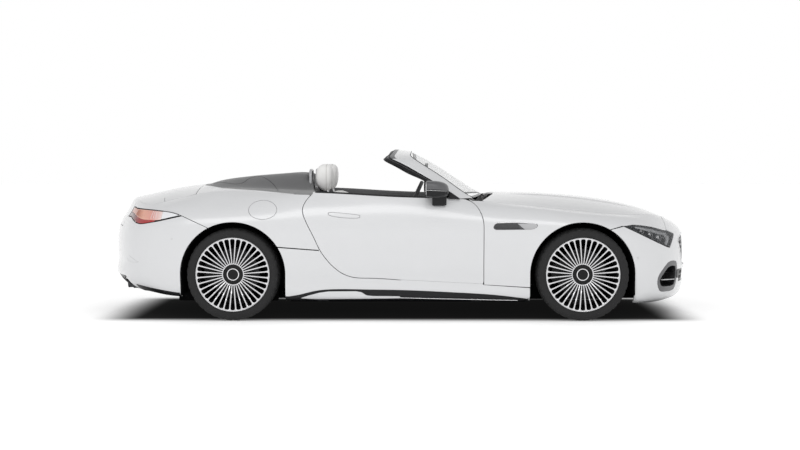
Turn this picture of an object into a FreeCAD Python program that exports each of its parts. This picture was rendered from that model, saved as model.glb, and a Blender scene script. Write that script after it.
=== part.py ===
# Two-seat roadster with its roof stowed, millimetres.
# +X is forward, +Y is the car's left, +Z is up; the origin is on the ground under the middle of the car's box.
# The body side, with nose and tail, is one smooth cubic surface; panels are cut from it along their shut lines.
import FreeCAD, Part
import math
import os



# ---------------------------------------------------------------- overall sizes (mm)
LENGTH = 4705.0          # bumper to bumper
WHEELBASE = 2700.0
X_FRONT_AXLE = 1417.5
X_REAR_AXLE = X_FRONT_AXLE - WHEELBASE
R_TYRE = 358.0
R_ARCH = 406.0
GAP = 5.0                # shut-line gap

# ---------------------------------------------------------------- small maths
def pchip(xs, ys):
    """Monotone cubic through (xs, ys)."""
    n = len(xs)
    h = [xs[i + 1] - xs[i] for i in range(n - 1)]
    d = [(ys[i + 1] - ys[i]) / h[i] for i in range(n - 1)]
    m = [0.0] * n
    for i in range(1, n - 1):
        if d[i - 1] * d[i] > 0:
            w1, w2 = 2 * h[i] + h[i - 1], h[i] + 2 * h[i - 1]
            m[i] = (w1 + w2) / (w1 / d[i - 1] + w2 / d[i])
    m[0] = d[0]
    m[-1] = d[-1]
    for k, e in ((0, 0), (n - 1, n - 2)):
        if abs(m[k]) > 3 * abs(d[e]):
            m[k] = 3 * d[e]

    def f(x):
        if x <= xs[0]:
            return ys[0] + m[0] * (x - xs[0])
        if x >= xs[-1]:
            return ys[-1] + m[-1] * (x - xs[-1])
        lo, hi = 0, n - 1
        while hi - lo > 1:
            mid = (lo + hi) // 2
            if xs[mid] <= x:
                lo = mid
            else:
                hi = mid
        t = (x - xs[lo]) / h[lo]
        t2, t3 = t * t, t * t * t
        return (
            (2 * t3 - 3 * t2 + 1) * ys[lo]
            + (t3 - 2 * t2 + t) * h[lo] * m[lo]
            + (-2 * t3 + 3 * t2) * ys[lo + 1]
            + (t3 - t2) * h[lo] * m[lo + 1]
        )

    return f


def natural(xs, ys):
    """Natural cubic spline through (xs, ys), straight beyond its ends."""
    n = len(xs)
    h = [xs[i + 1] - xs[i] for i in range(n - 1)]
    a, b, c, d = [0.0] * n, [1.0] * n, [0.0] * n, [0.0] * n
    for i in range(1, n - 1):
        a[i], b[i], c[i] = h[i - 1], 2 * (h[i - 1] + h[i]), h[i]
        d[i] = 6 * ((ys[i + 1] - ys[i]) / h[i] - (ys[i] - ys[i - 1]) / h[i - 1])
    for i in range(1, n):
        w = a[i] / b[i - 1]
        b[i] -= w * c[i - 1]
        d[i] -= w * d[i - 1]
    m = [0.0] * n
    for i in range(n - 2, 0, -1):
        m[i] = (d[i] - c[i] * m[i + 1]) / b[i]

    def f(x):
        x0 = min(max(x, xs[0]), xs[-1])
        lo, hi = 0, n - 1
        while hi - lo > 1:
            mid = (lo + hi) // 2
            if xs[mid] <= x0:
                lo = mid
            else:
                hi = mid
        hh = h[lo]
        A, B = (xs[lo + 1] - x0) / hh, (x0 - xs[lo]) / hh
        y = A * ys[lo] + B * ys[lo + 1] + ((A**3 - A) * m[lo] + (B**3 - B) * m[lo + 1]) * hh * hh / 6
        if x != x0:
            s = (ys[lo + 1] - ys[lo]) / hh + (
                (-(3 * A * A - 1) * m[lo] + (3 * B * B - 1) * m[lo + 1]) * hh / 6
            )
            y += s * (x - x0)
        return y

    return f


# ---------------------------------------------------------------- bonnet and rear deck, as heights over the plan
BONNET_CROWN = natural(
    [500, 700, 886, 1086, 1337, 1537, 1700, 1838, 1938, 2038, 2110, 2170, 2240, 2300],
    [978, 978, 976, 972, 959, 939, 915, 887, 861, 827, 797, 771, 731, 690],
)
BONNET_DROP = natural(
    [500, 640, 880, 1110, 1341, 1571, 1802, 1972, 2100, 2200],
    [38, 46, 66, 85, 96, 97, 83, 58, 34, 20],
)
DECK_CROWN = natural(
    [-2240, -2190, -2140, -2086, -1985, -1833, -1657, -1500, -1300, -1100, -900, -700],
    [930, 938, 946, 957, 981, 1014, 1040, 1052, 1052, 1044, 1032, 1018],
)
DECK_DROP = natural(
    [-2240, -2030, -1895, -1688, -1550, -1436, -1307, -1131, -900, -700],
    [118, 106, 98, 84, 62, 50, 44, 40, 34, 26],
)


def crown(t):
    return 0.75 * t * t + 0.25 * t**4


def bonnet_z(x, y):
    return BONNET_CROWN(x) - BONNET_DROP(x) * crown(abs(y) / 700.0)


def deck_z(x, y):
    return DECK_CROWN(x) - DECK_DROP(x) * crown(abs(y) / 700.0)


# ---------------------------------------------------------------- plan outline at the widest level, left half, nose to tail
PLAN = [
    (2354, 0), (2336, 180), (2296, 330), (2238, 480), (2162, 620), (2062, 750), (1938, 848), (1780, 910),
    (1590, 942), (1417, 950), (1150, 943), (900, 931), (640, 924), (500, 922), (200, 920), (0, 920),
    (-400, 927), (-700, 938), (-1000, 951), (-1283, 957.5), (-1550, 950), (-1780, 925), (-1950, 872),
    (-2070, 792), (-2160, 682), (-2232, 540), (-2288, 380), (-2334, 200), (-2360.5, 0),
]
# sections: plan outline index -> (inward offset, height) from the underside to the top edge
SECTIONS = {
    0: [(120, 122), (45, 150), (12, 250), (3, 360), (0, 470), (3, 570), (16, 645), (55, 697), (100, 728), (140, None), (165, None)],
    4: [(120, 122), (48, 152), (14, 255), (3, 370), (0, 480), (8, 575), (32, 655), (72, 718), (115, 768), (158, None), (190, None)],
    6: [(115, 125), (45, 155), (12, 265), (2, 385), (0, 500), (6, 600), (28, 690), (70, 752), (125, 790), (190, None), (230, None)],
    9: [(110, 150), (40, 180), (15, 290), (5, 420), (0, 560), (0, 670), (14, 755), (56, 802), (120, 832), (210, None), (270, None)],
    11: [(95, 150), (30, 175), (18, 290), (20, 420), (8, 560), (0, 690), (14, 785), (56, 845), (112, 881), (185, None), (240, None)],
    12: [(85, 152), (24, 180), (14, 290), (24, 420), (12, 560), (0, 690), (10, 785), (40, 850), (85, 890), (150, 918), (210, 934)],
    13: [(82, 154), (22, 183), (12, 290), (24, 420), (13, 560), (0, 690), (6, 778), (26, 842), (52, 888), (80, 922), (104, 942)],
    15: [(80, 155), (20, 185), (12, 290), (24, 420), (14, 560), (0, 690), (3, 770), (14, 835), (28, 885), (46, 930), (62, 960)],
    17: [(85, 155), (22, 185), (12, 290), (20, 420), (10, 560), (0, 690), (5, 780), (24, 858), (50, 918), (80, 965), (98, 994)],
    18: [(95, 155), (30, 188), (13, 295), (12, 425), (5, 565), (0, 685), (6, 775), (38, 862), (86, 930), (150, 978), (202, None)],
    19: [(110, 160), (40, 190), (15, 300), (4, 430), (0, 570), (0, 680), (8, 768), (50, 860), (116, 928), (220, None), (292, None)],
    21: [(110, 185), (45, 215), (14, 320), (2, 440), (0, 570), (4, 680), (22, 775), (66, 850), (130, 905), (220, None), (275, None)],
    23: [(125, 214), (62, 248), (12, 340), (8, 425), (4, 520), (4, 640), (20, 728), (58, 792), (98, 836), (145, None), (190, None)],
    25: [(125, 212), (72, 246), (6, 342), (16, 420), (14, 505), (16, 632), (32, 718), (68, 786), (104, 834), (148, 878), (190, 922)],
    28: [(117, 210), (75, 243), (3, 340), (20, 415), (19, 500), (22, 630), (34, 715), (69, 785), (107, 838), (158, 886), (206, 940)],
}


def chord(points):
    s = [0.0]
    for a, b in zip(points, points[1:]):
        s.append(s[-1] + math.dist(a, b))
    return s


_S = chord(PLAN)
# mirrored a little past both centres, so that the outline is square to the centreline there
_ext = [(-_S[2], PLAN[2][0], -PLAN[2][1]), (-_S[1], PLAN[1][0], -PLAN[1][1])]
_ext += [(s, p[0], p[1]) for s, p in zip(_S, PLAN)]
_ext += [(2 * _S[-1] - _S[-2], PLAN[-2][0], -PLAN[-2][1]), (2 * _S[-1] - _S[-3], PLAN[-3][0], -PLAN[-3][1])]
_px = natural([e[0] for e in _ext], [e[1] for e in _ext])
_py = natural([e[0] for e in _ext], [e[2] for e in _ext])
_keys = sorted(SECTIONS)
_off = [pchip([_S[k] for k in _keys], [SECTIONS[k][j][0] for k in _keys]) for j in range(11)]


def plan_at(s):
    e = 1.0
    x, y = _px(s), _py(s)
    tx, ty = _px(s + e) - _px(s - e), _py(s + e) - _py(s - e)
    n = math.hypot(tx, ty)
    return x, y, -ty / n * -1, tx / n * -1  # outward normal: the outline runs nose to tail on the left


def top_z(x, y):
    return bonnet_z(x, y) if x > 0 else deck_z(x, y)


_zk = []
for k in _keys:
    x, y, nx, ny = plan_at(_S[k])
    row = []
    for j, (o, z) in enumerate(SECTIONS[k]):
        if z is None:
            z = top_z(x - nx * o, y - ny * o)
            if j == 9:
                z -= 2.0
        row.append(z)
    _zk.append(row)
_hz = [pchip([_S[k] for k in _keys], [r[j] for r in _zk]) for j in range(11)]
N_ST = 80
N_LV = 20


def station_s(i):
    return _S[-1] * i / N_ST


def _poles():
    rows = []
    for i in range(N_ST + 1):
        s = station_s(i)
        x, y, nx, ny = plan_at(s)
        if i in (0, N_ST):
            y, nx, ny = 0.0, (1.0 if i == 0 else -1.0), 0.0
        pts = []
        for j in range(11):
            o, z = _off[j](s), _hz[j](s)
            px, py = x - nx * o, y - ny * o
            if j >= 9:
                # the top rows lie on the bonnet or deck where it is there
                w = 1.0 if (s < _S[11] or s > _S[19]) else 0.0
                if _S[11] <= s < _S[12]:
                    w = (_S[12] - s) / (_S[12] - _S[11])
                if _S[18] < s <= _S[19]:
                    w = (s - _S[18]) / (_S[19] - _S[18])
                w = w * w * (3 - 2 * w)
                zt = top_z(px, py) - (2.0 if j == 9 else 0.0)
                z = z * (1 - w) + zt * w
            pts.append((px, py, z))
        t = [0.0]
        for a, b in zip(pts, pts[1:]):
            t.append(t[-1] + math.dist(a, b))
        f = [natural(t, [p[c] for p in pts]) for c in range(3)]
        fine = []
        for j in range(N_LV + 1):
            q = t[j // 2] if j % 2 == 0 else (t[j // 2] + t[j // 2 + 1]) / 2
            fine.append(tuple(g(q) for g in f))
        rows.append(fine)
    return rows


POLES = _poles()


def pole(i, j):
    """Pole of the body-side surface; i runs nose (0) to tail, mirrored beyond both, and j underside (0) to top edge."""
    if j < 0:
        a, b = pole(i, 0), pole(i, 1)
        return tuple(2 * p - q for p, q in zip(a, b))
    if j > N_LV:
        a, b = pole(i, N_LV), pole(i, N_LV - 1)
        return tuple(2 * p - q for p, q in zip(a, b))
    if i < 0:
        x, y, z = pole(-i, j)
        return (x, -y, z)
    if i > N_ST:
        x, y, z = pole(2 * N_ST - i, j)
        return (x, -y, z)
    return POLES[i][j]


def _w(t):
    return ((1 - t) ** 3 / 6, (3 * t**3 - 6 * t * t + 4) / 6, (-3 * t**3 + 3 * t * t + 3 * t + 1) / 6, t**3 / 6)


def _dw(t):
    return (-((1 - t) ** 2) / 2, (9 * t * t - 12 * t) / 6, (-9 * t * t + 6 * t + 3) / 6, t * t / 2)


def side(u, v):
    """Point, and the outward unit normal, of the body side at station u and level v."""
    i, j = math.floor(u), math.floor(v)
    if v >= N_LV:
        j = N_LV - 1
    if v <= 0:
        j = 0
    a, b = u - i, v - j
    wa, wb, da, db = _w(a), _w(b), _dw(a), _dw(b)
    p, du, dv = [0.0] * 3, [0.0] * 3, [0.0] * 3
    for m in range(4):
        for n in range(4):
            q = pole(i - 1 + m, j - 1 + n)
            for c in range(3):
                p[c] += wa[m] * wb[n] * q[c]
                du[c] += da[m] * wb[n] * q[c]
                dv[c] += wa[m] * db[n] * q[c]
    nx = du[1] * dv[2] - du[2] * dv[1]
    ny = du[2] * dv[0] - du[0] * dv[2]
    nz = du[0] * dv[1] - du[1] * dv[0]
    k = math.sqrt(nx * nx + ny * ny + nz * nz) or 1.0
    return tuple(p), (nx / k, ny / k, nz / k)
# ---------------------------------------------------------------- solids
V = FreeCAD.Vector
Y_AX = V(0, 1, 0)


def grid_face(rows):
    s = Part.BSplineSurface()
    s.interpolate([[V(*p) for p in r] for r in rows])
    return s


def thick(outer, inner):
    """Closed solid between two grids of points of the same shape."""
    a, b = grid_face(outer), grid_face(inner)
    faces = [a.toShape(), b.toShape()]
    for get in (lambda s: s.uIso(s.bounds()[0]), lambda s: s.uIso(s.bounds()[1]), lambda s: s.vIso(s.bounds()[2]), lambda s: s.vIso(s.bounds()[3])):
        faces.append(Part.makeRuledSurface(get(a).toShape(), get(b).toShape()))
    sh = Part.makeShell(faces)
    sh.sewShape()
    if sh.ShapeType != "Shell":
        sh = sh.Shells[0]
    so = Part.Solid(sh)
    if so.Volume < 0:
        so.reverse()
    return so


def span(a, b, n):
    return [a + (b - a) * i / (n - 1) for i in range(n)]


def side_slab(u0, u1, v0, v1, t, step_u=2.0, nv=14, lift=0.0):
    nu = max(4, int(round((u1 - u0) / step_u)) + 1)
    outer, inner = [], []
    for u in span(u0, u1, nu):
        ro, ri = [], []
        for v in span(v0, v1, nv):
            p, n = side(u, v)
            ro.append(tuple(c + lift * k for c, k in zip(p, n)))
            ri.append(tuple(c - t * k for c, k in zip(p, n)))
        outer.append(ro)
        inner.append(ri)
    return thick(outer, inner)


def height_slab(fn, x0, x1, y0, y1, t, nx=24, ny=17):
    top = [[(x, y, fn(x, y)) for y in span(y0, y1, ny)] for x in span(x0, x1, nx)]
    low = [[(x, y, z - t) for x, y, z in r] for r in top]
    return thick(top, low)


def wire_of(points):
    """Closed wire; an item of points that is a list is a smooth run, a tuple is a corner."""
    edges = []
    flat = []
    for it in points:
        flat.append(it if isinstance(it, list) else [it])
    last = None
    first = flat[0][0]
    for run in flat:
        if last is not None and math.dist(last, run[0]) > 1e-6:
            edges.append(Part.LineSegment(V(*last), V(*run[0])).toShape())
        if len(run) > 1:
            c = Part.BSplineCurve()
            c.interpolate([V(*p) for p in run])
            edges.append(c.toShape())
        last = run[-1]
    if math.dist(last, first) > 1e-6:
        edges.append(Part.LineSegment(V(*last), V(*first)).toShape())
    return Part.Wire(edges)


def prism(plane, points, a, b):
    """Solid with the given outline in 'xz', 'xy' or 'yz', from a to b along the third axis."""
    def lift(p):
        return {"xz": (p[0], a, p[1]), "xy": (p[0], p[1], a), "yz": (a, p[0], p[1])}[plane]
    pts = [[lift(q) for q in it] if isinstance(it, list) else lift(it) for it in points]
    d = {"xz": V(0, b - a, 0), "xy": V(0, 0, b - a), "yz": V(b - a, 0, 0)}[plane]
    return Part.Face(wire_of(pts)).extrude(d)


def box(x0, x1, y0, y1, z0, z1):
    return Part.makeBox(x1 - x0, y1 - y0, z1 - z0, V(x0, y0, z0))


def cyl(r, p, d, h):
    return Part.makeCylinder(r, h, V(*p), V(*d))


def tube(points, r):
    """Round bar along straight runs with ball joints."""
    parts = []
    for a, b in zip(points, points[1:]):
        parts.append(cyl(r, a, [q - p for p, q in zip(a, b)], math.dist(a, b)))
    for p in points[1:-1]:
        parts.append(Part.makeSphere(r, V(*p)))
    out = parts[0]
    for p in parts[1:]:
        out = out.fuse(p)
    return out


def mirror(s):
    return s.mirror(V(0, 0, 0), V(0, 1, 0))


def fuse(*s):
    out = s[0]
    if len(s) > 1:
        out = s[0].multiFuse(list(s[1:]))
    try:
        out = out.removeSplitter()
    except Exception:
        pass
    return out


def both(s):
    return Part.makeCompound([s, mirror(s)])


def loft(sections, ruled=False):
    ws = [Part.makePolygon([V(*p) for p in s] + [V(*s[0])]) for s in sections]
    return Part.makeLoft(ws, True, ruled)


NODES = {}


def put(name, shape):
    NODES[name] = shape


# ---------------------------------------------------------------- lines of the body panels
V_SHUT = 18.5        # level of the bonnet and boot-lid shut lines on the side surface
X_DECK_FRONT = -1600.0


def shut_xy(u, inset):
    p, n = side(u, V_SHUT)
    k = math.hypot(n[0], n[1]) or 1.0
    h = (side(u + 0.5, V_SHUT)[0], side(u - 0.5, V_SHUT)[0])
    tx, ty = h[0][0] - h[1][0], h[0][1] - h[1][1]
    m = math.hypot(tx, ty)
    nx, ny = -ty / m, tx / m      # along +u the outline runs rearwards on the left, so this points inwards
    if nx * p[0] + ny * p[1] > 0 and abs(p[1]) > 300:
        nx, ny = -nx, -ny
    return (p[0] + nx * inset, p[1] + ny * inset)


ARCH_F = cyl(R_ARCH, (X_FRONT_AXLE, 300, R_TYRE), (0, 1, 0), 900).fuse(box(X_FRONT_AXLE - R_ARCH, X_FRONT_AXLE + R_ARCH, 300, 1200, -50, R_TYRE))
ARCH_R = cyl(R_ARCH, (X_REAR_AXLE, 300, R_TYRE), (0, 1, 0), 900).fuse(box(X_REAR_AXLE - R_ARCH, X_REAR_AXLE + R_ARCH, 300, 1200, -50, R_TYRE))

DOOR_REAR = [(-666, 1010), (-668, 990), (-705, 945), (-735, 895), (-744, 857), (-734, 811), (-694, 721), (-649, 631), (-621, 569), (-543, 455), (-443, 370), (-372, 341), (-230, 330), (8, 316)]
DOOR_FRONT = [(655, 285), (655, 500), (655, 727), (640, 814), (611, 872), (569, 915), (512, 940), (440, 962)]
QUARTER_LOW = [(-933 - 40, 571), (-621, 545)]


def offset_line(pts, d):
    """Points moved d to the left of their direction of travel, in the plane."""
    out = []
    for i, p in enumerate(pts):
        a = pts[max(i - 1, 0)]
        b = pts[min(i + 1, len(pts) - 1)]
        t = (b[0] - a[0], b[1] - a[1])
        m = math.hypot(*t)
        out.append((p[0] - t[1] / m * d, p[1] + t[0] / m * d))
    return out


# ---------------------------------------------------------------- doors
G = GAP / 2
door_r = offset_line(DOOR_REAR, G)
door_f = offset_line(DOOR_FRONT, G)
door_prism = prism("xz", [door_r, door_f, (420, 1100), (-640, 1100)], 500, 1100)
door_outer = side_slab(29, 51, 2.0, 20, 12)
# behind the outer 34 mm the door steps in along its shut lines, like the flange of a real one
door_in = prism("xz", [offset_line(DOOR_REAR, G + 14), offset_line(DOOR_FRONT, G + 14), (406, 1100), (-626, 1100)], 500, 1100)
door_full = side_slab(29, 51, 2.0, 20, 106, nv=12)
door_solid = fuse(side_slab(29, 51, 2.0, 20, 34, nv=12).common(door_prism), door_full.common(door_in))
# the tonneau's corner reaches over the door's rear end
tc = [shut_xy(46 + 0.5 * k, -1.0) for k in range(0, 16)]
tc = [q for q in tc if -800 < q[0] < -634]
door_solid = door_solid.cut(prism("xy", [(-634, 500), (-634, tc[0][1] + 0.3), *tc, (-800, tc[-1][1]), (-800, 500)], 938, 1300))
door_solid = max(door_solid.Solids, key=lambda s: s.Volume)
# the inner face is flat and stands clear of the sill and the seat
door_solid = door_solid.cut(box(-900, 900, 300, 792, 0, 1200))
door_solid = door_solid.cut(box(-900, 900, 300, 822, 0, 345))
def oval(x, yc, zc, ry, rz, n=4.0, k=20):
    """Closed smooth wire in a plane of constant x."""
    pts = []
    for i in range(k):
        a = 2 * math.pi * i / k
        c, d = math.cos(a), math.sin(a)
        pts.append(V(x, yc + ry * math.copysign(abs(c) ** (2 / n), c), zc + rz * math.copysign(abs(d) ** (2 / n), d)))
    cv = Part.BSplineCurve()
    cv.interpolate(pts, PeriodicFlag=True)
    return Part.Wire([cv.toShape()])


MIRROR_SECTIONS = [(212, 958, 1020, 84, 58), (224, 960, 1019, 90, 63), (270, 960, 1017, 90, 65), (330, 953, 1014, 80, 60), (366, 944, 1011, 60, 46), (382, 938, 1008, 34, 26)]
mir = Part.makeLoft([oval(*q) for q in MIRROR_SECTIONS], True, False)
foot = prism("yz", [(836, 925), (872, 920), (905, 962), (925, 985), (885, 1000), (846, 962)], 262, 350)
foot = foot.cut(door_solid)
foot = max(foot.Solids, key=lambda s: s.CenterOfMass.z)
mirror_solid = fuse(mir, foot)

# ---------------------------------------------------------------- front fenders
T_SKIN = 10.0
SPLIT_F = [(1560, 690), (1633, 709), (1724, 734)]
fender = side_slab(6, 33, 0.6, V_SHUT - 0.14, T_SKIN, step_u=1.5)
f_rear = offset_line(DOOR_FRONT, -G)
fender = fender.cut(ARCH_F)
# behind the door's front edge, and below the fender's lower line, other panels follow
fender = fender.cut(prism("xz", [f_rear, (300, 1000), (300, 100), (655 + G, 100)], 300, 1100))
fender = fender.cut(prism("xz", [(600, 286.0 + 0), (655, 281.5), (1022, 260.5), (1100, 255), (1100, 0), (600, 0)], 300, 1100))
LAMP = [(1733, 731), (1814, 741), (1962, 721), (2092, 686), (2172, 651), (2160, 608), (2127, 552), (1941, 634), (1827, 688)]
# the bumper takes over ahead of the split line, below the lamp and ahead of it
fender = fender.cut(prism("xz", [(1500, 300), (1560, 690 + G), (1633, 709 + G), (1733, 731 + G), (1814, 741 + G), (1962, 721 + G), (2092, 686 + G), (2122, 694), (2104, 802), (2104, 1000), (2500, 1000), (2500, 0), (1500, 0)], 300, 1100))
fender = max(fender.Solids, key=lambda s: s.Volume)

# ---------------------------------------------------------------- sills, with the rear kick-up behind the door
sill = side_slab(24.5, 57.5, 0.0, 9.0, 60, nv=10)
sill_top_f = [(1022 + 40, 262 - G), (655, 285 - G - 4)]
sill_prism = prism("xz", [(1062, 256), (655, 278)] + [list(reversed(offset_line(DOOR_REAR[9:], -G - 1.5)))] + [(-618, 541.5), (-973, 566), (-973, 0), (1062, 0)], 300, 1100)
sill = sill.common(sill_prism).cut(ARCH_F).cut(ARCH_R).cut(box(-2000, 2000, 300, 742, 0, 1000))
sill = max(sill.Solids, key=lambda s: s.Volume)

# ---------------------------------------------------------------- rear quarters
quarter = side_slab(46.5, 76, 4.0, V_SHUT - 0.14, T_SKIN, step_u=1.5)
q_front = offset_line(DOOR_REAR, -G)
quarter = quarter.cut(ARCH_R)
quarter = quarter.cut(prism("xz", [q_front, (8, 200), (300, 200), (300, 1100), (-666 - G * 0, 1100)], 300, 1100))
quarter = quarter.cut(prism("xz", [(-1000, 577.5), (-621 + 40, 546.5), (-300, 500), (-300, 0), (-1000, 0)], 300, 1100))
SPLIT_R = [(-1400, 690), (-1459, 715), (-1675, 811)]
quarter = quarter.cut(prism("xz", [(-1400, 690 + G), (-1459, 715 + G), (-1675, 811 + G), (-1737, 837 + G), (-1799, 848 + G), (-1900, 856 + G), (-2090, 866 + G), (-2500, 880), (-2500, 0), (-1400, 0)], 300, 1100))
quarter = quarter.cut(box(-2500, -1900, -100, 467, 0, 1200))
quarter = max(quarter.Solids, key=lambda s: s.Volume)
FLAP_C = None

# ---------------------------------------------------------------- nose
nose = side_slab(-16.2, 16.2, 0.0, V_SHUT - 0.14, T_SKIN + 2, step_u=1.2, nv=18)
keep_nose = prism("xz", [(1560, 690 - G), (1633, 709 - G), (1733, 731 - G), (1827, 688 - G), (1941, 634 - G), (2127, 552 - G), (2175, 600), (2190, 651), (2178, 668), (2130, 690), (2110, 800), (2450, 800), (2450, 0), (1500, 0), (1500, 640)], -1200, 1200)
nose = nose.common(keep_nose)
af = ARCH_F
nose = nose.cut(af).cut(mirror(af))
GRILLE = [(0, 652), (330, 640), (470, 590), (452, 520), (398, 430), (345, 392), (0, 385)]
grille_out = [(y, z) for y, z in GRILLE] + [(-y, z) for y, z in reversed(GRILLE[1:-1])]
nose = nose.cut(prism("yz", grille_out, 1900, 2500))
INTAKE = [(540, 440), (692, 436), (756, 376), (780, 328), (778, 276), (749, 222), (700, 206), (600, 202), (520, 214), (500, 320)]
nose = nose.cut(prism("yz", INTAKE, 1800, 2500)).cut(prism("yz", [(-y, z) for y, z in INTAKE], 1800, 2500))
LOWER = [(-430, 310), (430, 310), (400, 200), (-400, 200)]
nose = nose.cut(prism("yz", LOWER, 1800, 2500))
nose = max(nose.Solids, key=lambda s: s.Volume)

# ---------------------------------------------------------------- tail
tail = side_slab(60.5, 99.5, 0.0, V_SHUT - 0.14, T_SKIN + 2, step_u=1.2, nv=18)
keep_tail = prism("xz", [(-1400, 690 - G), (-1459, 715 - G), (-1675, 811 - G), (-1869, 768 - G), (-2020, 738 - G), (-2140, 742 - G), (-2500, 735 - G), (-2500, 0), (-1400, 0)], -1200, 1200)
tail = tail.common(keep_tail).cut(ARCH_R).cut(mirror(ARCH_R))
tail = tail.cut(prism("yz", [(-640, 330), (640, 330), (700, 100), (-700, 100)], -2500, -1700))
tail = tail.cut(prism("yz", [(-470, 800), (470, 800), (470, 715), (-470, 715)], -2500, -1900))
# flat recess for a plate, with two bolt holes
tail = tail.fuse(box(-2322, -2300, -278, 278, 418, 560)).cut(box(-2420, -2319, -262, 262, 430, 548))
for y in (-220, 220):
    tail = tail.cut(cyl(3.0, (-2400, y, 489), (1, 0, 0), 150))
tail = max(tail.Solids, key=lambda s: s.Volume)

# ---------------------------------------------------------------- lamps
lamp = side_slab(8, 17, 8.0, 18.2, 40, step_u=1.0, lift=-1.5)
lamp = lamp.common(prism("xz", [(1744, 729), (1814, 737), (1962, 717), (2092, 682), (2182, 652), (2168, 606), (2124, 558), (1941, 640), (1830, 690)], 300, 1100))
lamp = max(lamp.Solids, key=lambda s: s.Volume)
tl = side_slab(62, 77, 11.5, 18.0, 30, step_u=1.0, lift=-1.5)
tl = tl.common(prism("xz", [(-1682, 810), (-1737, 833), (-1799, 844), (-1900, 852), (-2090, 862), (-2400, 874), (-2400, 738), (-2140, 746), (-2020, 742), (-1869, 772)], 470, 1100))
tl = max(tl.Solids, key=lambda s: s.Volume)

# ---------------------------------------------------------------- bonnet
us = [1.0 * k for k in range(0, 33)]
edge_l = [shut_xy(u, GAP + 2.0) for u in us]
edge_l = [p for p in edge_l if p[0] > 655]
bonnet_edge = [(x, y) for x, y in reversed(edge_l) if abs(y) > 1] + [(edge_l[0][0], 0.0)] + [(x, -y) for x, y in edge_l if abs(y) > 1]


def bonnet_rear(y):
    return 775.0 - 112.0 * (y / 700.0) ** 2


yr = bonnet_edge[0][1]
rear_edge = [(bonnet_rear(y), y) for y in span(-yr, yr, 9)]
b_out = [bonnet_edge, rear_edge]
T_LID = 24.0
bonnet = height_slab(bonnet_z, 560, 2290, -770, 770, T_LID, nx=30, ny=19).common(prism("xy", b_out, 500, 1100))
bonnet = max(bonnet.Solids, key=lambda s: s.Volume)

# ---------------------------------------------------------------- boot lid: deck and rear face in one
us = [64 + 0.8 * k for k in range(0, 21)]
deck_l = [shut_xy(u, GAP + 1.0) for u in us]
deck_l = [p for p in deck_l if p[0] < X_DECK_FRONT]
d_edge = [(X_DECK_FRONT, deck_l[0][1])] + [(x, y) for x, y in deck_l if y > 330]
lip = [(x, y) for x, y in deck_l if y > 1]
d_edge = [(X_DECK_FRONT, deck_l[0][1])] + lip + [(deck_l[-1][0], 0.0)]
d_run = d_edge + [(x, -y) for x, y in reversed(d_edge[:-1])]
deck = height_slab(deck_z, -2260, -1500, -760, 760, T_LID, nx=20, ny=17).common(prism("xy", [d_run], 700, 1200))
deck = max(deck.Solids, key=lambda s: s.Volume)
face = side_slab(70, 90, 11.5, 20.0, T_LID, step_u=1.0, nv=12).common(prism("yz", [(-462, 720), (462, 720), (462, 1000), (-462, 1000)], -2500, -1900))
boot = fuse(deck, face)

# ---------------------------------------------------------------- tonneau with two fairings
FAIR_H = pchip([-1600, -1560, -1440, -1213, -1000, -809, -755, -715, -680, -650], [0, 6, 36, 72, 100, 121, 120, 96, 40, 0])


def tonneau_z(x, y):
    t = (abs(y) - 370.0) / 235.0
    b = (1 - t * t) ** 2 if abs(t) < 1 else 0.0
    return deck_z(x, y) + max(FAIR_H(x), 0.0) * b


us = [46 + 1.0 * k for k in range(0, 18)]
t_l = [shut_xy(u, GAP + 5.0) for u in us]
t_l = [p for p in t_l if X_DECK_FRONT + GAP < p[0] < -640]
t_front = [(-640, t_l[0][1]), (-672, 600), (-690, 400), (-694, 200), (-695, 0), (-694, -200), (-690, -400), (-672, -600), (-640, -t_l[0][1])]
t_out = [[(-640, t_l[0][1])] + t_l + [(X_DECK_FRONT + GAP, t_l[-1][1])], [(X_DECK_FRONT + GAP, -t_l[-1][1])] + [(x, -y) for x, y in reversed(t_l)] + [(-640, -t_l[0][1])], list(reversed(t_front))]
tonneau = height_slab(tonneau_z, -1650, -600, -860, 860, 22, nx=44, ny=41).common(prism("xy", t_out, 800, 1300))
tonneau = max(tonneau.Solids, key=lambda s: s.Volume)

# ---------------------------------------------------------------- windscreen
WS_C = natural([0, 0.28, 0.5, 0.78, 1.0], [682, 581, 442, 234, 96]), natural([0, 0.28, 0.5, 0.78, 1.0], [968, 1026, 1116, 1244, 1314])
WS_S = [natural([0, 0.25, 0.5, 0.75, 1.0], c) for c in ([574, 478, 350, 221, 118], [780, 745, 700, 655, 614], [946, 1009, 1100, 1184, 1249])]


def glass_pt(a, b):
    cx, cz = WS_C[0](b), WS_C[1](b)
    sx, sy, sz = (f(b) for f in WS_S)
    return (cx + (sx - cx) * a * a, a * sy, cz + (sz - cz) * a * a)


g_out = [[glass_pt(a, b) for b in span(0.02, 0.975, 9)] for a in span(-0.955, 0.955, 15)]
g_in = [[(x - 3.0, y, z - 4.2) for x, y, z in r] for r in g_out]
glass = thick(g_out, g_in)

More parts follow.
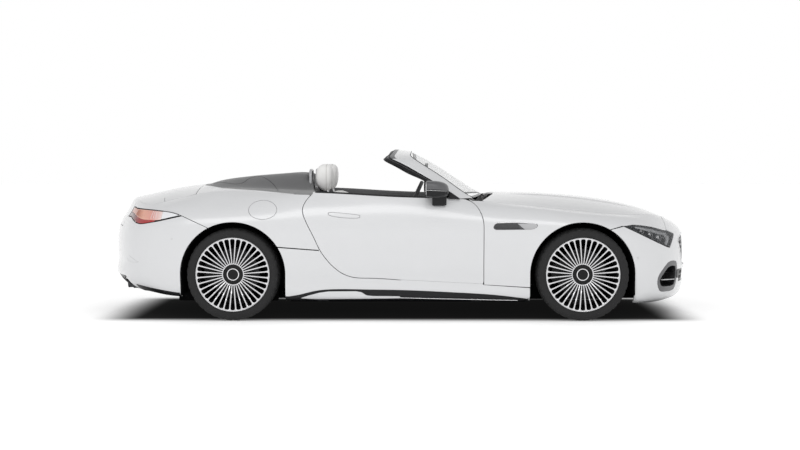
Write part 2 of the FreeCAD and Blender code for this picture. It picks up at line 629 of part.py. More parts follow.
A_R = [(574, 780, 946), (478, 745, 1009), (350, 700, 1100), (221, 655, 1184), (126, 613, 1246), (94, 550, 1272), (90, 430, 1292), (94, 220, 1309), (96, 0, 1314)]
B_R = [(466, 836, 944), (388, 800, 1004), (240, 748, 1096), (99, 700, 1178), (2, 664, 1228), (-58, 618, 1256), (-60, 490, 1290), (-40, 250, 1322), (-25, 0, 1331)]
C_R = [(416, 800, 925), (330, 768, 975), (195, 722, 1074), (66, 672, 1132), (-40, 630, 1190), (-128, 580, 1238), (-112, 470, 1264), (-86, 240, 1298), (-70, 0, 1306)]
D_R = [(520, 700, 925), (430, 672, 985), (300, 632, 1075), (170, 592, 1150), (78, 552, 1205), (36, 500, 1228), (30, 410, 1246), (40, 220, 1268), (44, 0, 1272)]
secs = [[A_R[i], B_R[i], C_R[i], D_R[i]] for i in range(9)]
secs += [[(x, -y, z) for x, y, z in s] for s in reversed(secs[:-1])]


def bar(sections):
    """Closed bar whose four corners run smoothly through the sections."""
    rails = []
    for k in range(4):
        c = Part.BSplineCurve()
        c.interpolate([V(*s[k]) for s in sections])
        rails.append(c.toShape())
    faces = [Part.makeRuledSurface(rails[k], rails[(k + 1) % 4]) for k in range(4)]
    for s in (sections[0], sections[-1]):
        faces.append(Part.makeRuledSurface(Part.LineSegment(V(*s[0]), V(*s[1])).toShape(), Part.LineSegment(V(*s[3]), V(*s[2])).toShape()))
    sh = Part.makeShell(faces)
    sh.sewShape()
    if sh.ShapeType != "Shell":
        sh = sh.Shells[0]
    so = Part.Solid(sh)
    if so.Volume < 0:
        so.reverse()
    return so


frame_ws = bar(secs)
# the pillar's foot stands clear above the door's top
over_door = prism("xz", [offset_line(DOOR_FRONT[:-1] + [(440, 965)], -G - 0.5), (380, 1100), (300, 1100), (300, 285)], 500, 1100).common(side_slab(30.5, 38, 12, 20, 130, nv=8, lift=5))
over_door = over_door.fuse(prism("xz", [(300, 285), (300, 964), (513, 956), (517, 940), (519, 900), (519, 285)], 700, 1000))
frame_ws = frame_ws.cut(over_door).cut(mirror(over_door))
frame_ws = max(frame_ws.Solids, key=lambda s: s.Volume)

# ---------------------------------------------------------------- scuttle below the windscreen
def cowl_z(x, y):
    return bonnet_z(max(x, 655), y) - 30 - 0.10 * max(0.0, 700 - x)


cowl = height_slab(lambda x, y: cowl_z(x, y), 540, 800, -735, 735, 14, nx=8, ny=15)
cw_f = [(bonnet_rear(y) - 9, y) for y in span(-690, 690, 9)]
cw_r = [(glass_pt(y / 780.0, 0.0)[0] - 40, y) for y in span(690, -690, 9)]
cowl = cowl.common(prism("xy", [cw_f, cw_r], 500, 1100))
cowl = cowl.cut(frame_ws)
cowl = max(cowl.Solids, key=lambda s: s.Volume)

# ---------------------------------------------------------------- tub: floor, bulkheads, tunnel and inner sills
tub = box(-760, 715, -738, 738, 150, 182)
tub = fuse(tub, box(690, 715, -738, 738, 150, 800), box(-760, -725, -738, 738, 150, 900), box(-740, 700, -105, 105, 170, 400),
           box(-740, 700, 690, 738, 170, 318), box(-740, 700, -738, -690, 170, 318))
chassis_low = box(-2120, 1960, -430, 430, 128, 146)

# ---------------------------------------------------------------- wheels
def tyre(yc, w):
    hw = w / 2.0
    pts = [(yc - hw + 26, 278), (yc - hw + 4, 292), (yc - hw, 318), (yc - hw + 6, 338), (yc - hw + 24, R_TYRE - 5), (yc - hw + 46, R_TYRE)]
    pts += [(2 * yc - y, r) for y, r in reversed(pts)]
    w_ = wire_of([[(0, y, r) for y, r in pts[:6]], [(0, y, r) for y, r in pts[6:]]])
    return Part.Face(w_).revolve(V(0, 0, 0), V(0, 1, 0), 360)


N_SPOKES = 36
R_RIM = 289.0


def rim(yc, w):
    """Barrel, hub and a dish of pierced web that carries the spokes; outer face at +Y."""
    hw = w / 2.0
    out = yc + hw
    prof = [(0, out - 6, R_RIM - 8), (0, out - 2, R_RIM - 12), (0, out - 8, R_RIM - 26), (0, out - 60, R_RIM - 34), (0, yc - hw + 30, R_RIM - 34), (0, yc - hw + 22, R_RIM - 12), (0, yc - hw + 14, R_RIM - 11.7),
            (0, yc - hw + 22, R_RIM - 26), (0, yc - hw + 34, R_RIM - 41.5), (0, out - 64, R_RIM - 41.5), (0, out - 22, R_RIM - 34), (0, out - 22, R_RIM - 8)]
    prof = [(0, out - 3, R_RIM - 12), (0, out - 10, R_RIM - 34), (0, out - 30, R_RIM - 42), (0, yc - hw + 40, R_RIM - 42), (0, yc - hw + 8, R_RIM - 22), (0, yc - hw + 6, R_RIM - 12),
            (0, yc - hw + 26, R_RIM - 12), (0, yc - hw + 44, R_RIM - 32), (0, out - 44, R_RIM - 32), (0, out - 26, R_RIM - 12)]
    barrel = Part.Face(Part.makePolygon([V(*p) for p in prof] + [V(*prof[0])])).revolve(V(0, 0, 0), V(0, 1, 0), 360)
    web = [(0, out - 8, R_RIM - 30), (0, out - 20, 150), (0, out - 34, 74), (0, out - 34, 0), (0, out - 62, 0), (0, out - 62, 80), (0, out - 44, 150), (0, out - 26, R_RIM - 38)]
    disc = Part.Face(Part.makePolygon([V(*p) for p in web] + [V(*web[0])])).revolve(V(0, 0, 0), V(0, 1, 0), 360)
    slots = []
    for i in range(N_SPOKES):
        a = 2 * math.pi * i / N_SPOKES
        r0, r1, h0, h1 = 92.0, R_RIM - 44, 4.2, 15.5
        q = []
        for r, h in ((r0, -h0), (r1, -h1), (r1, h1), (r0, h0)):
            q.append((r * math.cos(a) - h * math.sin(a), out - 90, r * math.sin(a) + h * math.cos(a)))
        slots.append(Part.Face(Part.makePolygon([V(*p) for p in q] + [V(*q[0])])).extrude(V(0, 120, 0)))
    disc = disc.cut(Part.makeCompound(slots))
    hub = cyl(80, (0, out - 60, 0), (0, 1, 0), 22).fuse(cyl(75, (0, out - 150, 0), (0, 1, 0), 100))
    rotor = cyl(195, (0, out - 165, 0), (0, 1, 0), 32).cut(cyl(60, (0, out - 180, 0), (0, 1, 0), 20))
    return fuse(barrel, disc, hub, rotor)


def place(s, x):
    s = s.copy()
    s.translate(V(x, 0, R_TYRE))
    return s


TRACK_F, TRACK_R = 1605.0, 1585.0
W_F, W_R = 275.0, 305.0
wheels = {}
for tag, xa, tr, w in (("front", X_FRONT_AXLE, TRACK_F, W_F), ("rear", X_REAR_AXLE, TRACK_R, W_R)):
    t, r = tyre(tr / 2, w), rim(tr / 2, w - 14)
    wheels["tyre_%s_left" % tag] = place(t, xa)
    wheels["rim_%s_left" % tag] = place(r, xa)
    wheels["tyre_%s_right" % tag] = mirror(place(t, xa))
    wheels["rim_%s_right" % tag] = mirror(place(r, xa))

# ---------------------------------------------------------------- grille panels, set back in their openings
def inset_poly(pts, d):
    cx = sum(p[0] for p in pts) / len(pts)
    cy = sum(p[1] for p in pts) / len(pts)
    out = []
    for x, y in pts:
        m = math.hypot(x - cx, y - cy)
        out.append((x - (x - cx) / m * d, y - (y - cy) / m * d))
    return out


gp = side_slab(-7, 7, 5, 16, 12, step_u=1.0, lift=-26).common(prism("yz", inset_poly(grille_out, 7), 1900, 2500))
gl = side_slab(-7, 7, 1, 9, 12, step_u=1.0, lift=-26).common(prism("yz", inset_poly(LOWER, 7), 1800, 2500))
gi = side_slab(5, 15, 1.0, 11, 12, step_u=1.0, lift=-30).common(prism("yz", inset_poly(INTAKE, 8), 1800, 2500))
gi = max(gi.Solids, key=lambda s: s.Volume)
grille = Part.makeCompound([max(gp.Solids, key=lambda s: s.Volume), max(gl.Solids, key=lambda s: s.Volume), gi, mirror(gi)])

# ---------------------------------------------------------------- rear valance and exhaust
TIPS = [(488, 262), (592, 266)]
valance = side_slab(62, 98, 0.0, 6.0, 12, step_u=1.2, lift=-5).common(prism("yz", [(-636, 325), (636, 325), (690, 150), (-690, 150)], -2500, -1800))
valance = max(valance.Solids, key=lambda s: s.Volume)
for y, z in TIPS:
    for q in (y, -y):
        valance = valance.cut(cyl(49, (-2500, q, z), (1, 0, 0), 900))
silencer = box(-2120, -1840, -420, 420, 212, 338)
silencer = silencer.makeFillet(40, [e for e in silencer.Edges if abs(e.Curve.Direction.y) > 0.9])
ex = silencer
for y, z in TIPS:
    for q in (y, -y):
        s = 1 if q > 0 else -1
        xt = -2165 + (y - 488) * 0.6
        ex = ex.fuse(cyl(41, (xt, q, z), (1, 0, 0), 130).cut(cyl(36, (xt - 20, q, z), (1, 0, 0), 90)))
        ex = ex.fuse(tube([(-2055 + (y - 488) * 0.35, q, z), (-2020, q, z), (-1980, s * 400, 262)], 26))
ex = ex.fuse(tube([(-1850, 60, 262), (-1700, 60, 262), (-1560, 60, 235)], 28)).fuse(tube([(-1850, -60, 262), (-1700, -60, 262), (-1560, -60, 235)], 28))
exhaust = max(ex.Solids, key=lambda s: s.Volume) if len(ex.Solids) > 1 else ex

# ---------------------------------------------------------------- under the bonnet and the boot
engine = box(860, 1300, -290, 290, 262, 790).fuse(box(1300, 1500, -250, 250, 262, 720))
boot_tub = box(-2060, -1640, -545, 545, 452, 832).cut(box(-2052, -1648, -537, 537, 460, 1000))

# ---------------------------------------------------------------- wheel liners
def liner(xa, y0, y1):
    out = cyl(405, (xa, y0, R_TYRE), (0, 1, 0), y1 - y0).fuse(box(xa - 405, xa + 405, y0, y1, 196, R_TYRE))
    inn = cyl(400, (xa, y0 + 6, R_TYRE), (0, 1, 0), y1).fuse(box(xa - 400, xa + 400, y0 + 6, y1 + 300, 100, R_TYRE))
    s = out.cut(inn).cut(box(xa - 500, xa + 500, 0, 1000, -100, 196))
    # open towards the suspension
    s = s.cut(box(xa - 150, xa + 150, y0 - 5, y0 + 8, 100, 660))
    s = s.cut(box(xa - 380, xa + 380, y0 - 5, y0 + 8, 100, 250))
    return max(s.Solids, key=lambda q: q.Volume)


lf = liner(X_FRONT_AXLE, 462, 900)
lr = liner(X_REAR_AXLE, 606, 905)
front_liners = Part.makeCompound([lf, mirror(lf)])
rear_liners = Part.makeCompound([lr, mirror(lr)])

# ---------------------------------------------------------------- carriers, calipers and suspension
def carrier(xa, tr, w):
    out = tr / 2 + (w - 14) / 2
    yr = out - 165.0            # inner face of the brake rotor
    s = fuse(cyl(62, (xa, yr - 78, R_TYRE), (0, 1, 0), 73), box(xa - 22, xa + 22, yr - 78, yr - 33, R_TYRE - 195, R_TYRE + 200))
    cal = cyl(233, (xa, yr - 22, R_TYRE), (0, 1, 0), 78).cut(cyl(128, (xa, yr - 60, R_TYRE), (0, 1, 0), 200))
    cal = cal.cut(cyl(201, (xa, yr - 5, R_TYRE), (0, 1, 0), 42))
    wedge = prism("xz", [(xa, R_TYRE), (xa - 400, R_TYRE + 150), (xa - 400, R_TYRE - 150)], yr - 100, yr + 200)
    cal = cal.common(wedge)
    arm = box(xa - 170, xa, yr - 50, yr - 22.0, R_TYRE - 28, R_TYRE + 28)
    return s.fuse(cal).fuse(arm)


kn = carrier(X_FRONT_AXLE, TRACK_F, W_F)
kn = max(kn.Solids, key=lambda s: s.Volume) if kn.Solids else kn
xf = X_FRONT_AXLE
fs = fuse(box(xf - 80, xf + 80, -300, 300, 180, 240), tube([(xf - 60, 280, 212), (xf, 640, 222)], 19), tube([(xf + 60, 280, 212), (xf, 640, 222)], 19),
          tube([(xf - 60, -280, 212), (xf, -640, 222)], 19), tube([(xf + 60, -280, 212), (xf, -640, 222)], 19),
          tube([(xf, 640, 222), (xf, 676, 222)], 19), tube([(xf, -640, 222), (xf, -676, 222)], 19),
          tube([(xf, 570, 225), (xf, 540, 690)], 27), tube([(xf, -570, 225), (xf, -540, 690)], 27),
          tube([(xf, 535, 520), (xf, 676, 530)], 15), tube([(xf, -535, 520), (xf, -676, 530)], 15))
kr = carrier(X_REAR_AXLE, TRACK_R, W_R)
xr = X_REAR_AXLE
yk = TRACK_R / 2 + (W_R - 14) / 2 - 165.0 - 78
rs = fuse(box(xr - 90, xr + 90, -330, 330, 190, 260), kr, mirror(kr),
          tube([(xr - 60, 310, 225), (xr, yk + 20, 225)], 20), tube([(xr + 60, 310, 225), (xr, yk + 20, 225)], 20),
          tube([(xr - 60, -310, 225), (xr, -yk - 20, 225)], 20), tube([(xr + 60, -310, 225), (xr, -yk - 20, 225)], 20),
          tube([(xr, 310, 250), (xr, yk + 20, 358)], 24), tube([(xr, -310, 250), (xr, -yk - 20, 358)], 24),
          tube([(xr, yk - 112, 236), (xr, yk - 130, 640)], 27), tube([(xr, -yk + 112, 236), (xr, -yk + 130, 640)], 27),
          tube([(xr, yk - 125, 530), (xr, yk + 20, 535)], 16), tube([(xr, -yk + 125, 530), (xr, -yk - 20, 535)], 16))

# ---------------------------------------------------------------- chassis rails and undertray
rail_f = box(710, 2200, 330, 392, 330, 425)
rail_r = box(-2190, -755, 380, 440, 362, 436)
tub = fuse(tub, rail_f, mirror(rail_f), rail_r, mirror(rail_r), box(2200, 2240, -410, 410, 330, 425), box(-2190, -2152, -480, 480, 362, 436))
for x in (-640, 560):
    for y in (694, -734):
        tub = tub.fuse(box(x, x + 80, y, y + 40, 136, 152))
under = prism("xy", [(-1700, -420), (-1700, 420), (-860, 420), (-860, 684), (990, 684), (990, 400), (2060, 400), (2060, -400), (990, -400), (990, -684), (-860, -684), (-860, -420)], 128, 146)

# ---------------------------------------------------------------- cabin
dash = prism("xz", [[(345, 905), (362, 938), (420, 955), (520, 950), (600, 932), (664, 900)], (668, 760), (560, 640), (440, 600), (392, 640), (352, 780)], -662, 662)
# the dash ends below the scuttle and the wipers' shelf
dash = dash.cut(height_slab(lambda x, y: cowl_z(x, y) + 60, 535, 800, -735, 735, 82, nx=8, ny=15))
dash = max(dash.Solids, key=lambda s: s.Volume)
console = prism("xz", [(-560, 402), (300, 402), (345, 560), (395, 640), (340, 700), (270, 640), (200, 560), (60, 535), (-540, 545), (-575, 500)], -98, 98).cut(dash)
console = max(console.Solids, key=lambda s: s.Volume)


def seat(yc):
    base = box(-370, 30, yc - 215, yc + 215, 183, 330)
    cush = prism("xz", [(-400, 330), (60, 345), [(60, 345), (108, 430), (108, 520), (70, 560), (0, 566), (-200, 535), (-400, 500)]], yc - 258, yc + 258)
    back = prism("xz", [[(-330, 500), (-296, 600), (-380, 880), (-450, 1010), (-500, 1080), (-506, 1150), (-515, 1196), (-545, 1222), (-590, 1226), (-632, 1206), (-656, 1150), (-652, 1060), (-618, 940), (-570, 760), (-500, 560), (-470, 480)], (-400, 470)], yc - 270, yc + 270)
    front = prism("yz", [(yc - 262, 460), [(yc - 262, 460), (yc - 268, 700), (yc - 262, 880), (yc - 225, 985), (yc - 160, 1050), (yc - 146, 1120), (yc - 138, 1190), (yc - 90, 1226)],
                         [(yc + 90, 1226), (yc + 138, 1190), (yc + 146, 1120), (yc + 160, 1050), (yc + 225, 985), (yc + 262, 880), (yc + 268, 700), (yc + 262, 460)]], -900, 0)
    return fuse(base, cush, back.common(front))


seat_l = seat(370)
hoops = []
for yc in (370, -370):
    h = tube([(-712, yc - 112, 1060), (-712, yc - 112, 1120), (-712, yc - 80, 1160), (-712, yc + 80, 1160), (-712, yc + 112, 1120), (-712, yc + 112, 1060)], 12)
    h = h.cut(tonneau)
    hoops.append(max(h.Solids, key=lambda s: s.CenterOfMass.z))
SW_C = (112.0, 370.0, 895.0)
AX = (-math.cos(math.radians(25)), 0.0, math.sin(math.radians(25)))
tor = Part.makeTorus(172, 15, V(*SW_C), V(*AX))
hub = cyl(62, [SW_C[k] - 42 * AX[k] for k in range(3)], AX, 34)
spk = [tube([tuple(SW_C[k] - (25 * AX[k]) for k in range(3)), (SW_C[0] + 168 * math.sin(a) * math.sin(math.radians(25)), SW_C[1] + 168 * math.cos(a), SW_C[2] + 168 * math.sin(a) * math.cos(math.radians(25)))], 11) for a in (0.0, math.pi, -math.pi / 2)]
steer = fuse(tor, hub, *spk)
col0 = [SW_C[k] - 49 * AX[k] for k in range(3)]
column = cyl(46, col0, [-c for c in AX], 330).cut(dash)
column = min(column.Solids, key=lambda s: s.CenterOfMass.x)
wip = []
for yp, yq in ((520, 20), (-60, -560)):
    pa, pb, pc = (724 - 60 * (yp / 700.0) ** 2, yp), (706 - 60 * ((yp + yq) / 1400.0) ** 2, (yp + yq) / 2), (698 - 60 * (yq / 700.0) ** 2, yq)
    pts = [(x, y, cowl_z(x, y) + 10.5) for x, y in (pa, pb, pc)]
    wip.append(tube(pts, 7))

# ---------------------------------------------------------------- fuel flap on the right
FLAP_C, FLAP_RX, FLAP_RZ = (-1050.0, 858.0), 108.0, 72.0


def ellipse_cut(k):
    e = Part.Ellipse(V(FLAP_C[0], -1200, FLAP_C[1]), FLAP_RX + k, FLAP_RZ + k)
    w = Part.Wire([e.toShape()])
    w.rotate(V(FLAP_C[0], -1200, FLAP_C[1]), V(1, 0, 0), 90)
    return Part.Face(w).extrude(V(0, 700, 0))


quarter_r = mirror(quarter)
flap = quarter_r.common(ellipse_cut(0))
quarter_r = quarter_r.cut(ellipse_cut(5.0))

put("door_left", door_solid)
put("door_right", mirror(door_solid))
put("mirror_left", mirror_solid)
put("mirror_right", mirror(mirror_solid))
put("front_fender_left", fender)
put("front_fender_right", mirror(fender))
put("rear_quarter_left", quarter)
put("rear_quarter_right", quarter_r)
put("fuel_flap", flap)
put("sills", both(sill))
put("front_bumper", nose)
put("grille", grille)
put("headlamps", both(lamp))
put("rear_bumper", tail)
put("tail_lamps", both(tl))
put("rear_valance", valance)
put("exhaust", exhaust)
put("bonnet", bonnet)
put("boot_lid", boot)
put("tonneau_cover", tonneau)
put("windscreen_glass", glass)
put("windscreen_frame", frame_ws)
put("scuttle_panel", cowl)
put("wipers", Part.makeCompound(wip))
put("floor_tub", tub)
put("undertray", under)
put("boot_tub", boot_tub)
put("engine_block", engine)
put("front_wheel_liners", front_liners)
put("rear_wheel_liners", rear_liners)
put("front_suspension", fs)
put("rear_suspension", rs)
put("front_knuckle_left", kn)
put("front_knuckle_right", mirror(kn))
put("dashboard", dash)
put("centre_console", console)
put("seat_left", seat_l)
put("seat_right", mirror(seat_l))
put("roll_hoops", Part.makeCompound(hoops))
put("steering_column", column)
put("steering_wheel", steer)
for k, s in wheels.items():
    put(k, s)

os.makedirs("parts", exist_ok=True)
for name, s in NODES.items():
    if not s.isValid():
        print("not valid:", name)
    s.exportStep("parts/%s.step" % name)
u0 = min(range(0, 400), key=lambda k: abs(side(40 + k * 0.1, 15.5)[0][0] - FLAP_C[0])) * 0.1 + 40
v0 = min(range(0, 100), key=lambda k: abs(side(u0, 12 + k * 0.06)[0][2] - FLAP_C[1])) * 0.06 + 12
print(len(NODES), "nodes; fuel flap centre and normal (left side):", side(u0, v0), "at", u0, v0)
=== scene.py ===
import math

import bmesh
import bpy
import numpy as np
from mathutils import Matrix, Vector
from mathutils.geometry import delaunay_2d_cdt


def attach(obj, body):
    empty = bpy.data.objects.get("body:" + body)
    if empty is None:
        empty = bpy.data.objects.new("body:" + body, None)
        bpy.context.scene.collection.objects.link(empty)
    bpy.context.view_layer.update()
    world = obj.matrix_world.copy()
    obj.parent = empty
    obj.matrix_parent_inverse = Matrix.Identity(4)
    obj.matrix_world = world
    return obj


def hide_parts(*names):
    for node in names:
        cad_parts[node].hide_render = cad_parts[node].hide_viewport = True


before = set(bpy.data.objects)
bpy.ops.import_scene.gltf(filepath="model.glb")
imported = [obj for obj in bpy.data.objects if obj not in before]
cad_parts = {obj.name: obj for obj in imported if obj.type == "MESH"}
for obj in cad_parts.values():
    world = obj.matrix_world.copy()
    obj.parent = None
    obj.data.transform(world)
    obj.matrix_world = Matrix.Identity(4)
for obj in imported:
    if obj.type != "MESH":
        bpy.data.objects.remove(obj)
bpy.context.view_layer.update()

# Two-seat roadster, looks. Lengths in the tables are millimetres, and meshes are made in metres.
# ---------------------------------------------------------------- overall sizes (mm)
LENGTH = 4705.0          # bumper to bumper
WHEELBASE = 2700.0
X_FRONT_AXLE = 1417.5
X_REAR_AXLE = X_FRONT_AXLE - WHEELBASE
R_TYRE = 358.0
R_ARCH = 406.0
GAP = 5.0                # shut-line gap

# ---------------------------------------------------------------- small maths
def pchip(xs, ys):
    """Monotone cubic through (xs, ys)."""
    n = len(xs)
    h = [xs[i + 1] - xs[i] for i in range(n - 1)]
    d = [(ys[i + 1] - ys[i]) / h[i] for i in range(n - 1)]
    m = [0.0] * n
    for i in range(1, n - 1):
        if d[i - 1] * d[i] > 0:
            w1, w2 = 2 * h[i] + h[i - 1], h[i] + 2 * h[i - 1]
            m[i] = (w1 + w2) / (w1 / d[i - 1] + w2 / d[i])
    m[0] = d[0]
    m[-1] = d[-1]
    for k, e in ((0, 0), (n - 1, n - 2)):
        if abs(m[k]) > 3 * abs(d[e]):
            m[k] = 3 * d[e]

    def f(x):
        if x <= xs[0]:
            return ys[0] + m[0] * (x - xs[0])
        if x >= xs[-1]:
            return ys[-1] + m[-1] * (x - xs[-1])
        lo, hi = 0, n - 1
        while hi - lo > 1:
            mid = (lo + hi) // 2
            if xs[mid] <= x:
                lo = mid
            else:
                hi = mid
        t = (x - xs[lo]) / h[lo]
        t2, t3 = t * t, t * t * t
        return (
            (2 * t3 - 3 * t2 + 1) * ys[lo]
            + (t3 - 2 * t2 + t) * h[lo] * m[lo]
            + (-2 * t3 + 3 * t2) * ys[lo + 1]
            + (t3 - t2) * h[lo] * m[lo + 1]
        )

    return f


def natural(xs, ys):
    """Natural cubic spline through (xs, ys), straight beyond its ends."""
    n = len(xs)
    h = [xs[i + 1] - xs[i] for i in range(n - 1)]
    a, b, c, d = [0.0] * n, [1.0] * n, [0.0] * n, [0.0] * n
    for i in range(1, n - 1):
        a[i], b[i], c[i] = h[i - 1], 2 * (h[i - 1] + h[i]), h[i]
        d[i] = 6 * ((ys[i + 1] - ys[i]) / h[i] - (ys[i] - ys[i - 1]) / h[i - 1])
    for i in range(1, n):
        w = a[i] / b[i - 1]
        b[i] -= w * c[i - 1]
        d[i] -= w * d[i - 1]
    m = [0.0] * n
    for i in range(n - 2, 0, -1):
        m[i] = (d[i] - c[i] * m[i + 1]) / b[i]

    def f(x):
        x0 = min(max(x, xs[0]), xs[-1])
        lo, hi = 0, n - 1
        while hi - lo > 1:
            mid = (lo + hi) // 2
            if xs[mid] <= x0:
                lo = mid
            else:
                hi = mid
        hh = h[lo]
        A, B = (xs[lo + 1] - x0) / hh, (x0 - xs[lo]) / hh
        y = A * ys[lo] + B * ys[lo + 1] + ((A**3 - A) * m[lo] + (B**3 - B) * m[lo + 1]) * hh * hh / 6
        if x != x0:
            s = (ys[lo + 1] - ys[lo]) / hh + (
                (-(3 * A * A - 1) * m[lo] + (3 * B * B - 1) * m[lo + 1]) * hh / 6
            )
            y += s * (x - x0)
        return y

    return f


# ---------------------------------------------------------------- bonnet and rear deck, as heights over the plan
BONNET_CROWN = natural(
    [500, 700, 886, 1086, 1337, 1537, 1700, 1838, 1938, 2038, 2110, 2170, 2240, 2300],
    [978, 978, 976, 972, 959, 939, 915, 887, 861, 827, 797, 771, 731, 690],
)
BONNET_DROP = natural(
    [500, 640, 880, 1110, 1341, 1571, 1802, 1972, 2100, 2200],
    [38, 46, 66, 85, 96, 97, 83, 58, 34, 20],
)
DECK_CROWN = natural(
    [-2240, -2190, -2140, -2086, -1985, -1833, -1657, -1500, -1300, -1100, -900, -700],
    [930, 938, 946, 957, 981, 1014, 1040, 1052, 1052, 1044, 1032, 1018],
)
DECK_DROP = natural(
    [-2240, -2030, -1895, -1688, -1550, -1436, -1307, -1131, -900, -700],
    [118, 106, 98, 84, 62, 50, 44, 40, 34, 26],
)


def crown(t):
    return 0.75 * t * t + 0.25 * t**4


def bonnet_z(x, y):
    return BONNET_CROWN(x) - BONNET_DROP(x) * crown(abs(y) / 700.0)


def deck_z(x, y):
    return DECK_CROWN(x) - DECK_DROP(x) * crown(abs(y) / 700.0)


# ---------------------------------------------------------------- plan outline at the widest level, left half, nose to tail
PLAN = [
    (2354, 0), (2336, 180), (2296, 330), (2238, 480), (2162, 620), (2062, 750), (1938, 848), (1780, 910),
    (1590, 942), (1417, 950), (1150, 943), (900, 931), (640, 924), (500, 922), (200, 920), (0, 920),
    (-400, 927), (-700, 938), (-1000, 951), (-1283, 957.5), (-1550, 950), (-1780, 925), (-1950, 872),
    (-2070, 792), (-2160, 682), (-2232, 540), (-2288, 380), (-2334, 200), (-2360.5, 0),
]
# sections: plan outline index -> (inward offset, height) from the underside to the top edge
SECTIONS = {
    0: [(120, 122), (45, 150), (12, 250), (3, 360), (0, 470), (3, 570), (16, 645), (55, 697), (100, 728), (140, None), (165, None)],
    4: [(120, 122), (48, 152), (14, 255), (3, 370), (0, 480), (8, 575), (32, 655), (72, 718), (115, 768), (158, None), (190, None)],
    6: [(115, 125), (45, 155), (12, 265), (2, 385), (0, 500), (6, 600), (28, 690), (70, 752), (125, 790), (190, None), (230, None)],
    9: [(110, 150), (40, 180), (15, 290), (5, 420), (0, 560), (0, 670), (14, 755), (56, 802), (120, 832), (210, None), (270, None)],
    11: [(95, 150), (30, 175), (18, 290), (20, 420), (8, 560), (0, 690), (14, 785), (56, 845), (112, 881), (185, None), (240, None)],
    12: [(85, 152), (24, 180), (14, 290), (24, 420), (12, 560), (0, 690), (10, 785), (40, 850), (85, 890), (150, 918), (210, 934)],
    13: [(82, 154), (22, 183), (12, 290), (24, 420), (13, 560), (0, 690), (6, 778), (26, 842), (52, 888), (80, 922), (104, 942)],
    15: [(80, 155), (20, 185), (12, 290), (24, 420), (14, 560), (0, 690), (3, 770), (14, 835), (28, 885), (46, 930), (62, 960)],
    17: [(85, 155), (22, 185), (12, 290), (20, 420), (10, 560), (0, 690), (5, 780), (24, 858), (50, 918), (80, 965), (98, 994)],
    18: [(95, 155), (30, 188), (13, 295), (12, 425), (5, 565), (0, 685), (6, 775), (38, 862), (86, 930), (150, 978), (202, None)],
    19: [(110, 160), (40, 190), (15, 300), (4, 430), (0, 570), (0, 680), (8, 768), (50, 860), (116, 928), (220, None), (292, None)],
    21: [(110, 185), (45, 215), (14, 320), (2, 440), (0, 570), (4, 680), (22, 775), (66, 850), (130, 905), (220, None), (275, None)],
    23: [(125, 214), (62, 248), (12, 340), (8, 425), (4, 520), (4, 640), (20, 728), (58, 792), (98, 836), (145, None), (190, None)],
    25: [(125, 212), (72, 246), (6, 342), (16, 420), (14, 505), (16, 632), (32, 718), (68, 786), (104, 834), (148, 878), (190, 922)],
    28: [(117, 210), (75, 243), (3, 340), (20, 415), (19, 500), (22, 630), (34, 715), (69, 785), (107, 838), (158, 886), (206, 940)],
}


def chord(points):
    s = [0.0]
    for a, b in zip(points, points[1:]):
        s.append(s[-1] + math.dist(a, b))
    return s


_S = chord(PLAN)
# mirrored a little past both centres, so that the outline is square to the centreline there
_ext = [(-_S[2], PLAN[2][0], -PLAN[2][1]), (-_S[1], PLAN[1][0], -PLAN[1][1])]
_ext += [(s, p[0], p[1]) for s, p in zip(_S, PLAN)]
_ext += [(2 * _S[-1] - _S[-2], PLAN[-2][0], -PLAN[-2][1]), (2 * _S[-1] - _S[-3], PLAN[-3][0], -PLAN[-3][1])]
_px = natural([e[0] for e in _ext], [e[1] for e in _ext])
_py = natural([e[0] for e in _ext], [e[2] for e in _ext])
_keys = sorted(SECTIONS)
_off = [pchip([_S[k] for k in _keys], [SECTIONS[k][j][0] for k in _keys]) for j in range(11)]


def plan_at(s):
    e = 1.0
    x, y = _px(s), _py(s)
    tx, ty = _px(s + e) - _px(s - e), _py(s + e) - _py(s - e)
    n = math.hypot(tx, ty)
    return x, y, -ty / n * -1, tx / n * -1  # outward normal: the outline runs nose to tail on the left


def top_z(x, y):
    return bonnet_z(x, y) if x > 0 else deck_z(x, y)


_zk = []
for k in _keys:
    x, y, nx, ny = plan_at(_S[k])
    row = []
    for j, (o, z) in enumerate(SECTIONS[k]):
        if z is None:
            z = top_z(x - nx * o, y - ny * o)
            if j == 9:
                z -= 2.0
        row.append(z)
    _zk.append(row)
_hz = [pchip([_S[k] for k in _keys], [r[j] for r in _zk]) for j in range(11)]
N_ST = 80
N_LV = 20


def station_s(i):
    return _S[-1] * i / N_ST


def _poles():
    rows = []
    for i in range(N_ST + 1):
        s = station_s(i)
        x, y, nx, ny = plan_at(s)
        if i in (0, N_ST):
            y, nx, ny = 0.0, (1.0 if i == 0 else -1.0), 0.0
        pts = []
        for j in range(11):
            o, z = _off[j](s), _hz[j](s)
            px, py = x - nx * o, y - ny * o
            if j >= 9:
                # the top rows lie on the bonnet or deck where it is there
                w = 1.0 if (s < _S[11] or s > _S[19]) else 0.0
                if _S[11] <= s < _S[12]:
                    w = (_S[12] - s) / (_S[12] - _S[11])
                if _S[18] < s <= _S[19]:
                    w = (s - _S[18]) / (_S[19] - _S[18])
                w = w * w * (3 - 2 * w)
                zt = top_z(px, py) - (2.0 if j == 9 else 0.0)
                z = z * (1 - w) + zt * w
            pts.append((px, py, z))
        t = [0.0]
        for a, b in zip(pts, pts[1:]):
            t.append(t[-1] + math.dist(a, b))
        f = [natural(t, [p[c] for p in pts]) for c in range(3)]
        fine = []
        for j in range(N_LV + 1):
            q = t[j // 2] if j % 2 == 0 else (t[j // 2] + t[j // 2 + 1]) / 2
            fine.append(tuple(g(q) for g in f))
        rows.append(fine)
    return rows


POLES = _poles()


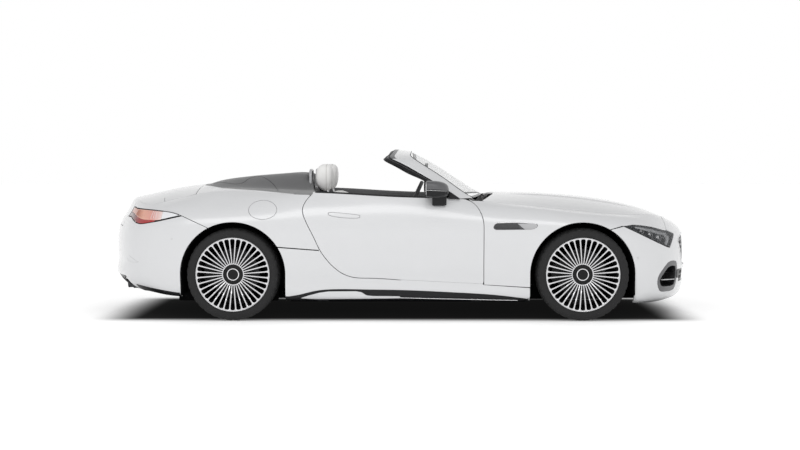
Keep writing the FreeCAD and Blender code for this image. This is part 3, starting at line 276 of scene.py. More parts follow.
def pole(i, j):
    """Pole of the body-side surface; i runs nose (0) to tail, mirrored beyond both, and j underside (0) to top edge."""
    if j < 0:
        a, b = pole(i, 0), pole(i, 1)
        return tuple(2 * p - q for p, q in zip(a, b))
    if j > N_LV:
        a, b = pole(i, N_LV), pole(i, N_LV - 1)
        return tuple(2 * p - q for p, q in zip(a, b))
    if i < 0:
        x, y, z = pole(-i, j)
        return (x, -y, z)
    if i > N_ST:
        x, y, z = pole(2 * N_ST - i, j)
        return (x, -y, z)
    return POLES[i][j]



# ---------------------------------------------------------------- fast evaluation of the same surfaces
_E0 = 24
_EX = np.array([[pole(i, j) for j in range(-1, N_LV + 2)] for i in range(-_E0, N_ST + _E0 + 1)], dtype=float)


def _wv(t):
    return np.stack([(1 - t) ** 3 / 6, (3 * t**3 - 6 * t * t + 4) / 6, (-3 * t**3 + 3 * t * t + 3 * t + 1) / 6, t**3 / 6], -1)


def _dwv(t):
    return np.stack([-((1 - t) ** 2) / 2, (9 * t * t - 12 * t) / 6, (-9 * t * t + 6 * t + 3) / 6, t * t / 2], -1)


def side_eval(u, v):
    """Points and both derivatives of the body side for arrays u, v."""
    u, v = np.asarray(u, float), np.asarray(v, float)
    i = np.floor(u).astype(int)
    j = np.clip(np.floor(v).astype(int), 0, N_LV - 1)
    a, b = u - i, v - j
    wa, wb, da, db = _wv(a), _wv(b), _dwv(a), _dwv(b)
    p = np.zeros(u.shape + (3,))
    du, dv = p.copy(), p.copy()
    for m in range(4):
        for n in range(4):
            q = _EX[np.clip(i - 1 + m + _E0, 0, len(_EX) - 1), np.clip(j - 1 + n + 1, 0, N_LV + 2)]
            p += (wa[..., m] * wb[..., n])[..., None] * q
            du += (da[..., m] * wb[..., n])[..., None] * q
            dv += (wa[..., m] * db[..., n])[..., None] * q
    return p, du, dv


def unit(a):
    return a / np.maximum(np.linalg.norm(a, axis=-1, keepdims=True), 1e-12)


SU, SV = 73.6, 46.0   # millimetres a station and a level span, about


def surf_side(q):
    """q: (n, 2) in station*SU, level*SV. Gives points and outward normals."""
    p, du, dv = side_eval(q[:, 0] / SU, q[:, 1] / SV)
    return p, unit(np.cross(du, dv))


_gu, _gv = np.meshgrid(np.arange(-2, 82.01, 0.5), np.arange(0, 20.01, 0.5), indexing="ij")
_gp = side_eval(_gu.ravel(), _gv.ravel())[0]
_gq = np.stack([_gu.ravel(), _gv.ravel()], -1)
AXES = {"xz": (0, 2), "yz": (1, 2), "xy": (0, 1)}


def locate(plane, pts, near=None):
    """Domain coordinates on the body side of points given by two of their coordinates. near: lowest and highest station."""
    ax = AXES[plane]
    pts = np.asarray(pts, float)
    ok = np.ones(len(_gq), bool)
    if near is not None:
        ok = (_gq[:, 0] >= near[0]) & (_gq[:, 0] <= near[1])
        if len(near) > 2:
            ok &= (_gq[:, 1] >= near[2]) & (_gq[:, 1] <= near[3])
    gp, gq = _gp[ok][:, ax], _gq[ok]
    d = ((pts[:, None, :] - gp[None, :, :]) ** 2).sum(-1)
    q = gq[d.argmin(1)].copy()
    for _ in range(12):
        p, du, dv = side_eval(q[:, 0], q[:, 1])
        f = pts - p[:, ax]
        a, b = du[:, ax], dv[:, ax]
        det = a[:, 0] * b[:, 1] - a[:, 1] * b[:, 0]
        det = np.where(np.abs(det) < 1e-6, 1e-6, det)
        s = np.stack([(f[:, 0] * b[:, 1] - f[:, 1] * b[:, 0]) / det, (a[:, 0] * f[:, 1] - a[:, 1] * f[:, 0]) / det], -1)
        q = q + np.clip(s, -1.0, 1.0)
        q[:, 1] = np.clip(q[:, 1], 0.0, 20.0)
    return q * np.array([SU, SV])


def dense(pts, step, closed=False):
    """Points along straight runs, evenly spaced."""
    out = []
    n = len(pts)
    for k in range(n if closed else n - 1):
        a, b = np.array(pts[k], float), np.array(pts[(k + 1) % n], float)
        m = max(1, int(round(np.linalg.norm(b - a) / step)))
        for i in range(m):
            out.append(tuple(a + (b - a) * i / m))
    if not closed:
        out.append(tuple(pts[-1]))
    return out


def smooth_run(pts, step):
    """Points along a smooth curve through pts."""
    t = chord([tuple(p) for p in pts])
    fx, fy = natural(t, [p[0] for p in pts]), natural(t, [p[1] for p in pts])
    m = max(2, int(round(t[-1] / step)) + 1)
    return [(fx(t[-1] * i / (m - 1)), fy(t[-1] * i / (m - 1))) for i in range(m)]


def inside(poly, q):
    """Which of the points q lie inside the closed polygon."""
    poly = np.asarray(poly, float)
    x, y = q[:, 0], q[:, 1]
    c = np.zeros(len(q), bool)
    x1, y1 = poly[:, 0], poly[:, 1]
    x2, y2 = np.roll(x1, -1), np.roll(y1, -1)
    for a, b, e, f in zip(x1, y1, x2, y2):
        if b == f:
            continue
        hit = (y > min(b, f)) & (y <= max(b, f)) & (x < (e - a) * (y - b) / (f - b) + a)
        c ^= hit
    return c


def seg_dist(poly, q):
    poly = np.asarray(poly, float)
    best = np.full(len(q), 1e9)
    for a, b in zip(poly, np.roll(poly, -1, axis=0)):
        d = b - a
        L = (d * d).sum()
        if L < 1e-12:
            continue
        t = np.clip(((q - a) @ d) / L, 0, 1)
        best = np.minimum(best, np.linalg.norm(q - (a + t[:, None] * d), axis=1))
    return best


def new_mesh(name, verts, faces, normals=None, smooth=True, mats=(), face_mat=None):
    """Object from millimetre vertices. normals: one per face corner, in face order."""
    me = bpy.data.meshes.new(name)
    v = np.asarray(verts, float) * 0.001
    me.from_pydata([tuple(p) for p in v], [], [tuple(int(i) for i in f) for f in faces])
    me.update()
    if smooth:
        me.polygons.foreach_set("use_smooth", [True] * len(me.polygons))
    if normals is not None:
        me.normals_split_custom_set([tuple(n) for n in normals])
    ob = bpy.data.objects.new(name, me)
    bpy.context.scene.collection.objects.link(ob)
    for m in mats:
        me.materials.append(m)
    if face_mat is not None:
        me.polygons.foreach_set("material_index", [int(i) for i in face_mat])
    return ob


def triangulate(outer, holes, gap):
    """Triangles inside outer and outside holes, with inner points about gap apart."""
    outer = np.asarray(outer, float)
    lo, hi = outer.min(0), outer.max(0)
    xs = np.arange(lo[0], hi[0], gap)
    ys = np.arange(lo[1], hi[1], gap * 0.866)
    gx, gy = np.meshgrid(xs, ys)
    gx = gx + (np.arange(len(ys)) % 2)[:, None] * gap * 0.5
    q = np.stack([gx.ravel(), gy.ravel()], -1)
    q = q[inside(outer, q)]
    q = q[seg_dist(outer, q) > 0.55 * gap]
    for h in holes:
        q = q[~inside(h, q)]
        q = q[seg_dist(h, q) > 0.55 * gap]
    vs, es = [tuple(p) for p in outer], []
    n = len(outer)
    es += [(i, (i + 1) % n) for i in range(n)]
    for h in holes:
        o = len(vs)
        vs += [tuple(p) for p in h]
        es += [(o + i, o + (i + 1) % len(h)) for i in range(len(h))]
    vs += [tuple(p) for p in q]
    r = delaunay_2d_cdt([Vector(p) for p in vs], es, [], 0, 1e-5)
    co = np.array([tuple(p) for p in r[0]])
    tri = np.array([f for f in r[2] if len(f) == 3], dtype=int)
    c = co[tri].mean(1)
    keep = inside(outer, c)
    for h in holes:
        keep &= ~inside(h, c)
    tri = tri[keep]
    a, b, d = co[tri[:, 0]], co[tri[:, 1]], co[tri[:, 2]]
    area = (b[:, 0] - a[:, 0]) * (d[:, 1] - a[:, 1]) - (b[:, 1] - a[:, 1]) * (d[:, 0] - a[:, 0])
    tri = tri[np.abs(area) > 1e-6]
    area = area[np.abs(area) > 1e-6]
    tri[area < 0] = tri[area < 0][:, ::-1]
    used = np.unique(tri)
    remap = -np.ones(len(co), int)
    remap[used] = np.arange(len(used))
    return co[used], remap[tri]


def border_loops(tri):
    nxt = {}
    seen = set()
    for a, b, c in tri:
        for e in ((a, b), (b, c), (c, a)):
            seen.add(e)
    for a, b in seen:
        if (b, a) not in seen:
            nxt.setdefault(a, []).append(b)
    loops = []
    while nxt:
        s = next(iter(nxt))
        loop = [s]
        cur = nxt[s].pop()
        if not nxt[s]:
            del nxt[s]
        while cur != s:
            loop.append(cur)
            if cur not in nxt:
                break
            k = nxt[cur].pop()
            if not nxt[cur]:
                del nxt[cur]
            cur = k
        loops.append(loop)
    return loops


def panel(name, surf, outer, holes=(), t=9.0, r=1.6, gap=15.0, mirror=False, mats=(), shape=None, inner=None, edge_mat=None):
    """Sheet-metal panel with rolled edges on a surface: outer and inner skin joined round every border.

    surf gives points and outward normals for domain points, and shape, if given, moves them.
    """
    q, tri = triangulate(outer, holes, gap * 1.17)
    p, n = surf(q)
    if shape is not None:
        p, n = shape(p, n, q, surf)
    # winding so that faces look along the normal
    a, b, c = p[tri[:, 0]], p[tri[:, 1]], p[tri[:, 2]]
    s = (np.cross(b - a, c - a) * n[tri[:, 0]]).sum(-1)
    if np.median(s) < 0:
        tri = tri[:, ::-1]
    verts, nrm = [p], [n]
    faces = [tuple(f) for f in tri]
    fn = [[n[i] for i in f] for f in tri]
    count = len(p)
    inner_off = count
    pin = p - n * t if inner is None else inner(p, n)
    verts.append(pin)
    count += len(pin)
    for f in tri:
        g = (f[2] + inner_off, f[1] + inner_off, f[0] + inner_off)
        faces.append(g)
        fn.append([-n[f[2]], -n[f[1]], -n[f[0]]])
    for loop in border_loops(tri):
        L = np.array(loop)
        pp, nn = p[L], n[L]
        tg = unit(np.roll(pp, -1, 0) - np.roll(pp, 1, 0))
        out = unit(np.cross(tg, nn))
        rings = [(L, nn)]
        for k, ph in enumerate((45.0, 90.0)):
            s_, c_ = math.sin(math.radians(ph)), math.cos(math.radians(ph))
            ring = pp + out * (r * s_) - nn * (r * (1 - c_))
            verts.append(ring)
            rings.append((np.arange(count, count + len(L)), unit(nn * c_ + out * s_)))
            count += len(L)
        ring = pp + out * r - nn * t
        verts.append(ring)
        rings.append((np.arange(count, count + len(L)), out))
        count += len(L)
        rings.append((L + inner_off, out))
        m = len(L)
        for k in range(len(rings) - 1):
            (ia, na), (ib, nb) = rings[k], rings[k + 1]
            for i in range(m):
                j = (i + 1) % m
                faces.append((ia[j], ia[i], ib[i], ib[j]))
                if k == len(rings) - 2:
                    fn.append([-nn[j], -nn[i], -nn[i], -nn[j]])
                else:
                    fn.append([na[j], na[i], nb[i], nb[j]])
    V = np.concatenate(verts)
    fm = None if edge_mat is None else [0] * len(tri) + [edge_mat] * (len(faces) - len(tri))
    made = []
    def build(nm, VV, FF, NN):
        flat = [x for f in NN for x in f]
        return new_mesh(nm, VV, FF, flat, True, mats, fm)
    if mirror != "only":
        made.append(build(name, V, faces, fn))
    if mirror:
        M = np.array([1, -1, 1.0])
        F2 = [tuple(reversed(f)) for f in faces]
        N2 = [[x * M for x in reversed(f)] for f in fn]
        nm = name.replace("_left", "_right") if "_left" in name else name + "_right"
        made.append(build(nm, V * M, F2, N2))
    return made if len(made) > 1 else made[0]


def height_surf(fn):
    def s(q):
        x, y = q[:, 0], q[:, 1]
        z = np.array([fn(a, b) for a, b in q])
        e = 1.0
        zx = (np.array([fn(a + e, b) for a, b in q]) - np.array([fn(a - e, b) for a, b in q])) / (2 * e)
        zy = (np.array([fn(a, b + e) for a, b in q]) - np.array([fn(a, b - e) for a, b in q])) / (2 * e)
        return np.stack([x, y, z], -1), unit(np.stack([-zx, -zy, np.ones(len(q))], -1))
    return s
# ---------------------------------------------------------------- materials
def material(name, base, rough=0.5, metal=0.0, coat=0.0, coat_rough=0.03, sheen=0.0, trans=0.0, ior=1.45, alpha=1.0, emit=None, emit_w=0.0,
             tone=0.06, tone_scale=6.0, rough_var=0.05, bump=None, spec=0.5, aniso=0.0):
    """Principled material with a soft variation of tone and gloss, and an optional bump: list of (kind, scale, strength, distance)."""
    m = bpy.data.materials.new(name)
    m.use_nodes = True
    nt = m.node_tree
    nt.nodes.clear()
    out = nt.nodes.new("ShaderNodeOutputMaterial")
    b = nt.nodes.new("ShaderNodeBsdfPrincipled")
    nt.links.new(b.outputs[0], out.inputs[0])
    b.inputs["Metallic"].default_value = metal
    b.inputs["Coat Weight"].default_value = coat
    b.inputs["Coat Roughness"].default_value = coat_rough
    b.inputs["Sheen Weight"].default_value = sheen
    b.inputs["Transmission Weight"].default_value = trans
    b.inputs["IOR"].default_value = ior
    b.inputs["Alpha"].default_value = alpha
    b.inputs["Specular IOR Level"].default_value = spec
    b.inputs["Anisotropic"].default_value = aniso
    if emit:
        b.inputs["Emission Color"].default_value = (*emit, 1)
        b.inputs["Emission Strength"].default_value = emit_w
    tc = nt.nodes.new("ShaderNodeTexCoord")
    nz = nt.nodes.new("ShaderNodeTexNoise")
    nz.inputs["Scale"].default_value = tone_scale
    nz.inputs["Detail"].default_value = 4.0
    nt.links.new(tc.outputs["Object"], nz.inputs["Vector"])
    cr = nt.nodes.new("ShaderNodeMapRange")
    cr.inputs["To Min"].default_value = 1.0 - tone
    cr.inputs["To Max"].default_value = 1.0 + tone
    nt.links.new(nz.outputs[0], cr.inputs["Value"])
    mx = nt.nodes.new("ShaderNodeVectorMath")
    mx.operation = "SCALE"
    mx.inputs[0].default_value = base
    nt.links.new(cr.outputs[0], mx.inputs["Scale"])
    nt.links.new(mx.outputs[0], b.inputs["Base Color"])
    rr = nt.nodes.new("ShaderNodeMapRange")
    rr.inputs["To Min"].default_value = max(0.0, rough - rough_var)
    rr.inputs["To Max"].default_value = min(1.0, rough + rough_var)
    nt.links.new(nz.outputs[0], rr.inputs["Value"])
    nt.links.new(rr.outputs[0], b.inputs["Roughness"])
    last = None
    for kind, scale, strength, dist in bump or []:
        if kind == "noise":
            t = nt.nodes.new("ShaderNodeTexNoise")
            t.inputs["Scale"].default_value = scale
            t.inputs["Detail"].default_value = 5.0
            sock = t.outputs[0]
        elif kind == "voronoi":
            t = nt.nodes.new("ShaderNodeTexVoronoi")
            t.inputs["Scale"].default_value = scale
            t.feature = "DISTANCE_TO_EDGE"
            sock = t.outputs["Distance"]
        elif kind in ("wave_x", "wave_y", "wave_z"):
            t = nt.nodes.new("ShaderNodeTexWave")
            t.bands_direction = kind[-1].upper()
            t.inputs["Scale"].default_value = scale
            sock = t.outputs[1]
        nt.links.new(tc.outputs["Object"], t.inputs["Vector"])
        bp = nt.nodes.new("ShaderNodeBump")
        bp.inputs["Strength"].default_value = strength
        bp.inputs["Distance"].default_value = dist
        nt.links.new(sock, bp.inputs["Height"])
        if last is not None:
            nt.links.new(last.outputs[0], bp.inputs["Normal"])
        last = bp
    if last is not None:
        nt.links.new(last.outputs[0], b.inputs["Normal"])
    return m


M_PAINT = material("paint_white", (0.615, 0.62, 0.63), rough=0.34, coat=1.0, coat_rough=0.16, tone=0.012, tone_scale=3.0, rough_var=0.03, bump=[("noise", 900.0, 0.02, 0.0003)])
M_JAMB = material("paint_jamb", (0.56, 0.565, 0.57), rough=0.4, coat=0.4, tone=0.03, bump=[("noise", 300.0, 0.05, 0.0005)])
M_BLACK = material("gloss_black", (0.009, 0.009, 0.010), rough=0.32, coat=0.12, spec=0.22, tone=0.08, bump=[("noise", 500.0, 0.02, 0.0003)])
M_PLAST = material("moulded_plastic", (0.014, 0.014, 0.015), rough=0.55, spec=0.25, tone=0.12, tone_scale=20, bump=[("voronoi", 700.0, 0.25, 0.0004)])
M_LINER = material("liner_felt", (0.006, 0.006, 0.0065), rough=0.95, spec=0.05, tone=0.25, tone_scale=60, bump=[("noise", 300.0, 0.5, 0.001)])
M_COVER = material("roof_cover", (0.105, 0.106, 0.108), rough=0.62, sheen=0.35, tone=0.10, tone_scale=12, bump=[("wave_x", 420.0, 0.16, 0.0006), ("wave_y", 420.0, 0.16, 0.0006), ("noise", 60.0, 0.06, 0.002)])
M_GREY = material("satin_grey", (0.085, 0.085, 0.09), rough=0.42, coat=0.3, coat_rough=0.25, tone=0.06, tone_scale=15, bump=[("noise", 600.0, 0.05, 0.0004)])
M_SILVER = material("silver_trim", (0.40, 0.40, 0.41), rough=0.35, metal=0.2, coat=0.3, tone=0.03, bump=[("noise", 500.0, 0.04, 0.0003)])
M_CHROME = material("bright_trim", (0.80, 0.80, 0.81), rough=0.12, metal=1.0, tone=0.03, bump=[("noise", 200.0, 0.02, 0.0003)])
M_ALLOY = material("machined_alloy", (0.66, 0.66, 0.67), rough=0.26, metal=0.85, tone=0.04, tone_scale=30, rough_var=0.06, bump=[("noise", 800.0, 0.06, 0.0003)])
M_WDARK = material("wheel_black", (0.007, 0.007, 0.0075), rough=0.42, coat=0.05, spec=0.2, tone=0.15, tone_scale=30, bump=[("noise", 400.0, 0.05, 0.0004)])
M_TYRE = material("tyre_rubber", (0.020, 0.020, 0.0205), rough=0.66, spec=0.22, tone=0.18, tone_scale=25, bump=[("noise", 350.0, 0.22, 0.0006)])
M_STEEL = material("turned_steel", (0.045, 0.045, 0.047), rough=0.50, metal=1.0, tone=0.10, tone_scale=40, bump=[("noise", 500.0, 0.10, 0.0004)])
M_CAST = material("cast_metal", (0.022, 0.022, 0.023), rough=0.6, metal=0.6, tone=0.15, tone_scale=30, bump=[("noise", 150.0, 0.35, 0.001)])
M_LEATHER = material("leather_light", (0.80, 0.795, 0.785), rough=0.46, tone=0.035, tone_scale=9, sheen=0.05, bump=[("voronoi", 420.0, 0.22, 0.0005), ("noise", 40.0, 0.10, 0.002)])
M_LEATHD = material("leather_dark", (0.035, 0.035, 0.037), rough=0.5, tone=0.12, tone_scale=14, bump=[("voronoi", 420.0, 0.25, 0.0005), ("noise", 40.0, 0.08, 0.002)])
M_TOPTRIM = material("dark_top_trim", (0.085, 0.086, 0.088), rough=0.55, tone=0.08, tone_scale=14, bump=[("voronoi", 420.0, 0.2, 0.0005)])
M_CARPET = material("carpet", (0.03, 0.03, 0.032), rough=0.95, sheen=0.3, tone=0.3, tone_scale=90, bump=[("noise", 700.0, 0.8, 0.002)])
M_THREAD = material("stitching", (0.62, 0.61, 0.59), rough=0.7, tone=0.1, bump=[("noise", 900.0, 0.3, 0.0005)])
M_MIRROR = material("mirror_glass", (0.86, 0.87, 0.88), rough=0.02, metal=1.0, tone=0.01, rough_var=0.01)
M_RED = material("lamp_red", (0.24, 0.008, 0.012), rough=0.14, coat=0.5, tone=0.10, emit=(0.5, 0.01, 0.015), emit_w=0.05, bump=[("wave_z", 60.0, 0.12, 0.002)])
M_REDTOP = material("lamp_red_pale", (0.72, 0.36, 0.28), rough=0.14, coat=0.6, tone=0.06, emit=(0.9, 0.5, 0.4), emit_w=0.04, bump=[("wave_z", 60.0, 0.12, 0.002)])


def along_x(m, x0, x1, stops):
    """Colour of a lamp lens that changes along the car."""
    nt = m.node_tree
    b = next(n for n in nt.nodes if n.type == "BSDF_PRINCIPLED")
    tc = nt.nodes.new("ShaderNodeTexCoord")
    sp = nt.nodes.new("ShaderNodeSeparateXYZ")
    mr = nt.nodes.new("ShaderNodeMapRange")
    mr.inputs["From Min"].default_value = x0
    mr.inputs["From Max"].default_value = x1
    rp = nt.nodes.new("ShaderNodeValToRGB")
    while len(rp.color_ramp.elements) < len(stops):
        rp.color_ramp.elements.new(0.5)
    for e, (t, c) in zip(rp.color_ramp.elements, stops):
        e.position = t
        e.color = (*c, 1)
    nt.links.new(tc.outputs["Object"], sp.inputs[0])
    nt.links.new(sp.outputs["X"], mr.inputs["Value"])
    nt.links.new(mr.outputs[0], rp.inputs[0])
    nt.links.new(rp.outputs[0], b.inputs["Base Color"])


along_x(M_REDTOP, -2.06, -1.82, [(0.0, (0.42, 0.14, 0.08)), (0.25, (0.72, 0.38, 0.28)), (0.6, (0.66, 0.30, 0.26)), (1.0, (0.74, 0.66, 0.64))])
along_x(M_RED, -2.10, -1.80, [(0.0, (0.05, 0.01, 0.012)), (0.25, (0.30, 0.008, 0.012)), (0.6, (0.36, 0.02, 0.02)), (1.0, (0.60, 0.40, 0.38))])
M_LAMPW = material("lamp_clear", (0.75, 0.76, 0.78), rough=0.08, coat=1.0, tone=0.05, bump=[("wave_y", 60.0, 0.1, 0.002)])
M_LAMPD = material("lamp_dark", (0.03, 0.031, 0.034), rough=0.08, coat=1.0, tone=0.1, bump=[("noise", 80.0, 0.02, 0.001)])


def glass_material(name, tint, alpha_face, edge=0.35, coat=0.0, ior=1.45, rough=0.02):
    """Thin glass: mostly clear, with its tint laid on more thickly at a glance; a pale tint makes this a painted
    reflection, on top of the glass's own gloss.
    """
    m = bpy.data.materials.new(name)
    m.use_nodes = True
    nt = m.node_tree
    nt.nodes.clear()
    out = nt.nodes.new("ShaderNodeOutputMaterial")
    b = nt.nodes.new("ShaderNodeBsdfPrincipled")
    b.inputs["Roughness"].default_value = rough
    b.inputs["IOR"].default_value = ior
    b.inputs["Transmission Weight"].default_value = 0.0
    b.inputs["Coat Weight"].default_value = coat
    b.inputs["Coat Roughness"].default_value = 0.0
    tc = nt.nodes.new("ShaderNodeTexCoord")
    nz = nt.nodes.new("ShaderNodeTexNoise")
    nz.inputs["Scale"].default_value = 4.0
    nt.links.new(tc.outputs["Object"], nz.inputs["Vector"])
    cr = nt.nodes.new("ShaderNodeMapRange")
    cr.inputs["To Min"].default_value = 0.97
    cr.inputs["To Max"].default_value = 1.03
    nt.links.new(nz.outputs[0], cr.inputs["Value"])
    mx = nt.nodes.new("ShaderNodeVectorMath")
    mx.operation = "SCALE"
    mx.inputs[0].default_value = tint
    nt.links.new(cr.outputs[0], mx.inputs["Scale"])
    nt.links.new(mx.outputs[0], b.inputs["Base Color"])
    lw = nt.nodes.new("ShaderNodeLayerWeight")
    lw.inputs["Blend"].default_value = 0.25
    mr = nt.nodes.new("ShaderNodeMapRange")
    mr.inputs["To Min"].default_value = alpha_face
    mr.inputs["To Max"].default_value = min(1.0, alpha_face + edge)
    nt.links.new(lw.outputs["Fresnel"], mr.inputs["Value"])
    nt.links.new(mr.outputs[0], b.inputs["Alpha"])
    nt.links.new(b.outputs[0], out.inputs[0])
    return m


# the windscreen's pale veil, thicker at a glance, is a painted reflection of the bright room
M_GLASS = glass_material("windscreen_glass", (0.90, 0.92, 0.93), 0.05, 0.14, 0.0)
M_COVERGLASS = glass_material("lamp_cover_glass", (0.08, 0.084, 0.09), 0.20, 0.25, 0.0)
# ---------------------------------------------------------------- floor, light and camera
def lights_and_camera():
    sc = bpy.context.scene
    me = bpy.data.meshes.new("studio_floor")
    vs, fs = [], []
    n = 24
    for i in range(n + 1):
        for j in range(n + 1):
            vs.append((-60 + 120 * i / n, -30 + 100 * j / n, 0.0))
    for i in range(n):
        for j in range(n):
            k = i * (n + 1) + j
            fs.append((k, k + n + 1, k + n + 2, k + 1))
    me.from_pydata(vs, [], fs)
    fl = bpy.data.objects.new("studio_floor", me)
    sc.collection.objects.link(fl)
    m = bpy.data.materials.new("floor_white")
    m.use_nodes = True
    nt = m.node_tree
    nt.nodes.clear()
    out = nt.nodes.new("ShaderNodeOutputMaterial")
    b = nt.nodes.new("ShaderNodeBsdfPrincipled")
    b.inputs["Roughness"].default_value = 1.0
    b.inputs["Specular IOR Level"].default_value = 0.0
    b.inputs["Emission Color"].default_value = (1, 1, 1, 1)
    b.inputs["Emission Strength"].default_value = 0.30
    tc = nt.nodes.new("ShaderNodeTexCoord")
    nz = nt.nodes.new("ShaderNodeTexNoise")
    nz.inputs["Scale"].default_value = 0.4
    mr = nt.nodes.new("ShaderNodeMapRange")
    mr.inputs["To Min"].default_value = 0.975
    mr.inputs["To Max"].default_value = 0.985
    nt.links.new(tc.outputs["Object"], nz.inputs["Vector"])
    nt.links.new(nz.outputs[0], mr.inputs["Value"])
    # painted shadow under the car: a soft-edged box beneath it where the floor's colour falls to a small fraction
    sp = nt.nodes.new("ShaderNodeSeparateXYZ")
    nt.links.new(tc.outputs["Object"], sp.inputs[0])
    last = mr.outputs[0]
    painted_shadow_edges = []
    for axis, half, soft in (("X", 2.24, 0.22), ("Y", 0.86, 0.14)):
        ab = nt.nodes.new("ShaderNodeMath")
        ab.operation = "ABSOLUTE"
        nt.links.new(sp.outputs[axis], ab.inputs[0])
        rg = nt.nodes.new("ShaderNodeMapRange")
        rg.interpolation_type = "SMOOTHSTEP"
        rg.inputs["From Min"].default_value = half - soft
        rg.inputs["From Max"].default_value = half + soft
        rg.inputs["To Min"].default_value = 1.0
        rg.inputs["To Max"].default_value = 0.0
        nt.links.new(ab.outputs[0], rg.inputs["Value"])
        painted_shadow_edges.append(rg.outputs[0])
    both = nt.nodes.new("ShaderNodeMath")
    both.operation = "MULTIPLY"
    nt.links.new(painted_shadow_edges[0], both.inputs[0])
    nt.links.new(painted_shadow_edges[1], both.inputs[1])
    keep = nt.nodes.new("ShaderNodeMapRange")
    keep.inputs["To Min"].default_value = 1.0
    keep.inputs["To Max"].default_value = 0.02
    nt.links.new(both.outputs[0], keep.inputs["Value"])
    tone = nt.nodes.new("ShaderNodeMath")
    tone.operation = "MULTIPLY"
    nt.links.new(last, tone.inputs[0])
    nt.links.new(keep.outputs[0], tone.inputs[1])
    # the painted shadow darkens the floor's base colour and its glow alike
    nt.links.new(tone.outputs[0], b.inputs["Base Color"])
    nt.links.new(tone.outputs[0], b.inputs["Emission Color"])
    nt.links.new(b.outputs[0], out.inputs[0])
    me.materials.append(m)

    w = bpy.data.worlds.new("studio")
    sc.world = w
    w.use_nodes = True
    nt = w.node_tree
    bg = nt.nodes["Background"]
    # a pale room: white at and below the horizon, greyer towards the zenith, which the paint can reflect
    tc = nt.nodes.new("ShaderNodeTexCoord")
    sp = nt.nodes.new("ShaderNodeSeparateXYZ")
    rp = nt.nodes.new("ShaderNodeValToRGB")
    rp.color_ramp.elements[0].position = 0.565
    rp.color_ramp.elements[0].color = (1.0, 1.0, 1.0, 1)
    rp.color_ramp.elements[1].position = 1.0
    rp.color_ramp.elements[1].color = (0.56, 0.56, 0.56, 1)
    mr = nt.nodes.new("ShaderNodeMapRange")
    mr.inputs["From Min"].default_value = -1.0
    nt.links.new(tc.outputs["Generated"], sp.inputs[0])
    nt.links.new(sp.outputs["Z"], mr.inputs["Value"])
    nt.links.new(mr.outputs[0], rp.inputs[0])
    nt.links.new(rp.outputs[0], bg.inputs["Color"])
    bg.inputs["Strength"].default_value = 1.0

    def area(name, loc, target, sx, sy, power, spread=None):
        ld = bpy.data.lights.new(name, "AREA")
        ld.shape = "RECTANGLE"
        ld.size, ld.size_y = sx, sy
        ld.energy = power
        if spread:
            ld.spread = spread
        o = bpy.data.objects.new(name, ld)
        o.location = loc
        d = Vector(target) - Vector(loc)
        o.rotation_euler = d.to_track_quat("-Z", "Y").to_euler()
        sc.collection.objects.link(o)
        return o

    area("key_top", (0.3, -1.5, 5.2), (0.0, 0.0, 0.4), 7.0, 4.5, 8)
    area("side_soft", (-0.5, -8.5, 5.4), (0.0, 0.0, 0.7), 9.0, 2.4, 200)

    cd = bpy.data.cameras.new("camera")
    cd.lens = 61.65
    cd.sensor_width = 36.0
    cd.clip_end = 300.0
    cam = bpy.data.objects.new("camera", cd)
    cam.location = (0.10, -11.45, 1.22)
    cam.rotation_euler = (math.radians(90 - 2.6), 0.0, math.radians(0.5))
    sc.collection.objects.link(cam)
    sc.camera = cam
    sc.view_settings.view_transform = "Standard"
    sc.view_settings.exposure = 0.0
    sc.view_settings.gamma = 1.0
# ---------------------------------------------------------------- free-form helpers
def bs_surf(P, su=20.0, sv=20.0, wrap_v=False):
    """Smooth surface with the grid P (n, m, 3) as its poles; domain (i*su, j*sv)."""
    P = np.asarray(P, float)
    n, m = P.shape[:2]
    lo, hi = 2 * P[:1] - P[1:2], 2 * P[-1:] - P[-2:-1]
    E = np.concatenate([lo, P, hi], 0)
    if wrap_v:
        E = np.concatenate([E[:, -1:], E, E[:, :2]], 1)
    else:
        E = np.concatenate([2 * E[:, :1] - E[:, 1:2], E, 2 * E[:, -1:] - E[:, -2:-1]], 1)

    def ev(u, v):
        u = np.clip(np.asarray(u, float), 0, n - 1 - 1e-9)
        v = np.asarray(v, float)
        v = np.mod(v, m) if wrap_v else np.clip(v, 0, m - 1 - 1e-9)
        i, j = np.floor(u).astype(int), np.floor(v).astype(int)
        wa, wb, da, db = _wv(u - i), _wv(v - j), _dwv(u - i), _dwv(v - j)
        p = np.zeros(u.shape + (3,))
        pu, pv = p.copy(), p.copy()
        for a in range(4):
            for b in range(4):
                c = E[i + a, np.minimum(j + b, E.shape[1] - 1)]
                p += (wa[..., a] * wb[..., b])[..., None] * c
                pu += (da[..., a] * wb[..., b])[..., None] * c
                pv += (wa[..., a] * db[..., b])[..., None] * c
        return p, pu, pv

    def s(q):
        p, pu, pv = ev(q[:, 0] / su, q[:, 1] / sv)
        return p, unit(np.cross(pu, pv))
    s.ev = ev
    return s


def grid_faces(n, m, wrap=False, flip=False):
    fs = []
    for i in range(n - 1):
        for j in range(m if wrap else m - 1):
            k = (j + 1) % m
            f = (i * m + j, i * m + k, (i + 1) * m + k, (i + 1) * m + j)
            fs.append(tuple(reversed(f)) if flip else f)
    return fs


def outward(ob):
    """Turns all faces of a closed piece to look outwards."""
    bm = bmesh.new()
    bm.from_mesh(ob.data)
    bmesh.ops.recalc_face_normals(bm, faces=bm.faces)
    bm.to_mesh(ob.data)
    bm.free()
    return ob


def sharp(ob, deg=35):
    ob.data.polygons.foreach_set("use_smooth", [True] * len(ob.data.polygons))
    ob.data.set_sharp_from_angle(angle=math.radians(deg))
    return ob


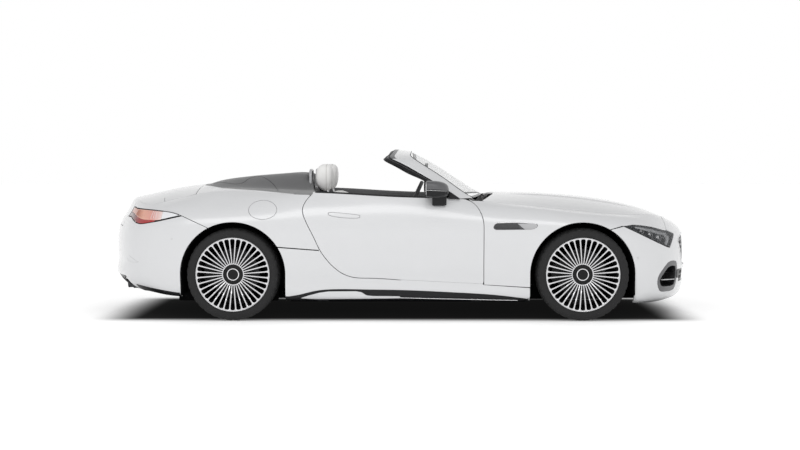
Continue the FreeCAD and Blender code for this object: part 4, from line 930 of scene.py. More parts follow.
def loft_mesh(name, rings, mats, closed=True, caps=True, deg=35, face_mat=None):
    """Skin through rings of equal length (mm)."""
    R = np.asarray(rings, float)
    n, m = R.shape[:2]
    fs = grid_faces(n, m, wrap=closed)
    fm = None if face_mat is None else [face_mat(i, j) for i in range(n - 1) for j in range(m if closed else m - 1)]
    if caps and closed:
        fs.append(tuple(range(m)))
        fs.append(tuple(reversed(range((n - 1) * m, n * m))))
        if fm is not None:
            fm += [fm[0], fm[-1]]
    ob = new_mesh(name, R.reshape(-1, 3), fs, None, True, mats, fm)
    return sharp(outward(ob), deg)


def sweep(name, path, r, mats, n=12, closed=False, taper=None, flat=1.0, up=(0, 0, 1), deg=60):
    """Tube along a path (mm). taper: radius factor at each point; flat: height over width of the section."""
    P = np.asarray(path, float)
    k = len(P)
    T = unit(np.gradient(P, axis=0)) if not closed else unit(np.roll(P, -1, 0) - np.roll(P, 1, 0))
    U = np.asarray(up, float)
    rings = []
    side_prev = None
    for i in range(k):
        s = np.cross(T[i], U)
        if np.linalg.norm(s) < 0.05:
            s = side_prev if side_prev is not None else np.cross(T[i], (1, 0, 0))
        s = unit(s)
        side_prev = s
        v = unit(np.cross(s, T[i]))
        f = 1.0 if taper is None else taper[i]
        rings.append([P[i] + (s * math.cos(a) + v * math.sin(a) * flat) * r * f for a in np.linspace(0, 2 * math.pi, n, endpoint=False)])
    if closed:
        rings.append(rings[0])
        R = np.asarray(rings[:-1])
        fs = []
        for i in range(k):
            for j in range(n):
                fs.append((i * n + j, i * n + (j + 1) % n, ((i + 1) % k) * n + (j + 1) % n, ((i + 1) % k) * n + j))
        return sharp(outward(new_mesh(name, R.reshape(-1, 3), fs, None, True, mats)), deg)
    return loft_mesh(name, rings, mats, True, True, deg)


def lathe(name, prof, centre, axis, mats, n=96, closed=True, deg=35, face_mat=None):
    """Profile (a along the axis, r) turned about the axis through centre."""
    c, ax = np.asarray(centre, float), unit(np.asarray(axis, float))
    h = unit(np.cross(ax, (0, 0, 1) if abs(ax[2]) < 0.9 else (1, 0, 0)))
    k = np.cross(ax, h)
    rings = []
    for i in range(n):
        a = 2 * math.pi * i / n
        d = h * math.cos(a) + k * math.sin(a)
        rings.append([c + ax * p + d * r for p, r in prof])
    R = np.asarray(rings)
    m = len(prof)
    fs, fm = [], []
    for i in range(n):
        for j in range(m if closed else m - 1):
            q = (i * m + j, i * m + (j + 1) % m, ((i + 1) % n) * m + (j + 1) % m, ((i + 1) % n) * m + j)
            fs.append(q)
            fm.append(face_mat(j) if face_mat else 0)
    ob = new_mesh(name, R.reshape(-1, 3), fs, None, True, mats, fm if face_mat else None)
    bm = bmesh.new()
    bm.from_mesh(ob.data)
    bmesh.ops.remove_doubles(bm, verts=bm.verts, dist=1e-6)
    bmesh.ops.recalc_face_normals(bm, faces=bm.faces)
    bm.to_mesh(ob.data)
    bm.free()
    return sharp(ob, deg)


def slab(name, plane, pts, a, b, mats, bevel=2.0, segs=3, deg=40, smooth=True):
    """Polygon in a plane ("xz", "yz" or "xy") drawn out between a and b on the third axis, with rounded edges."""
    third = {"xz": 1, "yz": 0, "xy": 2}[plane]
    i, j = AXES[plane]
    vs = []
    for lv in (a, b):
        for p in pts:
            q = [0.0, 0.0, 0.0]
            q[i], q[j], q[third] = p[0], p[1], lv
            vs.append(q)
    n = len(pts)
    fs = [tuple(range(n)), tuple(reversed(range(n, 2 * n)))] + [(k, (k + 1) % n, n + (k + 1) % n, n + k) for k in range(n)]
    ob = outward(new_mesh(name, vs, fs, None, True, mats))
    if bevel > 0:
        bm = bmesh.new()
        bm.from_mesh(ob.data)
        es = [e for e in bm.edges if e.is_manifold and e.calc_face_angle(0) > math.radians(25)]
        bmesh.ops.bevel(bm, geom=es, offset=bevel * 0.001, segments=segs, profile=0.5, affect="EDGES", clamp_overlap=True)
        bm.to_mesh(ob.data)
        bm.free()
    return sharp(ob, deg)


def joined(name, obs):
    """One object from several."""
    bm = bmesh.new()
    mats = []
    for o in obs:
        k0 = len(mats)
        ms = [m for m in o.data.materials]
        idx = []
        for m in ms:
            if m not in mats:
                mats.append(m)
            idx.append(mats.index(m))
        tmp = bmesh.new()
        tmp.from_mesh(o.data)
        for f in tmp.faces:
            if ms:
                f.material_index = idx[min(f.material_index, len(idx) - 1)]
        me = bpy.data.meshes.new("part")
        tmp.to_mesh(me)
        tmp.free()
        bm.from_mesh(me)
        bpy.data.meshes.remove(me)
    out = bpy.data.meshes.new(name)
    bm.to_mesh(out)
    bm.free()
    ob = bpy.data.objects.new(name, out)
    bpy.context.scene.collection.objects.link(ob)
    for m in mats:
        out.materials.append(m)
    for o in obs:
        me = o.data
        bpy.data.objects.remove(o)
        bpy.data.meshes.remove(me)
    return ob


def mirrored(ob, name):
    """Copy on the other side of the car."""
    me = ob.data.copy()
    me.name = name
    bm = bmesh.new()
    bm.from_mesh(me)
    for v in bm.verts:
        v.co.y = -v.co.y
    bmesh.ops.reverse_faces(bm, faces=bm.faces)
    bm.to_mesh(me)
    bm.free()
    o = bpy.data.objects.new(name, me)
    bpy.context.scene.collection.objects.link(o)
    return o


def on(body, *obs):
    for o in obs:
        if isinstance(o, (list, tuple)):
            on(body, *o)
        else:
            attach(o, body)


# ---------------------------------------------------------------- body panels
GV = 3.7          # outline to the middle of a shut line; the rolled edge takes 1.6 of it
V_SHUT = 18.5
X_DECK_FRONT = -1600.0
R_IN = R_ARCH + 2.5
DOOR_REAR = [(-667, 985), (-705, 945), (-735, 895), (-744, 857), (-734, 811), (-694, 721), (-649, 631), (-621, 569), (-543, 455), (-443, 370), (-372, 341), (-230, 330), (8, 316)]
DOOR_FRONT = [(655, 285), (655, 500), (655, 727), (640, 814), (611, 872), (569, 915), (512, 940), (455, 957)]


def offset_line(pts, d):
    """Points moved d to the left of their direction of travel."""
    out = []
    for i, p in enumerate(pts):
        a = pts[max(i - 1, 0)]
        b = pts[min(i + 1, len(pts) - 1)]
        t = (b[0] - a[0], b[1] - a[1])
        m = math.hypot(*t)
        out.append((p[0] - t[1] / m * d, p[1] + t[0] / m * d))
    return out


def arc(cx, cz, r, a0, a1, step=12.0):
    n = max(3, int(abs(math.radians(a1 - a0)) * r / step))
    return [(cx + r * math.cos(math.radians(a0 + (a1 - a0) * i / n)), cz + r * math.sin(math.radians(a0 + (a1 - a0) * i / n))) for i in range(n + 1)]


def line_q(a, b, step=12.0):
    """Straight run in the domain."""
    return np.array(dense([tuple(a), tuple(b)], step))


def join(*runs):
    """Closed outline from runs of domain points, without repeated ones."""
    out = []
    for r in runs:
        for p in r:
            if not out or math.dist(out[-1], p) > 2.0:
                out.append((float(p[0]), float(p[1])))
    while math.dist(out[0], out[-1]) < 2.0:
        out.pop()
    return np.array(out)


def xz(pts, near=(-1, 81)):
    return locate("xz", pts, near)


def u_at(x, v, near):
    """Station where level v has this x."""
    lo, hi = near
    for _ in range(50):
        mid = (lo + hi) / 2
        if side_eval(np.array([mid]), np.array([v]))[0][0, 0] > x:
            lo = mid
        else:
            hi = mid
    return lo


rear_run = smooth_run(DOOR_REAR, 12)
bot_run = dense([(8, 316), (655, 285)], 12)
front_run = dense([(655, 285), (655, 700)], 12)[:-1] + smooth_run([(655, 700)] + DOOR_FRONT[2:], 10)
MID = (22, 62)
TOPV = 19.97
VT = TOPV * SV
VS = (V_SHUT - 0.04) * SV

# door skin
a = xz(offset_line(rear_run[:-1] + bot_run, GV), MID)
b = xz(offset_line(front_run, GV)[1:], MID)
a[-1] = a[-2] + (a[-2] - a[-3])
a, b = a[a[:, 1] < 19.9 * SV], b[b[:, 1] < 19.9 * SV]
corner = xz([(655 - GV - 2, 285 + GV + 4)], MID)
a = a[a[:, 0] > corner[0, 0] + 6]
b = b[b[:, 1] > corner[0, 1] + 6]
door_out = join([(a[0][0], VT)], a, corner, b, [(b[-1][0], VT)], line_q((b[-1][0], VT), (a[0][0], VT)))
HANDLE = [(-548, 830), (-545, 838), (-530, 841), (-480, 839), (-400, 832), (-330, 824), (-303, 819), (-297, 811), (-300, 799), (-315, 792), (-380, 791), (-460, 797), (-520, 808), (-543, 818)]
handle_q = xz(dense(HANDLE, 7, closed=True), MID)


door_skin = panel("door_left.skin", surf_side, door_out, [handle_q], t=9, gap=16, mirror=True, mats=[M_PAINT])


# front fender
VENT = [(725, 727), (737, 748), (757, 757), (840, 760), (919, 761), (1000, 757), (1063, 750), (1068, 738), (1060, 722), (1040, 711), (1020, 706), (950, 705), (820, 703), (746, 703), (729, 712)]
vent_q = xz(dense(VENT, 9, closed=True), MID)
f_low = [(655 + GV, 283.0), (1417.5 - R_IN - 1.6, 263.0)]
arch_f = [(1417.5 - R_IN, 263.0), (1417.5 - R_IN, 350)] + arc(1417.5, R_TYRE, R_IN, 179, 59.3)
split_f = offset_line(dense([(1628, 708), (1724, 734), (1733, 731), (1814, 741)], 12) + smooth_run([(1814, 741), (1890, 733), (1962, 721), (2030, 704), (2092, 686)], 12)[1:] + [(2106, 684)], GV)
split_f = [(x, max(z, 708 + GV) if x < 1640 else z) for x, z in split_f]
fr = xz(dense(f_low, 12)[:-1] + dense(arch_f[:2], 12) + arch_f[2:] + split_f, (5, 36))
tip = xz([(2110.6, 694), (2109.4, 715), (2107.6, 742), (2105.6, 765)], (5, 12))
tip = tip[tip[:, 1] < VS - 5]
u1 = u_at(2104.6, V_SHUT, (3, 12)) * SU
bk = xz(offset_line(front_run, -GV)[1:], (22, 36))
bk = bk[(bk[:, 1] < VS - 6)]
fender_out = join(fr, tip, [(u1, VS)], line_q((u1, VS), (bk[-1][0], VS)), bk[::-1])
fender = panel("front_fender_left.skin", surf_side, fender_out, [vent_q], t=8, gap=16, mirror=True, mats=[M_PAINT])

# rear quarter
arc_r = arc(X_REAR_AXLE, R_TYRE, R_IN, 32.5, 117.2)
lowq = dense([(-621 - GV, 547 + GV), (-933, 572 + GV)], 12)
split_r = offset_line(dense([(-1468, 718), (-1675, 811)], 12) + smooth_run([(-1675, 811), (-1737, 833), (-1799, 844), (-1900, 853), (-2000, 858), (-2090, 862)], 12)[1:], -GV)
rq = xz(lowq + arc_r + [p for p in split_r if p[0] < -1469], (46, 76))
lim = locate("yz", [(472 + 2, 905), (472 + 2, 868)], (66, 78, 12, 20))
# outer lamp-top run goes on by level until the boot-lid edge
uq = lim[:, 0]
fq = xz([p for p in offset_line(rear_run, -GV) if p[1] > 553], MID)
fq = fq[fq[:, 1] < VS - 6]
last = rq[-1]
endq = np.array([[uq[0], last[1] + (uq[0] - last[0]) * 0.0]])
tl_top = []
for y_ in (560, 520, 490, 474):
    tl_top.append((y_, 866 + GV + (560 - y_) * 0.05))
tlq = locate("yz", tl_top, (66, 78, 12, 20))
quarter_out = join(rq, tlq[tlq[:, 0] > last[0] + 6], line_q((tlq[-1][0], tlq[-1][1] + 8), (tlq[-1][0], VS), 10), line_q((tlq[-1][0], VS), (fq[0][0], VS)), fq)
quarter = panel("rear_quarter_left.skin", surf_side, quarter_out, [], t=8, gap=16, mats=[M_PAINT])

# sill
s_top = [(1417.5 - R_IN - 1.6, 256 - 3)] + [(655, 277.0)]
sill_u = offset_line(rear_run, -GV)
sill_run = [p for p in sill_u if p[0] > -618 and p[1] < 560]
sl = xz(dense([(1417.5 - R_IN - 1.6, 254), (655, 277)], 12) + [(x, z) for x, z in reversed(offset_line(sill_run + bot_run[1:], 0))][1:] + dense([(-616, 543 - GV), (-931, 568 - GV)], 12), (22, 60))
arc_s = xz(list(reversed(arc(X_REAR_AXLE, R_TYRE, R_IN, 1, 30.5))) + [(X_REAR_AXLE + R_IN, 350), (X_REAR_AXLE + R_IN, 300), (X_REAR_AXLE + R_IN, 250), (X_REAR_AXLE + R_IN, 200)], (44, 60))
ua = u_at(X_REAR_AXLE + R_IN, 0.05, (40, 62)) * SU
ub = u_at(1417.5 - R_IN, 0.05, (15, 35)) * SU
up_f = xz([(1417.5 - R_IN, 190), (1417.5 - R_IN, 225)], (15, 36))
sill_out = join(sl, arc_s, [(ua, 2.0)], line_q((ua, 2.0), (ub, 2.0)), up_f)
sill = panel("sills.left", surf_side, sill_out, [], t=8, gap=18, mirror=True, mats=[M_PAINT])
# nose
nose_arch = [(1417.5 + R_IN, 200), (1417.5 + R_IN, 250), (1417.5 + R_IN, 300), (1417.5 + R_IN, 350)] + arc(1417.5, R_TYRE, R_IN, 1, 58.2)
n1 = xz(nose_arch, (3, 22))
n2 = xz(offset_line(dense([(1632, 708.6), (1733, 731)], 12) + smooth_run([(1733, 731), (1827, 688), (1941, 634), (2060, 580), (2127, 552)], 12)[1:], -GV)[1:], (3, 22))
LAMP_F = dense([(2134, 549), (2152, 579), (2172, 613), (2188, 641)], 9)[:-1] + smooth_run([(2188, 641), (2193, 652), (2186, 660), (2172, 667), (2142, 678), (2121, 688)], 8)
n3 = xz(LAMP_F + dense([(2117, 696), (2115.6, 715), (2113.4, 742), (2111.0, 770)], 12), (2, 14))
n3 = n3[n3[:, 1] < VS - 6]
ue = u_at(2109.8, V_SHUT, (2, 12)) * SU
un = u_at(1417.5 + R_IN, 0.05, (5, 22)) * SU
nl = join([(un, 2.0)], n1, n2, n3, [(ue, VS)])
nose_out = join([(-p[0], p[1]) for p in nl][::-1], line_q((-un, 2.0), (un, 2.0))[1:-1], nl, line_q((ue, VS), (-ue, VS))[1:-1])
GRILLE = [(0, 652), (165, 650), (330, 640), (430, 618), (470, 590), (466, 560), (452, 520), (428, 472), (398, 430), (375, 405), (345, 392), (200, 386), (0, 385)]
INTAKE = [(545, 440), (600, 449), (650, 449), (692, 437), (728, 408), (756, 376), (773, 350), (781, 325), (782, 300), (778, 274), (766, 246), (749, 222), (727, 210), (701, 206), (600, 203), (535, 210), (514, 232), (500, 280), (500, 330), (512, 385), (526, 420)]
LOWER = [(462, 372), (470, 362), (452, 276), (442, 266), (0, 266)]
NB = (-17, 17, 0.3, 19)
gq = locate("yz", dense(GRILLE, 10), (0, 12, 0.3, 19))
grille_q = join(gq, [(-p[0], p[1]) for p in gq[::-1]])
intake_q = locate("yz", dense(INTAKE, 8, closed=True), (0, 17, 0.3, 17))
lq = locate("yz", dense([(0, 372)] + LOWER, 10), (0, 12, 0.2, 17))
lower_q = join(lq, [(-p[0], p[1]) for p in lq[::-1]])
nose = panel("front_bumper.skin", surf_side, nose_out, [grille_q, intake_q, np.stack([-intake_q[:, 0], intake_q[:, 1]], -1)[::-1], lower_q], t=10, gap=16, mats=[M_PAINT])

# tail
TLB = [(-1675, 811), (-1770, 790), (-1869, 768), (-1960, 752), (-2020, 745), (-2060, 752), (-2095, 770), (-2125, 790)]
t1 = xz([(X_REAR_AXLE - R_IN, 350), (X_REAR_AXLE - R_IN, 300), (X_REAR_AXLE - R_IN, 260), (X_REAR_AXLE - R_IN, 225)], (55, 72))
t0 = xz(arc(X_REAR_AXLE, R_TYRE, R_IN, 179, 118.5), (55, 72))
t2 = xz(offset_line(dense([(-1468, 719), (-1675, 811)], 12) + smooth_run(TLB, 12)[1:], GV)[1:], (55, 76))
t3 = locate("yz", [(690, 788.5), (640, 788.5), (600, 788.5), (560, 788.5), (520, 788.5), (476, 788.5)], (66, 80, 10, 20))
t3 = t3[t3[:, 0] > t2[-1][0] + 5]
t4 = locate("yz", [(472, 784), (471, 760), (470, 730), (469, 716), (462, 715 - 1.7)], (66, 80, 10, 20))
t5 = locate("yz", dense([(450, 713.3), (0, 713.3)], 12), (66, 80.5, 9, 20))
ur = u_at(X_REAR_AXLE - R_IN, 0.05, (55, 75)) * SU
t6 = locate("yz", dense([(0, 330), (640, 330)], 12) + dense([(640, 330), (668, 215)], 10)[1:], (60, 80.5, 0, 9))
UM = 80 * SU
tl_half = join(t6[1:], [(t6[-1][0] - 2, 2.0)], line_q((t6[-1][0] - 12, 2.0), (ur, 2.0)), t1[::-1], t0, t2, t3, t4, t5[:-1])
tail_out = join(tl_half, [(2 * UM - p[0], p[1]) for p in tl_half[::-1]])
pl = locate("yz", dense([(-262, 430), (262, 430), (262, 548), (-262, 548)], 10, closed=True), (70, 90, 3, 17))
tail = panel("rear_bumper.skin", surf_side, tail_out, [pl], t=10, gap=16, mats=[M_PAINT])


# bonnet
def shut_line(u0, u1, inset, step=0.15):
    us = np.arange(u0, u1 + 1e-6, step)
    p, du, dv = side_eval(us, np.full(len(us), V_SHUT))
    t = unit(du[:, :2])
    n = np.stack([-t[:, 1], t[:, 0]], -1)
    s = np.sign(-(n * p[:, :2]).sum(-1))
    return p[:, :2] + n * s[:, None] * inset


_ep = side_eval(np.linspace(0.5, 79.5, 1500), np.full(1500, V_SHUT))[0]


def edge_lift(x, y, base):
    """How far a top panel comes up or down near its side edge to lie level with the body side."""
    front = x > 0
    m = (_ep[:, 0] > 200) & (_ep[:, 0] < 2130) if front else (_ep[:, 0] < -300) & (_ep[:, 0] > -2150)
    P = _ep[m]
    o = np.argsort(P[:, 0])
    ys, zs = np.interp(x, P[o, 0], P[o, 1]), np.interp(x, P[o, 0], P[o, 2])
    t = min(max((abs(y) - (ys - 90)) / 80.0, 0), 1)
    if t <= 0:
        return 0.0
    far = min(1.0, max(0.0, (2230 - abs(x)) / 100.0))
    return (zs - base(x, ys)) * t * t * (3 - 2 * t) * far


def bonnet_rear(y):
    return 775.0 - 112.0 * (y / 700.0) ** 2


def bonnet_look(x, y):
    """The height, with two long raised bands that fade at both ends."""
    z = bonnet_z(x, y)
    yc = 250 + 0.10 * (x - 700)
    k = min(max((x - 790) / 300.0, 0), 1) * min(max((2130 - x) / 500.0, 0), 1)
    k = k * k * (3 - 2 * k)
    d = abs(y) - yc
    if -170 < d < 40:
        if d < 0:
            t = 1 + d / 170.0
            h = t * t * (3 - 2 * t)
        else:
            t = 1 - d / 40.0
            h = t * t * (3 - 2 * t)
        z += 7.0 * k * h
    return z + edge_lift(x, y, bonnet_z)


be = shut_line(0.0, 32.5, GAP + 0.6)
be = be[be[:, 0] > 672]
rear = [(bonnet_rear(y) + 2, y) for y in np.linspace(-be[-1][1] + 6, be[-1][1] - 6, 110)]
half = [tuple(p) for p in be]
bonnet_out = join(rear, half[::-1], [(x, -y) for x, y in half[1:]])
bonnet = panel("bonnet.skin", height_surf(bonnet_look), bonnet_out, [], t=14, gap=18, mats=[M_PAINT])

# boot lid: deck and rear face as one smooth sheet
def boot_grid():
    ys = np.linspace(-760, 760, 77)
    rows = []
    lim = side_eval(np.linspace(80, 68, 400), np.full(400, 18.6))[0]
    ly, lx = np.r_[lim[:, 1], 722, 762], np.r_[lim[:, 0], -1892, -1800]
    for y in ys:
        ay = abs(y)
        af = min(ay, 680.0)
        xl = np.interp(ay, ly, lx)
        dx = xl - np.interp(af, ly, lx)
        deck = [(x, y, deck_z(x, y) + edge_lift(x, y, deck_z)) for x in np.linspace(-1590, xl + 14, 24)]
        vs = np.linspace(17.9, 9.0, 18)
        face = []
        for v in vs:
            us = np.linspace(66, 80, 721)
            p = side_eval(us, np.full(721, v))[0]
            kk = np.argmin(np.abs(p[:, 1] - af))
            face.append((p[kk, 0] + dx, y, p[kk, 2]))
        rows.append(deck + face)
    return np.array(rows)


BG = boot_grid()
# even out the level of every row so that the lip runs true
for c in (0, 2):
    for j in range(BG.shape[1]):
        col = BG[:, j, c].copy()
        BG[1:-1, j, c] = 0.25 * col[:-2] + 0.5 * col[1:-1] + 0.25 * col[2:]
sb = bs_surf(BG, 20.0, 24.0)


def boot_surf(q):
    p, n = sb(q)
    s = np.where(n[:, 2:3] + n[:, 0:1] * -0.6 < 0, -1.0, 1.0)
    return p, n * s


def boot_q(pts, ax, jr):
    """Domain points on the boot sheet from two coordinates."""
    gi, gj = np.meshgrid(np.arange(0, 76.01, 0.5), np.arange(jr[0], jr[1] + 0.01, 0.25), indexing="ij")
    gp = sb.ev(gi.ravel(), gj.ravel())[0][:, ax]
    gq = np.stack([gi.ravel(), gj.ravel()], -1)
    pts = np.asarray(pts, float)
    q = gq[((pts[:, None] - gp[None]) ** 2).sum(-1).argmin(1)].copy()
    for _ in range(10):
        p, pu, pv = sb.ev(q[:, 0], q[:, 1])
        f = pts - p[:, ax]
        a, b = pu[:, ax], pv[:, ax]
        det = a[:, 0] * b[:, 1] - a[:, 1] * b[:, 0]
        det = np.where(np.abs(det) < 1e-6, 1e-6, det)
        q += np.clip(np.stack([(f[:, 0] * b[:, 1] - f[:, 1] * b[:, 0]) / det, (a[:, 0] * f[:, 1] - a[:, 1] * f[:, 0]) / det], -1), -0.7, 0.7)
    return q * np.array([20.0, 24.0])


de = shut_line(63.0, 77.0, GAP + 0.6)
de = de[(de[:, 0] < X_DECK_FRONT - 2) & (de[:, 1] > 470)]
d1 = boot_q([(X_DECK_FRONT - 1.6, y) for y in np.linspace(-de[0][1] + 4, de[0][1] - 4, 90)], [0, 1], (0, 23))
d2 = boot_q([tuple(p) for p in de], [0, 1], (0, 23.5))
fz = [(461 - 1.0, z) for z in np.arange(900, 724, -9)] + [(y, 722) for y in np.arange(455, -456, -12)] + [(-460, z) for z in np.arange(724, 901, 9)]
d3 = boot_q(fz, [1, 2], (25, 41))
boot_out = join(d1, d2, d3, np.stack([1520 - d2[:, 0], d2[:, 1]], -1)[::-1])
boot = panel("boot_lid.skin", boot_surf, boot_out, [], t=12, gap=15, mats=[M_PAINT])

# tonneau cover with its two fairings
FAIR_H = pchip([-1600, -1560, -1440, -1213, -1000, -809, -755, -715, -680, -650], [0, 6, 36, 72, 100, 121, 120, 96, 40, 0])


def tonneau_z(x, y):
    t = (abs(y) - 370.0) / 235.0
    b = (1 - t * t) ** 2 if abs(t) < 1 else 0.0
    return deck_z(x, y) + max(FAIR_H(x), 0.0) * b + edge_lift(x, y, deck_z)


te = shut_line(44.0, 66.0, GAP + 0.6)
te = te[(te[:, 0] > X_DECK_FRONT + GAP + 2) & (te[:, 0] < -642)]
tf = smooth_run([(-642, te[0][1]), (-655, 690), (-674, 600), (-692, 400), (-696, 200), (-697, 0), (-696, -200), (-692, -400), (-674, -600), (-655, -690), (-642, -te[0][1])], 12)
XE = X_DECK_FRONT + GAP + 1.6
k0 = [p for p in te if p[0] > -662]
K = k0[-1]
TCOR = smooth_run([(k0[-1][0], k0[-1][1]), (K[0] - 90, K[1] + (708 - K[1]) * 0.12), (K[0] - 200, K[1] + (708 - K[1]) * 0.40), (K[0] - 310, K[1] + (708 - K[1]) * 0.74), (-1075, 708), (-1160, 688), (-1271, 662), (-1370, 614), (-1455, 550), (-1520, 474), (-1562, 380), (-1586, 210), (XE, 0)], 14)
half = [tuple(p) for p in k0] + TCOR[1:-1]
ton_out = join(half, [(XE, 0.0)], [(x, -y) for x, y in half[::-1]], tf[::-1])
tc = shut_line(50.0, 64.0, 2.2)
tc = [tuple(p) for p in tc if XE < p[0] < K[0] - 150]
cin = [p for p in offset_line(TCOR, -4.4) if p[1] > 190 and p[0] > XE + 2 and p[0] < K[0] - 154]
corner_out = join(tc, [(XE, y) for y in np.arange(tc[-1][1] - 6, cin[-1][1], -14)], cin[::-1])

deck_corner = panel("rear_deck_left.corner", height_surf(tonneau_z), corner_out, [], t=8, gap=16, r=1.2, mirror=True, mats=[M_PAINT])
tonneau = panel("tonneau_cover.skin", height_surf(tonneau_z), ton_out, [], t=10, gap=16, mats=[M_COVER])
# ---------------------------------------------------------------- wheels
def wheel_parts(tag, tr, w):
    """Tyre, rim, cap, rotor of a left wheel, centred at y = tr/2 on the axle line z = 0, x = 0."""
    yc, hw = tr / 2, w / 2
    c = (0, yc, 0)
    # tyre: sidewall with bead line and shoulder, tread with four grooves
    half = [(-hw + 26, 279), (-hw + 15, 283), (-hw + 7, 290), (-hw + 3.4, 293), (-hw + 3.4, 296), (-hw + 1.6, 298), (-hw + 0.6, 306), (-hw, 314), (-hw + 0.2, 322), (-hw + 1.8, 330), (-hw + 1.0, 331.5), (-hw + 3.0, 336),
            (-hw + 6, 341), (-hw + 11, 346.5), (-hw + 17, 350.6), (-hw + 24, 353.6)]
    grooves = [-0.58, -0.2, 0.2, 0.58]
    tread_half = hw - 30
    tread = []

    def crown_r(y):
        return 358.0 - 4.2 * (abs(y) / (hw - 24)) ** 3
    ys = [-hw + 30, -hw + 38]
    for g in grooves:
        gy = g * tread_half
        ys += [gy - 6.2, gy - 4.4, gy + 4.4, gy + 6.2]
    ys += [hw - 38, hw - 30]
    for i, y in enumerate(ys):
        r = crown_r(y)
        if 2 <= i < len(ys) - 2 and (i - 2) % 4 in (1, 2):
            r -= 7.5
        tread.append((y, r))
    mid = []
    for (y0, r0), (y1, r1) in zip(tread, tread[1:]):
        mid.append((y0, r0))
        if y1 - y0 > 12:
            for k in (1, 2):
                y = y0 + (y1 - y0) * k / 3
                mid.append((y, crown_r(y)))
    mid.append(tread[-1])
    prof = half + mid + [(-y, r) for y, r in reversed(half)]
    n = 180
    rings = []
    for i in range(n):
        a = 2 * math.pi * i / n
        ring = []
        for y, r in prof:
            ay = abs(y)
            rr = r
            if ay > 0.62 * tread_half and r > 346 and i % 5 == 0:
                rr = r - 5.0
            elif 0.26 * tread_half < ay < 0.52 * tread_half and r > 350 and i % 6 == (2 if y > 0 else 5):
                rr = r - 4.0
            ring.append((rr * math.cos(a), yc + y, rr * math.sin(a)))
        rings.append(ring)
    R = np.array(rings)
    m = len(prof)
    fs = [(i * m + j, i * m + j + 1, ((i + 1) % n) * m + j + 1, ((i + 1) % n) * m + j) for i in range(n) for j in range(m - 1)]
    # inner side, closed by a plain band under the rim
    fs += [(i * m + m - 1, i * m, ((i + 1) % n) * m, ((i + 1) % n) * m + m - 1) for i in range(n)]
    tyre = sharp(outward(new_mesh("tyre_%s.body" % tag, R.reshape(-1, 3), fs, None, True, [M_TYRE])), 38)

    out = yc + (w - 14) / 2
    # dish of thin spokes: one pierced sheet with machined face and dark sides
    dish = natural([0, 74, 90, 150, 220, 262, 280, 300], [-36, -35, -31, -20, -12, -8, -6.5, -4])

    def dsurf(q):
        r = np.hypot(q[:, 0], q[:, 1])
        y = np.array([dish(t) for t in r]) + out
        s = np.array([(dish(t + 1) - dish(t - 1)) / 2 for t in r])
        u = q / np.maximum(r[:, None], 1e-6)
        n_ = unit(np.stack([-s * u[:, 0], np.ones(len(q)), -s * u[:, 1]], -1))
        return np.stack([q[:, 0], y, q[:, 1]], -1), n_
    N = 36
    holes = [[(70 * math.cos(t), 70 * math.sin(t)) for t in np.linspace(0, 2 * math.pi, 72, endpoint=False)]]
    for k in range(N):
        a = 2 * math.pi * k / N
        pts = []

        def hwid(r):
            sp = 4.6 + (r - 84) / (262 - 84) * 2.4
            return math.pi * r / N - sp / 2 - 1.2
        rr = [86, 110, 140, 170, 200, 230, 260]
        left = [(r, hwid(r)) for r in rr]
        he = hwid(260)
        end = []
        for t in np.linspace(0, math.pi, 9)[1:-1]:
            end.append((260 + 15.5 * math.sin(t) ** 0.75, he * math.copysign(abs(math.cos(t)) ** 0.75, math.cos(t))))
        hi = hwid(86)
        inner = [(86 - hi * 0.75, 0.0)]
        for r, h in left:
            pts.append((r, h))
        pts += end
        for r, h in reversed(left):
            pts.append((r, -h))
        pts += inner
        holes.append([(r * math.cos(a) - h * math.sin(a), r * math.sin(a) + h * math.cos(a)) for r, h in pts])
    outer = [(280.5 * math.cos(t), 280.5 * math.sin(t)) for t in np.linspace(0, 2 * math.pi, 216, endpoint=False)]
    web = panel("w", dsurf, np.array(outer), [np.array(h) for h in holes], t=17, r=1.0, gap=9, mats=[M_ALLOY, M_WDARK], edge_mat=1)
    # lip and barrel
    lip = lathe("l", [(out - 24, 280), (out - 8, 280.2), (out - 6, 281.2), (out - 5.2, 282.6), (out - 5.2, 284.6), (out - 7, 286.6), (out - 10, 287.8), (out - 14, 288.2), (out - 22, 285), (out - 30, 281)], (0, 0, 0), (0, 1, 0), [M_ALLOY, M_WDARK], n=180, face_mat=lambda j: 0 if 1 <= j < 5 else 1)
    barrel = lathe("b", [(out - 20, 276), (out - 34, 262), (out - 60, 254), (yc - hw + 46, 252), (yc - hw + 30, 262), (yc - hw + 16, 276), (yc - hw + 9, 283), (yc - hw + 10, 287), (yc - hw + 18, 287), (yc - hw + 34, 272), (yc - hw + 52, 258.5), (out - 62, 259.5), (out - 40, 268), (out - 22, 279.5)],
                   (0, 0, 0), (0, 1, 0), [M_WDARK], n=120)
    # hub disc, its bright ring and domed cap
    hub = lathe("h", [(out - 70, 0.01), (out - 70, 76), (out - 37, 79), (out - 33.5, 78), (out - 31.5, 75), (out - 31, 60), (out - 31.4, 49), (out - 33, 48.4), (out - 33, 40), (out - 30, 38.6), (out - 28.6, 30), (out - 27.8, 18), (out - 27.5, 0.01)],
                (0, 0, 0), (0, 1, 0), [M_WDARK], n=96)
    ring = lathe("r", [(out - 33.4, 39.4), (out - 29.2, 39.8), (out - 27.8, 41.0), (out - 27.4, 43.6), (out - 27.8, 46.2), (out - 29.2, 47.6), (out - 33.4, 48.0)], (0, 0, 0), (0, 1, 0), [M_CHROME], n=96)
